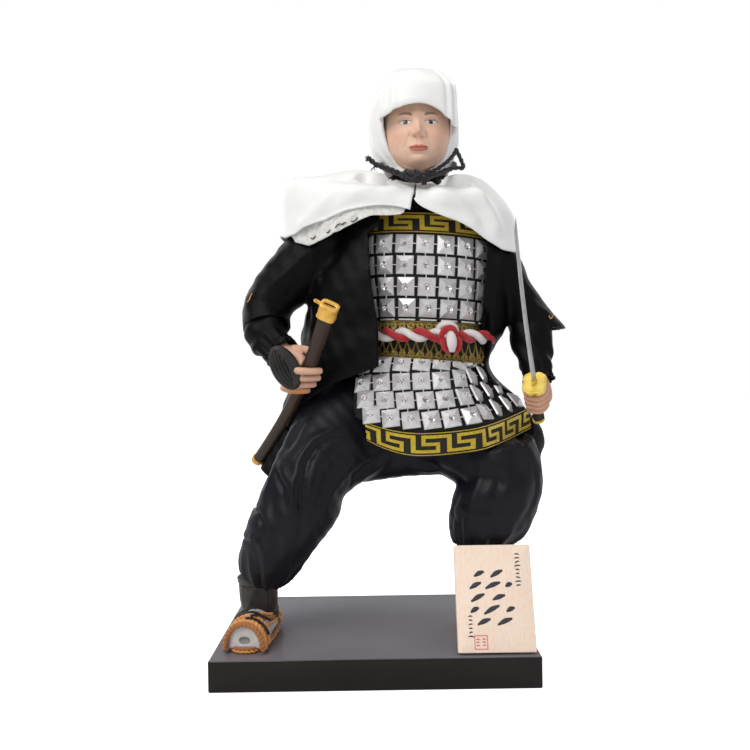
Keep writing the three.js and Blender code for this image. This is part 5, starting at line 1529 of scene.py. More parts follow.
# the knot: a white strand arched over a red loop, a white lobe hanging in it
bit([(36.6 - K[0], 0.4, 180.6 - K[2]), (37.2 - K[0], -2.4, 183.0 - K[2]), (39.6 - K[0], -4.2, 184.6 - K[2]), (42.8 - K[0], -4.2, 184.4 - K[2]), (45.4 - K[0], -3.0, 182.4 - K[2]), (46.2 - K[0], -0.6, 179.6 - K[2])], [1.6, 1.7, 1.75, 1.75, 1.7, 1.6], "rope_white", 40)
bit([(37.6 - K[0], -0.6, 174.2 - K[2]), (38.0 - K[0], -3.2, 178.4 - K[2]), (40.6 - K[0], -4.9, 181.8 - K[2]), (43.8 - K[0], -4.9, 181.8 - K[2]), (45.6 - K[0], -3.4, 178.8 - K[2]), (46.2 - K[0], -1.0, 175.8 - K[2])], [1.5, 1.7, 1.8, 1.8, 1.7, 1.5], "rope_red", 40)
bit([(42.6 - K[0], -4.4, 180.2 - K[2]), (42.9 - K[0], -6.4, 177.6 - K[2]), (43.2 - K[0], -6.8, 173.8 - K[2]), (43.4 - K[0], -5.4, 169.6 - K[2])], [1.2, 2.5, 2.75, 1.5], "rope_white")
bit([(39.2 - K[0], -2.6, 178.0 - K[2]), (38.8 - K[0], -3.8, 174.6 - K[2]), (39.8 - K[0], -3.8, 171.4 - K[2]), (41.8 - K[0], -2.8, 169.4 - K[2])], [1.3, 1.7, 1.6, 1.0], "rope_red")
bit([(45.6 - K[0], -2.6, 178.4 - K[2]), (47.4 - K[0], -3.8, 175.0 - K[2]), (47.0 - K[0], -4.0, 171.4 - K[2]), (44.8 - K[0], -3.2, 168.8 - K[2])], [1.3, 1.7, 1.6, 1.1], "rope_red")
b.object("belt_rope", "rope_belt", "twisted_rope")

# ------------------------------------------------------------------ jacket
def box_solid(sx, sy, sz, at, axis=None):
    """A block as a closed grid, its own z along axis."""
    z = np.array(axis if axis is not None else (0, 0, 1), float)
    z /= np.linalg.norm(z)
    x = np.cross((0, 1, 0), z)
    x /= np.linalg.norm(x)
    y = np.cross(z, x)
    c = [(-1, -1), (1, -1), (1, 1), (-1, 1)]
    return np.array([[np.array(at) + x * i * sx / 2 + y * j * sy / 2 + z * k * sz / 2 for i, j in c] for k in (-1, 1)])


def prism(points, y0, y1):
    return np.array([[(x, y, z) for x, z in points] for y in (y0, y1)])


def cut_open(o, cutters):
    """Cuts the closed shape and takes the cut faces out, so that an open cloth is left."""
    cut = solid_object("cutter", cutters)
    marker = M["stitch"]
    cut.data.materials.append(marker)
    o.data.materials.clear()
    o.data.materials.append(M["black_cloth"])
    m = o.modifiers.new("b", "BOOLEAN")
    m.operation, m.object, m.solver = "DIFFERENCE", cut, "EXACT"
    m.use_self = True
    m.material_mode = "TRANSFER"
    apply_modifiers(o)
    k = next((i for i, s in enumerate(o.data.materials) if s == marker), None)
    bm = bmesh.new()
    bm.from_mesh(o.data)
    bmesh.ops.delete(bm, geom=[f for f in bm.faces if f.material_index == k], context="FACES")
    bmesh.ops.remove_doubles(bm, verts=bm.verts, dist=0.05 * MM)
    # only the largest sheet is cloth
    seen, best = set(), []
    bm.verts.ensure_lookup_table()
    for v in bm.verts:
        if v.index in seen:
            continue
        stack, part = [v], []
        seen.add(v.index)
        while stack:
            w = stack.pop()
            part.append(w)
            for e in w.link_edges:
                x = e.other_vert(w)
                if x.index not in seen:
                    seen.add(x.index)
                    stack.append(x)
        if len(part) > len(best):
            best = part
    keep = set(v.index for v in best)
    bmesh.ops.delete(bm, geom=[v for v in bm.verts if v.index not in keep], context="VERTS")
    bm.to_mesh(o.data)
    bm.free()
    bpy.data.objects.remove(cut)
    while len(o.data.materials) > 1:
        o.data.materials.pop()
    o.data.polygons.foreach_set("material_index", np.zeros(len(o.data.polygons), np.int32))
    o.data.update()


coat = body(COAT)
o = remeshed("jacket_cloth", [tubes(coat, 140, 90), tubes(limb(ARM_R), 60, 40), tubes(limb(ARM_L), 60, 40)], 1.66, 6, 0.5)
P, N = verts_of(o), normals_of(o)
P = folds(P, N, [
    # right sleeve, from the shoulder to the elbow
    ([(-20, -12, 238), (-34, -13, 226), (-48, -11, 214), (-58, -6, 206)], 2.6, 1.4),
    ([(-12, -16, 228), (-26, -14, 218), (-40, -12, 208), (-50, -9, 199)], 2.6, -1.5),
    ([(-24, -8, 214), (-34, -11, 208), (-44, -11, 203)], 2.2, 1.4),
    ([(-30, -12, 232), (-33, -14, 220), (-34, -13, 208)], 2.8, 1.2),
    ([(-38, -6, 233), (-50, -6, 222), (-62, -2, 209)], 2.4, -1.1),
    ([(-36, 12, 236), (-50, 14, 222), (-64, 10, 208)], 3.2, 1.4),
    ([(-26, 22, 228), (-40, 20, 214), (-52, 16, 202)], 3.0, -1.4),
    # right front panel
    ([(-6, -26, 244), (-8, -29, 220), (-6, -31, 196), (-4, -32, 168)], 3.4, 1.3),
    ([(-14, -26, 240), (-17, -28, 214), (-20, -29, 190), (-22, -29, 156)], 3.6, -1.5),
    ([(-24, -22, 224), (-27, -24, 204), (-30, -26, 182), (-34, -25, 152)], 3.0, 1.4),
    ([(-2, -30, 190), (-12, -31, 178), (-24, -30, 166), (-34, -26, 152)], 3.2, 1.0),
    ([(-34, -4, 205), (-38, -6, 188), (-44, -6, 168), (-50, -2, 150)], 3.2, -1.6),
    # left side and sleeve
    ([(71, -22, 240), (72, -24, 216), (73, -25, 192)], 2.6, 1.2),
    ([(76, -14, 238), (77, -17, 214), (77, -18, 190), (74, -16, 168)], 2.6, -1.4),
    ([(80, -8, 236), (90, -10, 216), (100, -8, 198), (106, -2, 189)], 2.6, 1.2),
    ([(78, -10, 222), (86, -13, 206), (92, -13, 194)], 2.4, -1.2),
    ([(84, -8, 200), (94, -11, 194), (103, -6, 188)], 2.0, 1.0),
    ([(84, 16, 234), (92, 19, 212), (98, 18, 194)], 3.0, 1.2),
    # back
    ([(28, 29, 240), (26, 33, 212), (26, 35, 184), (24, 38, 150), (22, 42, 116)], 4.5, -2.0),
    ([(10, 28, 238), (4, 32, 208), (0, 34, 176), (-6, 38, 140), (-12, 40, 112)], 4.2, 1.9),
    ([(-6, 26, 232), (-14, 29, 204), (-20, 31, 176), (-28, 34, 142), (-36, 38, 112)], 4.2, -1.8),
    ([(44, 28, 238), (48, 32, 208), (50, 34, 176), (54, 38, 140), (58, 40, 112)], 4.2, 1.8),
    ([(60, 25, 232), (66, 29, 204), (68, 31, 176), (74, 34, 142), (82, 36, 112)], 4.0, -1.7),
    ([(-30, 22, 190), (-40, 26, 166), (-50, 28, 140), (-58, 32, 112)], 3.6, 1.6),
    ([(80, 14, 180), (84, 18, 156), (92, 24, 130), (98, 26, 110)], 3.4, 1.5),
], 1.0)
wav = 0.35 * sin(P[:, 2] * 0.35 + P[:, 0] * 0.22) * sin(P[:, 0] * 0.31 - P[:, 1] * 0.2) + 0.07 * sin(P[:, 2] * 0.8 + P[:, 1] * 0.5 + P[:, 0] * 0.4)
P = P + N * wav[:, None]
# the right front is tucked in behind the belt
tuck = smooth(P[:, 0], 51, 60) * (1 - smooth(P[:, 0], 62.8, 66.6)) * smooth(P[:, 2], 162, 169) * (1 - smooth(P[:, 2], 187, 196)) * (P[:, 1] < 3)
P[:, 1] += 8.6 * tuck
set_verts(o, P)
T_R = np.array(ARM_R[5][:3]) - np.array(ARM_R[4][:3])
T_R /= np.linalg.norm(T_R)
cut_open(o, [
    prism([(12.5, 275), (5.8, 248), (5.5, 239), (-0.7, 235.4), (-0.6, 222), (1.0, 203), (3.8, 184), (3.9, 162), (-10, 157.2), (-20.4, 153.7), (-35, 144.8), (-46, 137.5), (-60, 126), (-74, 112), (-90, 60), (140, 60), (140, 142), (80, 147), (68.5, 152), (64.2, 161), (62.2, 170), (62.0, 198), (66.0, 232), (58, 275)], -90, 1),
    box_solid(33, 40, 14, np.array(ARM_R[4][:3]) * 0.4 + np.array(ARM_R[5][:3]) * 0.6 + T_R * 7, T_R),
    np.array([[(81, -30, 184.0), (96, -30, 183.6), (122, -30, 182.4), (122, 40, 182.4), (96, 40, 183.6), (81, 40, 184.0)], [(81, -30, 160), (96, -30, 160), (122, -30, 160), (122, 40, 160), (96, 40, 160), (81, 40, 160)]]),
    prism([(-130, 112), (-72, 105.5), (-66.6, 101.6), (-58.5, 95), (-45, 95.6), (-25, 103), (0, 105.5), (130, 105.5), (130, 50), (-130, 50)], -90, 95),
    box_solid(60, 60, 30, (28, 0, 277)),
])
s = o.modifiers.new("s", "SOLIDIFY")
s.thickness, s.offset, s.use_even_offset = 1.3 * MM, -1, False
apply_modifiers(o)
o.data.polygons.foreach_set("use_smooth", np.ones(len(o.data.polygons), bool))
finish_piece(o, "jacket", "black_cloth")
jacket = o


# ------------------------------------------------------------------ trousers
def onto(tree, points, side=-1):
    """Points (x, z) laid on a surface from the front (side -1) or the back (side 1)."""
    out = []
    for x, z in points:
        hit = tree.ray_cast(Vector((x, 300 * side, z)), Vector((0, -side, 0)))[0]
        if hit is not None:
            out.append((hit.x, hit.y, hit.z))
    return out


o = remeshed("trousers_cloth", [tubes(body(HIPS), 120, 50), tubes(limb(LEG_R), 72, 90), tubes(limb(LEG_L), 72, 80)], 1.45, 9, 0.5)
tree = mm_tree(o)
front = [
    ([(-12, 127), (-22.8, 123.8), (-29.7, 120), (-34.4, 112.6), (-36.2, 102.4), (-37.5, 93.3), (-37.4, 77.4), (-40, 66)], 1.5, -1.7),
    ([(-8, 131), (-20, 128), (-31, 123.5), (-38.5, 114), (-40.5, 102), (-41.5, 88), (-43, 72)], 2.8, 1.5),
    ([(-20, 118), (-29, 112), (-31, 98), (-32.5, 82), (-37, 66)], 3.2, 0.9),
    ([(-52.2, 116), (-51.6, 108), (-49, 102), (-44.5, 97)], 1.6, -1.6),
    ([(-50, 118), (-47.8, 110), (-44, 102), (-41, 94), (-40, 84)], 2.4, 1.1),
    ([(-39.9, 136), (-45.8, 125), (-51, 113), (-56, 100), (-60, 90)], 2.6, 1.0),
    ([(-34, 138), (-40, 128), (-45.5, 117)], 2.0, -1.0),
    ([(-56, 100), (-52, 90), (-49, 78), (-50, 66), (-54, 56)], 3.0, -1.1),
    ([(-46, 92), (-45, 80), (-47, 68), (-52, 56)], 2.6, 0.8),
    ([(-10, 121), (-20, 109), (-26, 97), (-32, 84)], 3.0, -0.8),
    ([(-4, 118), (-12, 108), (-20, 98), (-28, 84), (-36, 70)], 2.6, 0.8),
    ([(-66, 68), (-63.5, 73), (-59, 70), (-56, 62)], 1.6, 0.9),
    ([(8, 116), (-2, 108), (-14, 100)], 1.8, -1.3),
    ([(12, 113), (2, 105), (-10, 97.5)], 1.6, 1.0),
    ([(0, 112), (-8, 104), (-14, 96)], 1.5, -1.0),
    ([(22, 112), (36, 106), (48, 100), (56, 97)], 2.2, -1.3),
    ([(18, 107), (32, 104), (46, 99.5), (52, 96)], 2.0, 1.0),
    ([(43.4, 103), (49.2, 98), (45, 91), (42.9, 84), (46, 76)], 1.6, -1.2),
    ([(58, 112), (56, 100), (52, 88), (51, 76), (53, 66)], 2.6, 1.1),
    ([(66, 112), (66, 100), (62, 86), (59, 72)], 2.6, -1.1),
    ([(76, 112), (80, 100), (78, 88), (70, 76), (64, 66)], 3.0, 1.2),
    ([(84, 110), (87, 100), (85, 90), (78, 79)], 2.2, -1.0),
    ([(45, 88), (52, 84), (60, 82), (70, 84)], 2.2, 0.9),
]
back = [
    ([(-10, 128), (-28, 118), (-44, 104), (-54, 90)], 3.4, -1.5),
    ([(-16, 118), (-34, 108), (-48, 92), (-56, 76)], 3.2, 1.4),
    ([(-44, 96), (-40, 86), (-44, 72)], 2.6, -1.2),
    ([(-60, 84), (-60, 72), (-62, 58)], 2.6, 1.1),
    ([(30, 122), (48, 112), (62, 98), (66, 84)], 3.4, -1.5),
    ([(70, 124), (80, 110), (80, 96), (72, 82)], 3.2, 1.4),
    ([(50, 104), (48, 92), (50, 78)], 2.6, -1.2),
    ([(35, 130), (35, 116), (35, 104)], 3.0, -1.4),
]
lines = [(onto(tree, p), w, h) for p, w, h in front] + [(onto(tree, p, 1), w, h) for p, w, h in back]
lines = [l for l in lines if len(l[0]) > 2]
P, N = verts_of(o), normals_of(o)
P = folds(P, N, lines, 1.0)
# the legs gather over the shin guards
for st, zc in ((LEG_R, 46), (LEG_L, 64)):
    c = catmull(np.array(st, float)[:, :3], np.array([0.93]))[0]
    ang = np.arctan2(P[:, 1] - c[1], P[:, 0] - c[0])
    near = (np.abs(P[:, 0] - c[0]) < 30) * (1 - smooth(P[:, 2], zc, zc + 24)) * (P[:, 0] * c[0] > 0)
    P = P + N * (near * (0.75 * sin(ang * 13 + 0.6 * sin(ang * 3 + 1)) + 0.35 * sin(ang * 29)))[:, None]
P = P + N * (0.22 * sin(P[:, 2] * 0.5 + P[:, 0] * 0.3) * sin(P[:, 0] * 0.42 + P[:, 1] * 0.3))[:, None]
# the D-shaped patch on the outside of the right knee, proud of the cloth with a sunk seam
px_, pz_ = P[:, 0] + 68.0, P[:, 2] - 79.3
rr = np.hypot(px_ / 10.2, pz_ / 8.6)
facing = (N[:, 1] < 0.35) & (P[:, 0] < -45)
P = P + N * (np.where(facing, 0.75 * (1 - smooth(rr, 0.84, 0.93)) - 1.15 * np.exp(-((rr - 1.02) / 0.085) ** 2), 0))[:, None]
# behind the apron, and under the waist
a = np.linspace(-pi * 0.75, pi * 0.75, 200)
ap = apron(a[None, :], np.linspace(0, 1.03, 90)[:, None])
at = grid_tree(ap)
P = pushed_behind(P, at, 2.4, (P[:, 2] > 96) & (P[:, 1] < 12) & (P[:, 0] > -14) & (P[:, 0] < 97))
top = np.where(P[:, 0] < -3, 157.0, 150.0)
P[:, 2] = np.minimum(P[:, 2], top)
set_verts(o, P)
s = o.modifiers.new("s", "SMOOTH")
s.iterations, s.factor = 1, 0.4
apply_modifiers(o)
o.data.materials.clear()
o.data.materials.append(M["black_satin"])
o.data.polygons.foreach_set("use_smooth", np.ones(len(o.data.polygons), bool))
finish_piece(o, "trousers", "black_satin")

# ------------------------------------------------------------------ sleeves under the jacket's
def under_sleeve(name, node, stations, v0, phase, cuff):
    f = limb(stations)
    rows, cols = 76, 96
    v = np.linspace(v0, 1.0, rows)[:, None]
    a = (np.arange(cols) / cols * TAU)[None]
    P = f(a, v)
    N = vertex_normals(P, True)
    c = P.mean(1, keepdims=True)
    if ((P - c) * N).sum() < 0:
        N = -N
    low = smooth(v, 0.55, 1.0)
    h = 0.8 * sin(a * 4 + v * 9 + phase) * sin(v * 7 + a * 1.0 + phase) * (1 - low * 0.6)
    h = h + 0.9 * sin(v * 30 + 1.6 * sin(a + phase) + phase) * np.exp(-((v - 0.55) / 0.22) ** 2) * (0.5 + 0.5 * cos(a - cuff[0]))
    h = h + 0.6 * sin(a * 11 + phase + 2 * v) * low
    # a turned cuff
    h = h + 0.9 * smooth(v, 0.9, 0.93) + 0.45 * np.exp(-((v - 0.915) / 0.01) ** 2) - 0.5 * np.exp(-((v - 0.895) / 0.008) ** 2)
    P = P + N * h[..., None]
    b = Builder()
    b.grid(P, "black_cloth", True)
    o = b.object(name, node, "black_cloth")
    s = o.modifiers.new("s", "SOLIDIFY")
    s.thickness, s.offset = 1.0 * MM, -1
    apply_modifiers(o)
    return o


sleeve_r = under_sleeve("right_under_sleeve", "right_sleeve", FOREARM_R, 0.04, 0.3, (0.5,))
sleeve_l = under_sleeve("left_under_sleeve", "left_sleeve", FOREARM_L, 0.04, 1.9, (2.0,))

# small gold tacks on the edges of both over-sleeves
tree = mm_tree(jacket)
b = Builder()
for pts in ([(-69.0, 199.8), (-67.9, 201.0), (-67.0, 203.4), (-66.2, 204.6)], [(100.0, 189.4), (101.2, 187.9), (103.6, 190.6)]):
    on = onto(tree, pts)
    if len(on) < 3:
        on = [(x, -6.0, z) for x, z in pts]
    on = np.array(on) + [0, -0.25, 0]
    b.tube(catmull(on, np.linspace(0, 1, 14)), 0.28, "gold_fittings", 6)
b.object("sleeve_tacks", None, "gold_fittings")


# ------------------------------------------------------------------ head
rng = np.random.default_rng(21)
HEAD_ROWS = [row(322.5, 27.0, 28.6, -0.6, 0.6), row(321, 19, 36.6, -9, 11), row(316, 13.2, 42.4, -15.5, 16), row(308, 9.4, 46.2, -19.2, 19.4), row(300, 8.2, 47.4, -20.4, 20), row(292, 8.4, 47.2, -20.2, 18), row(284.5, 10.2, 45.4, -19.6, 14), row(278.5, 13.4, 42.2, -18.8, 9), row(274, 18.2, 37.4, -17.2, 4), row(271.3, 24, 31.6, -13.6, 0), row(270.6, 27.0, 28.6, -8, -5)]
skull = body(HEAD_ROWS)
cols_f, cols_b, rows = 210, 34, 186
a = np.concatenate([np.linspace(-pi / 2, pi / 2, cols_f, endpoint=False), np.linspace(pi / 2, 3 * pi / 2, cols_b, endpoint=False)])
v = np.concatenate([np.linspace(0, 0.36, 40, endpoint=False), np.linspace(0.36, 1, rows - 40)])
P = skull(a[None], v[:, None])
u, z = P[..., 0] - EYE_X, P[..., 2]
w = np.abs(u)
face = smooth(cos(a)[None], 0.0, 0.45) * np.ones_like(u)
g = lambda x, m, s: np.exp(-(((x - m) / s) ** 2))
h = np.zeros_like(u)
# sockets, brows and temples
EZ = 295.6
h -= 1.75 * g(w, 7.2, 4.4) * g(z, EZ + 0.2, 2.9)
h += 0.85 * g(w, 7.0, 5.0) * g(z, 300.3, 1.7)
h -= 0.5 * g(w, 0, 2.0) * g(z, 298.6, 2.0)
h -= 0.5 * g(w, 15.5, 3.0) * g(z, 299, 5)
# nose
k = np.clip((299.5 - z) / 10.2, 0, 1)
bridge = (0.35 + 3.6 * k**1.25) * np.exp(-((w / (1.55 + 0.85 * k)) ** 2)) * (1 - smooth(-z, -288.9, -287.0))
tipb = 1.15 * g(w, 0, 2.3) * g(z, 289.6, 1.7)
wings = 1.55 * g(w, 3.25, 1.15) * g(z, 288.9, 1.25)
h += bridge + tipb + wings
h -= 0.55 * g(w, 4.7, 0.6) * g(z, 289.0, 1.4)
h -= 0.9 * g(w, 1.6, 0.65) * g(z, 287.4, 0.45)
# cheeks and the folds beside the mouth
h += 0.85 * g(w, 11.0, 4.2) * g(z, 289.5, 4.5)
fold_x = 4.9 + (288.5 - z) * 0.42
h -= 0.38 * g(w - fold_x, 0, 0.7) * smooth(z, 280.5, 283) * (1 - smooth(z, 287.5, 289.5))
# mouth
h += 0.9 * g(w, 0, 6.2) * g(z, 281.6, 3.4)
bow = 282.95 + 0.28 * g(w, 1.3, 0.8) - 0.22 * g(w, 0, 0.5) - 0.028 * w**2
line = 281.55 - 0.10 * g(w, 0, 0.9) + 0.004 * w**2
low_edge = 279.55 + 0.035 * w**2
inm = 1 - smooth(w, 4.6, 5.6)
h += 0.62 * g(z, (bow + line) / 2, 0.62) * inm
h += 0.78 * g(z, (line + low_edge) / 2, 0.85) * (1 - smooth(w, 3.7, 5.2))
h -= 0.72 * g(z, line, 0.26) * (1 - smooth(w, 4.8, 5.7))
h -= 0.3 * g(w, 5.7, 0.6) * g(z, 281.5, 0.7)
h -= 0.34 * g(w, 0, 0.75) * g(z, 284.9, 1.1)
h -= 0.55 * g(w, 0, 4.0) * g(z, 278.2, 0.9)
h += 1.15 * g(w, 0, 4.4) * g(z, 275.2, 2.3)
# eyes: an almond between two lids, the ball showing between them
t = (w - 7.1) / 3.75
inside = 1 - t**2
upper = EZ + 1.32 * np.clip(inside, 0, 1) ** 0.62 + 0.16 * t
lower = EZ - 0.88 * np.clip(inside, 0, 1) ** 0.85 + 0.16 * t
open_ = smooth(upper - z, -0.03, 0.12) * smooth(z - lower, -0.03, 0.12) * (inside > 0)
h += 0.95 * g(w, 7.1, 3.9) * g(z, EZ, 1.9)
h += 0.42 * g(z, upper + 0.42, 0.36) * smooth(inside, -0.25, 0.2)
h -= 0.36 * g(z, upper + 1.25, 0.34) * smooth(inside, -0.35, 0.2)
h += 0.26 * g(z, lower - 0.38, 0.34) * smooth(inside, -0.2, 0.25)
h -= 0.2 * g(z, lower - 1.25, 0.5) * smooth(inside, -0.3, 0.3)
h -= 0.34 * open_
P = P.copy()
P[..., 1] -= h * face
# colour
base = np.array([0.83, 0.545, 0.405])
C = np.ones(P.shape) * base
blend = lambda C, col, k: C + (np.array(col) - C) * np.clip(k, 0, 1)[..., None]
C = blend(C, (0.84, 0.42, 0.29), 0.5 * g(w, 10.5, 4.5) * g(z, 288.5, 4.0) * face)
C = blend(C, (0.80, 0.42, 0.29), 0.35 * g(w, 0, 3.2) * g(z, 289.0, 2.0) * face)
# painted shade: the skin is darkened in the nostrils, beside the nose wings and in the creases above the eyelids
C = blend(C, (0.70, 0.36, 0.24), 0.45 * (g(w, 4.7, 0.7) * g(z, 289, 1.6) + g(w, 1.6, 0.7) * g(z, 287.3, 0.5)) * face)
C = blend(C, (0.66, 0.36, 0.25), 0.35 * g(z, upper + 1.25, 0.4) * (inside > -0.2) * face)
lips = smooth(bow - z, -0.12, 0.2) * smooth(z - low_edge, -0.15, 0.3) * (1 - smooth(w, 4.5, 5.2))
C = blend(C, (0.60, 0.155, 0.105), 0.86 * lips * face)
C = blend(C, (0.23, 0.045, 0.035), 0.9 * g(z, line, 0.17) * (1 - smooth(w, 4.7, 5.4)) * face)
C = blend(C, (0.86, 0.85, 0.83), open_ * face)
iris = np.hypot(w - 6.95, (z - EZ - 0.2))
C = blend(C, (0.09, 0.035, 0.014), open_ * (1 - smooth(iris, 1.08, 1.2)) * face)
C = blend(C, (0.004, 0.003, 0.003), open_ * (1 - smooth(iris, 0.5, 0.62)) * face)
C = blend(C, (0.012, 0.006, 0.005), open_ * g(iris, 1.17, 0.1) * 0.8 * face)
# a painted highlight: a small white glint in each iris
C = blend(C, (0.95, 0.95, 0.95), open_ * (1 - smooth(np.hypot(w - 6.95 + 0.34 * np.sign(u), z - EZ - 0.6), 0.16, 0.27)) * face)
C = blend(C, (0.010, 0.007, 0.006), 0.95 * (g(z, upper + 0.02, 0.19 + 0.05 * np.clip(t, 0, 1)) * smooth(inside, -0.1, 0.06) + 0 * z) * face)
C = blend(C, (0.20, 0.09, 0.06), 0.5 * g(z, lower - 0.03, 0.13) * smooth(inside, 0.0, 0.15) * face)
# brows: tapering, level, drawn with fine hairs
bt = np.clip((w - 3.1) / 8.4, 0, 1)
brow_mid = 299.35 + 1.15 * sin(bt * pi * 0.62) - 0.55 * bt**2
brow_h = 0.78 * (1 - bt) ** 0.55 * smooth(bt, -0.02, 0.12) + 0.1
hair = 0.72 + 0.28 * sin(w * 9.0 + (z - brow_mid) * 9 + 2 * sin(w * 2.1))
brow = smooth(brow_h - np.abs(z - brow_mid), -0.12, 0.28) * (w > 2.9) * (w < 11.6) * smooth(w, 2.9, 3.7) * (1 - smooth(w, 10.4, 11.6))
C = blend(C, (0.013, 0.009, 0.008), brow * hair * 0.97 * face)
P[..., 1] -= 0.14 * brow * hair * face
C *= (0.985 + 0.03 * rng.random(C.shape[:2]))[..., None]
b = Builder()
# under the hood the sides of the head stay clear of the cloth
side = P[..., 0] - EYE_X
P[..., 0] = np.where(P[..., 1] > -14, EYE_X + np.clip(side, -18.0, 17.8), P[..., 0])
b.grid(P, "skin", True, (True, True))
attr = [C.reshape(-1, 3), C[0].mean(0)[None], C[-1].mean(0)[None]]
neck = limb([(28.6, 1.5, 283, 9.6, 9.2), (29, 1.2, 272, 9.2, 8.8), (29, 1, 262.4, 9.4, 9.0)])
Q = neck((np.arange(48) / 48 * TAU)[None], np.linspace(0, 1, 24)[:, None])
b.grid(Q, "skin", True, (True, True))
# the neck is tinted darker than the face: painted shade under the chin and the hood
attr.append(np.ones((48 * 24 + 2, 3)) * base * [0.96, 0.9, 0.86])
b.object("head_painted", "head", "skin", attribute=np.vstack(attr))


# ------------------------------------------------------------------ scabbard
def frame_of(z):
    z = np.array(z, float)
    z /= np.linalg.norm(z)
    U = np.cross((0, 1, 0), z)
    U /= np.linalg.norm(U)
    return U, np.cross(z, U), z


MOUTH_AT, SHEATH_END = np.array([-19.9, -54, 193.0]), np.array([-70.6, 25, 106.2])
SHEATH_LEN = 127.8
SU, SV, SD = frame_of(SHEATH_END - MOUTH_AT)
SP, BOW = -SU, 4.7
sheath_a = lambda d: 4.05 + (3.15 - 4.05) * d / SHEATH_LEN
sheath_b = lambda d: 3.3 + (2.7 - 3.3) * d / SHEATH_LEN


def sheath_at(d):
    """The middle line of the scabbard: a shallow bow."""
    return MOUTH_AT + SD * d + SP * (BOW * math.sin(pi * d / SHEATH_LEN))


def sheath_ring(d, grow=0.0, n=64, q=2.5, dims=None):
    a = np.arange(n) / n * TAU
    c, s = cos(a), sin(a)
    A, B = (sheath_a(d) + grow, sheath_b(d) + grow) if dims is None else dims
    x, y = np.sign(c) * np.abs(c) ** (2 / q) * A, np.sign(s) * np.abs(s) ** (2 / q) * B
    across = SU + SD * (BOW * pi / SHEATH_LEN * math.cos(pi * d / SHEATH_LEN))
    across /= np.linalg.norm(across)
    return sheath_at(d) + across * x[:, None] + SV * y[:, None]


b = Builder()
ds = np.concatenate([[8.0, 8.0, 8.5], np.linspace(9.5, 122.4, 60), [123.2, 123.3]])
gs = np.concatenate([[-1.2, -0.25, 0], np.zeros(60), [0, -1.0]])
b.grid(np.array([sheath_ring(d, g_) for d, g_ in zip(ds, gs)]), "brown_lacquer", True, (True, True))
b.object("scabbard_lacquered", "scabbard", "brown_lacquer")
b = Builder()
prof = [(7.9, -0.3), (7.95, 0.7), (7.7, 0.95), (7.0, 0.95), (6.7, 0.72), (1.2, 0.78), (0.8, 0.95), (0.3, 0.95), (0.0, 0.7), (-0.15, 0.3), (-0.2, -0.5)]
rings = [sheath_ring(d, g_, q=3.8) for d, g_ in prof]
rings += [sheath_ring(-0.1, dims=(3.45, 0.95), q=3.5), sheath_ring(0.3, dims=(3.3, 0.8), q=3.5)]
b.grid(np.array(rings), "gold_fittings", True)
# the slot inside the mouth is lined in black: painted shade for the depth of the opening
b.grid(np.array([sheath_ring(0.3, dims=(3.3, 0.8), q=3.5), sheath_ring(6.5, dims=(3.0, 0.7), q=3.5)]), "stitch", True, (False, True))
sg = -1 if SU[0] > 0 else 1
lug = sheath_at(2.0) + SU * sg * 4.6
b.tube(np.array([lug + SU * sg * k for k in (0, 1.0, 1.9)]), [1.15, 1.0, 0.95], "gold_fittings", 16)
th = np.linspace(0, TAU, 30, endpoint=False)
ringc = lug + SU * sg * 2.7
b.tube(ringc + SU * (cos(th) * 0.95)[:, None] + SV * (sin(th) * 0.95)[:, None], 0.5, "gold_fittings", 10, True)
b.object("scabbard_mouth", "scabbard_collar", "gold_fittings")
b = Builder()
prof = [(123.7, -0.4), (123.65, 0.35), (123.9, 0.6), (124.4, 0.62), (124.7, 0.35), (126.2, 0.3), (127.2, 0.0), (127.7, -0.9), (127.85, -2.0)]
b.grid(np.array([sheath_ring(d, g_, q=2.2) for d, g_ in prof]), "gold_fittings", True, (True, True))
b.object("scabbard_end", "scabbard_cap", "gold_fittings")

# ------------------------------------------------------------------ sword
GUARD_AT, BLADE_TIP = np.array([87.1, -29, 151.6]), np.array([65, -97.6, 225.3])
BD = (BLADE_TIP - GUARD_AT) / np.linalg.norm(BLADE_TIP - GUARD_AT)


def turned(v, axis, ang):
    return v * math.cos(ang) + np.cross(axis, v) * math.sin(ang) + axis * axis.dot(v) * (1 - math.cos(ang))


e = np.array([0, -0.7, -0.7])
e -= BD * e.dot(BD)
e /= np.linalg.norm(e)
ED = turned(e, BD, math.radians(-32))
FD = np.cross(BD, ED)
b = Builder()
# the section runs from the edge over the flats to the back
sec = np.array([(1, 0), (0.62, 0.55), (0.18, 1.0), (-0.55, 0.95), (-0.92, 0.72), (-1, 0), (-0.92, -0.72), (-0.55, -0.95), (0.18, -1.0), (0.62, -0.55)])
k = np.concatenate([np.linspace(0, 0.93, 60), np.linspace(0.94, 1.0, 14)])
blade = []
for kk in k:
    taper = 1 - 0.35 * kk
    shape = sec * [2.3 * taper, 0.65 * taper]
    if kk > 0.93:
        q = (kk - 0.93) / 0.07
        # the point sweeps up from the edge to the back
        shape = shape.copy()
        shape[:, 0] = -2.3 * taper + (shape[:, 0] + 2.3 * taper) * max(0.04, 1 - q**1.6)
        shape[:, 1] *= max(0.08, 1 - q * 0.9)
    c = GUARD_AT + BD * (1.4 + kk * 102.4) + ED * 1.6 * math.sin(pi * kk)
    blade.append(c + ED * shape[:, :1] + FD * shape[:, 1:])
b.grid(np.array(blade), "blade_steel", True, (True, True), flat=True)
b.object("blade_ground", "blade", "blade_steel")
y = np.array([0, 0, 1.0])
y -= BD * y.dot(BD)
y /= np.linalg.norm(y)
x = np.cross(y, BD)
n = 160
th = np.arange(n) / n * TAU


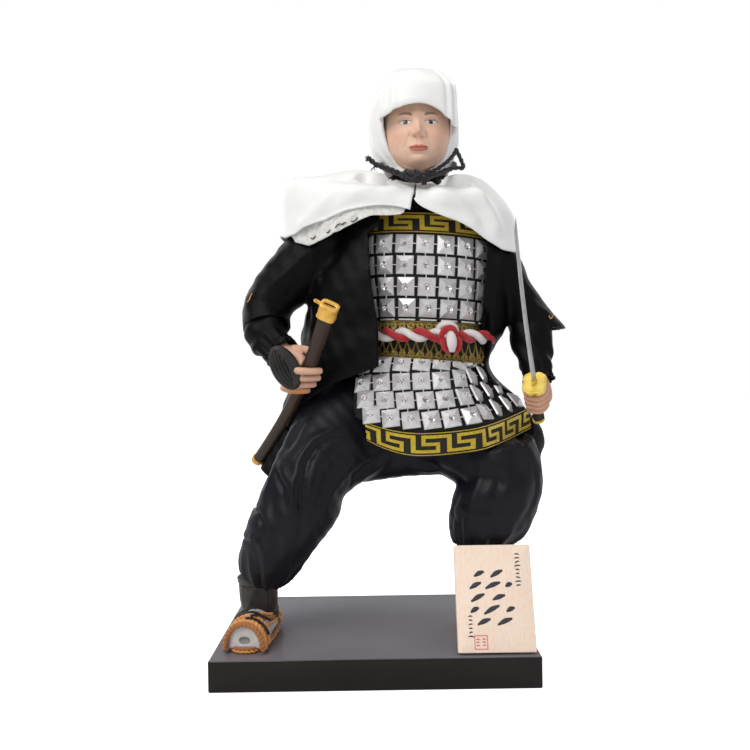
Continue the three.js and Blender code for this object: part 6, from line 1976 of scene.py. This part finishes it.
def guard_ring(scale, z, r0=0.0):
    c, s = cos(th), sin(th)
    q = 3.0
    rad = (np.abs(c / 6.4) ** q + np.abs(s / 8.2) ** q) ** (-1 / q)
    notch = 0.0
    for t0, dep, wd in ((0.0, 0.6, 0.16), (pi, 0.6, 0.16), (pi / 2, 0.75, 0.15), (3 * pi / 2, 0.75, 0.15), (pi / 4 + 0.25, 0.3, 0.1), (3 * pi / 4 - 0.25, 0.3, 0.1), (5 * pi / 4 + 0.25, 0.3, 0.1), (7 * pi / 4 - 0.25, 0.3, 0.1)):
        dd = (th - t0 + pi) % TAU - pi
        notch = notch + dep * np.exp(-((dd / wd) ** 2))
    rad = (rad - notch) * scale + r0
    return GUARD_AT + x * (rad * c)[:, None] + y * (rad * s)[:, None] + BD * z


b = Builder()
prof = [(0.0, -1.0, 2.4), (0.80, -1.0, 0), (0.86, -1.02, 0), (0.9, -1.25, 0), (0.97, -1.25, 0), (1.0, -1.0, 0), (1.0, 1.0, 0), (0.97, 1.25, 0), (0.9, 1.25, 0), (0.86, 1.02, 0), (0.80, 0.98, 0), (0.0, 1.0, 2.4)]
b.grid(np.array([guard_ring(s_, z_, r_) for s_, z_, r_ in prof]), "guard_gold", True, (True, True))
# the gold sleeve that seats the blade
hab = [GUARD_AT + BD * d + ED * (0.15 + cos(th) * A)[:, None] + FD * (sin(th) * B)[:, None] for d, A, B in ((0.9, 2.75, 1.15), (3.6, 2.6, 1.0), (3.8, 2.3, 0.7))]
b.grid(np.array(hab), "guard_gold", True, (True, True))
b.object("guard_notched", "sword_guard", "gold_fittings")

GU, GV, GZ = frame_of(-BD)
b = Builder()
grip_r = lambda d: (3.1 - 0.31 * (d - 1.3) / 25.7, (3.1 * 0.82 - 0.25 * (d - 1.3) / 25.7))
rings = []
for d in np.linspace(1.4, 27, 36):
    A, B = grip_r(d)
    rings.append(GUARD_AT - BD * d + GU * (cos(th) * (A - 0.25))[:, None] + GV * (sin(th) * (B - 0.25))[:, None])
b.grid(np.array(rings), "grip_wrap", True, (True, True))
for sign in (1, -1):
    for ph in (0, pi):
        d = np.linspace(1.6, 26.8, 90)
        ang = sign * d * TAU / 12.6 + ph
        A, B = grip_r(d)
        b.tube(GUARD_AT - BD * d[:, None] + GU * (cos(ang) * A)[:, None] + GV * (sin(ang) * B)[:, None], 0.55, "grip_wrap", 8, flat=1.0)
b.object("grip_wrapped", "sword_grip", "dark_leather")
b = Builder()
rings = []
for d, A, B in ((27.3, 2.2, 1.8), (27.3, 3.3, 2.75), (27.6, 3.45, 2.9), (28.6, 3.4, 2.85), (29.3, 2.6, 2.1), (29.55, 1.4, 1.1)):
    rings.append(GUARD_AT - BD * d + GU * (cos(th) * A)[:, None] + GV * (sin(th) * B)[:, None])
b.grid(np.array(rings), "guard_gold", True, (True, True))
b.object("pommel_cap", "sword_pommel", "gold_fittings")


# ------------------------------------------------------------------ hands
def finger_tube(centre, axis, toward, side, r, grip, start, stop, base=None):
    """One finger bent round an axis, from the knuckle to a rounded tip."""
    axis = axis / np.linalg.norm(axis)
    x = toward - axis * toward.dot(axis)
    x /= np.linalg.norm(x)
    y = np.cross(axis, x) * side
    # three joints: the bend is quicker at the knuckles
    t = np.linspace(0, 1, 40)
    bend = np.radians(start + (stop - start) * t)
    joint = 0.24 * (np.exp(-(((t - 0.12) / 0.07) ** 2)) + np.exp(-(((t - 0.47) / 0.07) ** 2)) + np.exp(-(((t - 0.76) / 0.06) ** 2)))
    R = grip + r + joint * 1.3
    path = centre + x * (cos(bend) * R)[:, None] + y * (sin(bend) * R)[:, None]
    if base is not None:
        path = np.vstack([catmull(np.array([base, base * 0.4 + path[0] * 0.6, path[0]]), np.linspace(0, 1, 10))[:-1], path])
    n = len(path)
    rr = r * (1.0 - 0.12 * np.linspace(0, 1, n))
    e = (n - 1 - np.arange(n)) / 3.2
    rr = rr * np.sqrt(np.clip(1 - (1 - np.clip(e, 0, 1)) ** 2, 0.12, 1))
    b = Builder()
    b.tube(path, rr, "skin", 18, caps=False)
    return b.v[0].reshape(n, 18, 3), path


def hand(name, node, parts, paths, cutter, tone):
    o = remeshed(name, parts, 0.42, 3, 0.5)
    if cutter:
        c = solid_object("cutter", cutter)
        m = o.modifiers.new("b", "BOOLEAN")
        m.operation, m.object, m.solver = "DIFFERENCE", c, "EXACT"
        m.use_self = True
        apply_modifiers(o)
        bpy.data.objects.remove(c)
    P = verts_of(o)
    dist = np.stack([np.min(np.linalg.norm(P[:, None] - p[None, ::2], axis=-1), axis=1) for p in paths], 1)
    s = np.sort(dist, axis=1)
    # painted shade: the skin is darkened to orange-brown in the slits between neighbouring fingers
    slit_shade = np.exp(-(((s[:, 1] - s[:, 0]) / 0.55) ** 2)) * (s[:, 0] < 3.2)
    C = np.ones(P.shape) * tone
    C = C + (np.array([0.44, 0.17, 0.08]) - C) * (0.75 * slit_shade)[:, None]
    return o, P, C


def tinted(o, C):
    l = o.data.color_attributes.new("tint", "FLOAT_COLOR", "POINT")
    l.data.foreach_set("color", np.hstack([C, np.ones((len(C), 1))]).astype(np.float32).ravel())
    o.data.materials.clear()
    o.data.materials.append(M["skin"])
    o.data.polygons.foreach_set("use_smooth", np.ones(len(o.data.polygons), bool))
    o.data.update()


SK = np.array([0.74, 0.44, 0.31])


def tapered(points, radii, n=34):
    """A finger laid along points, with a rounded end."""
    path = catmull(np.array(points, float), np.linspace(0, 1, n))
    rr = np.interp(np.linspace(0, 1, n), np.linspace(0, 1, len(radii)), radii)
    e = (n - 1 - np.arange(n)) / 2.2
    rr = rr * np.sqrt(np.clip(1 - (1 - np.clip(e, 0, 1)) ** 2, 0.3, 1))
    f = Builder()
    f.tube(path, rr, "skin", 18, caps=False)
    return f.v[0].reshape(n, 18, 3), path


def sheath_at_height(z):
    d = np.linspace(10, 110, 400)
    c = np.array([sheath_at(k) for k in d])
    return c[np.argmin(np.abs(c[:, 2] - z))]


parts, paths = [], []
for z, end, r in ((160.2, -25.6, 1.98), (156.6, -26.6, 2.0), (153.1, -29.4, 1.95), (149.8, -33.6, 1.85)):
    c = sheath_at_height(z)
    yf = c[1] - 4.2 - 1.55
    left = min(c[0] - 7.4, -41.8)
    g_, p = tapered([(left - 1.5, yf + 7.0, z + 1.6), (left + 0.6, yf + 2.6, z + 1.0), (c[0] - 3.6, yf + 0.25, z + 0.2), (c[0] + 1.2, yf - 0.1, z - 0.1), ((c[0] + end) / 2 + 1.5, yf + 0.9, z), (end - 0.7, yf + 2.6, z + 0.1)], [r * 1.05, r, r * 1.04, r, r * 0.98, r * 0.9])
    parts.append(g_)
    paths.append(p)
palm = limb([(-52.0, -14.0, 177, 4.4, 4.2), (-49.4, -17.4, 172.4, 5.2, 4.8), (-45.6, -20.6, 167.6, 6.2, 5.6), (-44.0, -23.2, 161.5, 6.2, 5.8), (-43.4, -22.6, 155.5, 5.6, 5.2), (-42.6, -20.6, 150.8, 3.6, 3.4)])
parts.append(tubes(palm, 32, 28))
g_, p = tapered([(-48.0, -17.0, 170.6), (-43.0, -19.0, 172.6), (-38.2, -21.4, 172.4), (-34.0, -24.6, 171.6), (-30.6, -28.0, 169.6)], [2.6, 2.3, 2.15, 2.1, 1.7])
parts.append(g_)
paths.append(p)
# the web between thumb and fingers
g_, p = tapered([(-45.5, -20.5, 168.5), (-41.8, -23.0, 166.6), (-39.6, -25.6, 163.4), (-38.6, -28.2, 160.8)], [3.4, 2.9, 2.5, 2.0])
parts.append(g_)
g_, p = tapered([(-44.6, -21, 169.8), (-40.6, -23.4, 168.6), (-37.6, -26.0, 166.4), (-36.6, -28.4, 162.8)], [3.4, 3.1, 2.8, 2.2])
parts.append(g_)
cut = np.array([sheath_ring(d, 0.3, 32) for d in np.linspace(26, 84, 16)])
o, P, C = hand("right_hand_gripping", "right_hand", parts, paths, [cut], SK)
# painted shade: the lowest edge of the hand is tinted a deep orange-brown, and the whole hand darkens towards the
# bottom
C = C + (np.array([0.72, 0.27, 0.05]) - C) * (0.9 * (1 - smooth(P[:, 2] + 0.12 * P[:, 0], 143.6, 146.6)))[:, None]
C = C * (1 - 0.14 * (1 - smooth(P[:, 2], 150, 172)))[:, None]
tinted(o, C)
finish_piece(o, "right_hand", "skin")

parts, paths = [], []
for i, off in enumerate((-3.6, -0.1, 3.4, 6.8)):
    c = GUARD_AT - BD * (9.4 + off)
    g_, p = finger_tube(c, -BD, np.array([1, -0.3, 0.3]), 1, 1.86 if i < 3 else 1.7, 3.2, -15, (185, 192, 190, 182)[i])
    parts.append(g_)
    paths.append(p)
palm = limb([(92.4, -12.5, 157.5, 4.4, 4.2), (92.8, -13.6, 153.5, 5.2, 4.8), (93.6, -15.6, 148.5, 5.6, 5.3), (94.2, -17.2, 143.6, 5.0, 4.8), (94.2, -17.6, 140.6, 3.0, 2.8)])
parts.append(tubes(palm, 32, 24))
g_, p = tapered([(93.4, -16.0, 152), (91.4, -20.6, 152.0), (88.6, -23.4, 149.6), (86.2, -24.4, 146.8)], [2.5, 2.15, 2.05, 1.8])
parts.append(g_)
paths.append(p)
grip_cut = []
for d in np.linspace(-2.5, 33, 14):
    grip_cut.append((GUARD_AT - BD * d)[None] + GU * (cos(th[::5]) * 3.75)[:, None] + GV * (sin(th[::5]) * 3.25)[:, None])
guard_cut = np.array([GUARD_AT + BD * z_ + x * (cos(th[::5]) * 8.4)[:, None] + y * (sin(th[::5]) * 9.8)[:, None] for z_ in (-1.65, 8.0)])
# the left hand's tint is darker than the right's: painted shade under the guard
o, P, C = hand("left_hand_gripping", "left_hand", parts, paths, [np.array(grip_cut), guard_cut], SK * [0.93, 0.86, 0.82])
tinted(o, C)
finish_piece(o, "left_hand", "skin")

# ------------------------------------------------------------------ ribbed pad on the back of the right hand
import mathutils
R3 = np.array(mathutils.Euler((0.16, -0.44, 0), "XYZ").to_matrix())
centre = np.array([-45.6, -30.2, 162.2])
rows, cols = 84, 160
ph = np.linspace(0.02, pi - 0.02, rows)[:, None]
an = (np.arange(cols) / cols * TAU)[None]
d = np.stack([sin(ph) * cos(an), sin(ph) * sin(an), cos(ph) * np.ones_like(an)], -1)
L = d * [7.4, 3.2, 12.8]
front = np.clip(-d[..., 1], 0, 1)
edge = np.hypot(L[..., 0] / 7.4, L[..., 2] / 12.8)
# ribs run its length on the left, and a smooth crescent rims the right
right = smooth(L[..., 0] + 0.02 * L[..., 2] ** 2, 1.2, 2.6)
rim = np.exp(-((edge - 0.84) / 0.1) ** 2) * right
rib = 0.55 * sin((L[..., 0] - 0.018 * L[..., 2] ** 2) * TAU / 1.75) * (1 - smooth(edge, 0.84, 0.97)) * (1 - right)
seam = np.exp(-((L[..., 0] + 0.02 * L[..., 2] ** 2 - 1.6) / 0.35) ** 2) * (1 - smooth(edge, 0.86, 0.98))
L = L + d / np.linalg.norm(d, axis=-1, keepdims=True) * ((0.5 * rim + rib - 0.45 * seam) * smooth(front, 0.0, 0.3))[..., None]
Q = L @ R3.T + centre
b = Builder()
b.grid(Q, "ribbed_black", True, (True, True))
pad = b.object("hand_pad_ribbed", "right_hand_guard", "dark_leather")


# ------------------------------------------------------------------ shin guards
def shin(name, node, stations, phase, panel):
    f = limb(stations)
    rows, cols = 100, 96
    v = np.linspace(0, 1, rows)[:, None]
    a = (np.arange(cols) / cols * TAU)[None]
    P = f(a, v)
    N = vertex_normals(P, True)
    c = P.mean(1, keepdims=True)
    if ((P - c) * N).sum() < 0:
        N = -N
    V_, A_ = v * np.ones_like(a), a * np.ones_like(v)
    # the angle that faces the viewer
    d = (A_ - panel + pi) % TAU - pi
    top, base = V_ < 0.13, V_ > 0.80
    h = np.zeros_like(V_)
    h += 0.55 * smooth(V_, 0.80, 0.82) + 0.35 * (1 - smooth(V_, 0.11, 0.13))
    h -= 0.35 * np.exp(-((V_ - 0.145) / 0.012) ** 2) + 0.35 * np.exp(-((V_ - 0.785) / 0.012) ** 2)
    for s in (-0.72, 0.72):
        h -= 0.4 * np.exp(-((d - s) / 0.035) ** 2) * (~top) * (~base)
        h += 0.22 * np.exp(-((d - s * 1.13) / 0.05) ** 2) * (~top) * (~base)
    h += 0.25 * sin(V_ * 9 + phase) * sin(A_ * 3 + phase) + 0.12 * sin(A_ * 40) * base
    h += 0.3 * np.exp(-((V_ - 0.985) / 0.012) ** 2) + 0.3 * np.exp(-((V_ - 0.012) / 0.012) ** 2)
    P = P + N * h[..., None]
    u = np.stack([A_ * 10, V_ * 24], -1).reshape(-1, 2)
    vm, am = (V_[:-1] + V_[1:]) / 2, np.abs(d[:-1])
    zone = np.where(vm < 0.13, "leather_edge", np.where(vm > 0.80, "ribbed_black", np.where(am < 0.72, "dark_leather", "leather_edge"))).reshape(-1)
    faces = np.array(grid_faces(rows, cols, True))
    b = Builder()
    for z_ in ("leather_edge", "dark_leather", "ribbed_black"):
        b.add(P.reshape(-1, 3), faces[zone == z_].tolist(), z_, u)
    for r_, up_ in ((0, True), (rows - 1, False)):
        ring = P[r_]
        mid = ring.mean(0)
        inner = mid + (ring - mid) * 0.86
        k = cols
        V2 = np.vstack([ring, inner, mid + [0, 0, -1.5 if up_ else 1.5]])
        F = [[i, (i + 1) % k, k + (i + 1) % k, k + i] for i in range(k)] + [[k + i, k + (i + 1) % k, 2 * k] for i in range(k)]
        b.add(V2, F, "ribbed_black")
    o = b.object(name, node, "dark_leather", merge=0.005)
    # remove points no face uses
    bm = bmesh.new()
    bm.from_mesh(o.data)
    bmesh.ops.delete(bm, geom=[v_ for v_ in bm.verts if not v_.link_faces], context="VERTS")
    bmesh.ops.recalc_face_normals(bm, faces=bm.faces)
    bm.to_mesh(o.data)
    bm.free()
    return o


def front_angle(stations):
    f = limb(stations)
    a = np.linspace(0, TAU, 200, endpoint=False)
    return a[np.argmin(f(a, np.full(200, 0.5))[:, 1])]


shin("right_shin_leather", "right_shin_guard", SHIN_R, 0.4, front_angle(SHIN_R))
shin("left_shin_leather", "left_shin_guard", SHIN_L, 1.7, front_angle(SHIN_L))

# ------------------------------------------------------------------ feet and straw sandals
FOOT = dict(w=9.4, h=12.2, strap=1.9, sole=1.1)
SOLES = {"right": ((-62.2, 2.5), (-66.9, -45.3)), "left": ((54.8, 5.0), (65.8, -40.0))}


def foot_frame(side):
    heel, toe = (np.array([*p, 0.0]) for p in SOLES[side])
    d = toe - heel
    across = np.array([-d[1], d[0], 0]) / np.linalg.norm(d)
    return heel, toe, across


def foot_section(side, t, w, h, zlow, a):
    heel, toe, across = foot_frame(side)
    t, a = np.broadcast_arrays(np.asarray(t, float), np.asarray(a, float))
    c = toe + (heel - toe) * t[..., None]
    rd = np.sqrt(np.maximum(0.05, 1 - np.maximum(0, (t - 0.78) / 0.26) ** 2)) * (0.93 + 0.07 * sin(pi * np.minimum(1, t * 1.8)))
    up = np.maximum(0, cos(a)) ** 0.85
    tall = h * (1 + 0.12 * sin(pi * np.minimum(1, t * 1.2)))
    p = c + across * (sin(a) * w * rd)[..., None]
    p[..., 2] = zlow + up * tall * (0.85 + 0.15 * rd)
    return p


for side in ("right", "left"):
    heel, toe, across = foot_frame(side)
    fwd = (toe - heel) / np.linalg.norm(toe - heel)
    FW, FH, ZL = FOOT["w"], FOOT["h"], TOP + 0.3 + FOOT["sole"] + 0.9
    n = 72
    a = np.arange(n) / n * TAU
    ts = np.concatenate([np.linspace(0.03, 0.96, 56)])
    body_ = foot_section(side, ts[:, None], FW, FH, ZL, a[None])
    # the toe face is flat with a rounded edge and an oval hollow in the middle
    first = foot_section(side, 0.03, FW, FH, ZL, a)
    low = first[:, 2].min()
    mid = first.mean(0) * [1, 1, 0] + [0, 0, low + FH * 0.33]
    face = []
    for s, push in ((0.02, -0.55), (0.10, -0.52), (0.18, -0.42), (0.26, -0.18), (0.33, 0.28), (0.42, 0.42), (0.6, 0.5), (0.8, 0.45), (0.92, 0.3), (0.98, 0.05)):
        ring = mid + (first - mid) * s
        if s < 0.5:
            ell = mid + across * (sin(a) * 9.4 * s * 0.95)[:, None] + np.array([0, 0, 1]) * (cos(a) * 6.2 * s * 0.95)[:, None]
            k = smooth(s, 0.3, 0.5)
            ring = ell * (1 - k) + ring * k
        face.append(ring + fwd * (0.5 + push))
    G = np.concatenate([np.array(face), body_])
    b = Builder()
    b.grid(G, "grey_sock", True, (True, True))
    # painted shade: a darker grey oval laid over the hollow of the toe face
    b.grid(np.array([f_ + fwd * 0.05 for f_ in face[:5]]), "sock_painted_shade", True, (True, False))
    b.object(side + "_foot_sock", side + "_foot", "grey_sock")

    rng = np.random.default_rng(5 if side == "right" else 6)
    b = Builder()

    def straw(path, r, closed=False, twist=2.2, mat="orange_straw"):
        """Two strands of straw laid together."""
        path = np.asarray(path, float)
        T = np.gradient(path, axis=0) if not closed else np.roll(path, -1, 0) - np.roll(path, 1, 0)
        T /= np.maximum(np.linalg.norm(T, axis=1, keepdims=True), 1e-9)
        U = np.cross(T, (0.02, 0.01, 1))
        U /= np.maximum(np.linalg.norm(U, axis=1, keepdims=True), 1e-9)
        W = np.cross(T, U)
        Ln = np.concatenate([[0], np.cumsum(np.linalg.norm(np.diff(path, axis=0), axis=1))])
        if closed:
            whole = Ln[-1] + np.linalg.norm(path[0] - path[-1])
            turns = max(1, round(whole / (twist * 2.2)))
            arg = Ln / whole * TAU * turns
        else:
            arg = Ln * TAU / (twist * 2.2)
        for k in (0, 1):
            off = U * cos(arg + k * pi)[:, None] + W * sin(arg + k * pi)[:, None]
            b.tube(path + off * r * 0.45, r * 0.66, mat, 8, closed, not closed)

    # the sole: rows of rope laid round inside one another
    m = 112
    aa = np.arange(m) / m * TAU
    for ring_i, (shrink, zz) in enumerate([(1.0, 1.0), (0.84, 0.95), (0.66, 0.95), (0.47, 0.95), (0.28, 0.95), (1.0, 2.3)]):
        Lh = np.linalg.norm(toe - heel) / 2 + 1.0
        c = (heel + toe) / 2
        x_ = np.sign(sin(aa)) * np.abs(sin(aa)) ** 0.75 * (FW + 0.6) * shrink
        y_ = np.sign(cos(aa)) * np.abs(cos(aa)) ** 0.75 * (Lh - (1 - shrink) * FW * 0.95)
        p = c + across * x_[:, None] + fwd * y_[:, None] + np.array([0, 0, TOP + 0.3 + zz])
        straw(p, 0.98, True, 2.0, "orange_straw" if ring_i % 2 == 0 else "straw_dark")
    # arches over the toe and the instep
    n_arch = [(-0.005, 1.25, 1.55), (0.025, 1.45, 1.35), (0.07, 1.3, 1.2), (0.11, 1.25, 1.15), (0.155, 1.2, 1.1), (0.2, 1.15, 1.1)]
    for q, (t, grow, r) in enumerate(n_arch):
        aa = np.linspace(-pi / 2 - 0.02, pi / 2 + 0.02, 44)
        p = foot_section(side, np.full(44, max(t, 0.0)), FW + grow, FH + grow + 0.3, ZL - 0.6, aa)
        if t < 0:
            p = p + fwd * 0.9
        p[:, 2] = np.maximum(p[:, 2], TOP + 1.6)
        straw(p, r * 0.98, False, 2.0, "orange_straw" if q % 3 else "straw_dark")
    # strands running back along both sides and across the instep
    for sgn in (-1, 1):
        for q, (a0, a1, z_up) in enumerate([(0.25, 0.9, 0.4), (0.6, 1.05, 0.2), (1.0, 1.2, 0.0)]):
            t = np.linspace(0.17, 0.86, 48)
            ang = sgn * (a0 + (a1 - a0) * smooth(t, 0.17, 0.6))
            p = foot_section(side, t, FW + 1.0, FH + 1.1, ZL - 0.4, ang)
            straw(p, 0.95, False, 2.0, "orange_straw" if q != 1 else "straw_dark")
    t = np.full(50, 0.86)
    for zz in (4.0, 7.5):
        aa = np.linspace(-pi / 2, pi / 2, 50)
        c = toe + (heel - toe) * 0.84
        p = c + across * (sin(aa) * (FW * 0.95 + 0.8))[:, None] - fwd * (cos(aa) * 8.2)[:, None] + np.array([0, 0, TOP + zz])
        straw(p, 0.9)
    # dark cords crossed over the instep
    out = 1 if side == "right" else -1
    for s0, s1, t0, t1, r in ((0.0, 1.25, 0.07, 0.16, 1.3), (-0.5, 0.62, 0.2, 0.26, 0.95), (0.15, 0.95, 0.14, 0.34, 1.05), (-0.85, 0.2, 0.30, 0.36, 0.9)):
        k = np.linspace(0, 1, 40)
        p = foot_section(side, t0 + (t1 - t0) * k, FW + 2.3, FH + 2.5, ZL - 0.5, (s0 + (s1 - s0) * k) * out)
        b.tube(p, r, "ribbed_black", 12, flat=0.6)
    # a few loose wisps
    for _ in range(26):
        t = rng.uniform(0.0, 0.8)
        p0 = foot_section(side, t, FW + 1.9, FH + 1.9, ZL - 0.6, rng.choice([-1, 1]) * rng.uniform(0.7, 1.5))
        d = across * rng.normal(0, 1) + fwd * rng.normal(0, 1) + np.array([0, 0, rng.normal(0.2, 0.5)])
        d /= np.linalg.norm(d)
        L_ = rng.uniform(1.0, 2.6)
        p1 = p0 + d * L_
        p1[2] = max(p1[2], TOP + 0.6)
        b.tube(np.array([p0, (p0 + p1) / 2 + rng.normal(0, 0.15, 3), p1]), 0.13, "orange_straw", 5)
    b.object(side + "_straw_sandal", side + "_sandal", "orange_straw")


# ------------------------------------------------------------------ the frame's own nodes that stay shown
DEFAULT = {"cowl": "white_satin", "cowl_band": "white_satin", "cape": "white_satin", "head": "skin", "right_hand": "skin", "left_hand": "skin", "neck_cord": "dark_cord", "rope_belt": "rope_red", "scabbard": "brown_lacquer", "scabbard_collar": "gold_fittings", "scabbard_cap": "gold_fittings", "blade": "blade_steel", "sword_guard": "guard_gold", "sword_pommel": "gold_fittings", "sword_grip": "grip_wrap", "right_foot": "grey_sock", "left_foot": "grey_sock", "right_sandal": "orange_straw", "left_sandal": "orange_straw", "right_shin_guard": "dark_leather", "left_shin_guard": "dark_leather", "trousers": "black_satin"}
LOOK = {}
for name, node in frame["nodes"].items():
    if not node.hide_render:
        LOOK[name] = node
for name, node in LOOK.items():
    node.data.materials.clear()
    node.data.materials.append(M[DEFAULT.get(name, "black_cloth")])
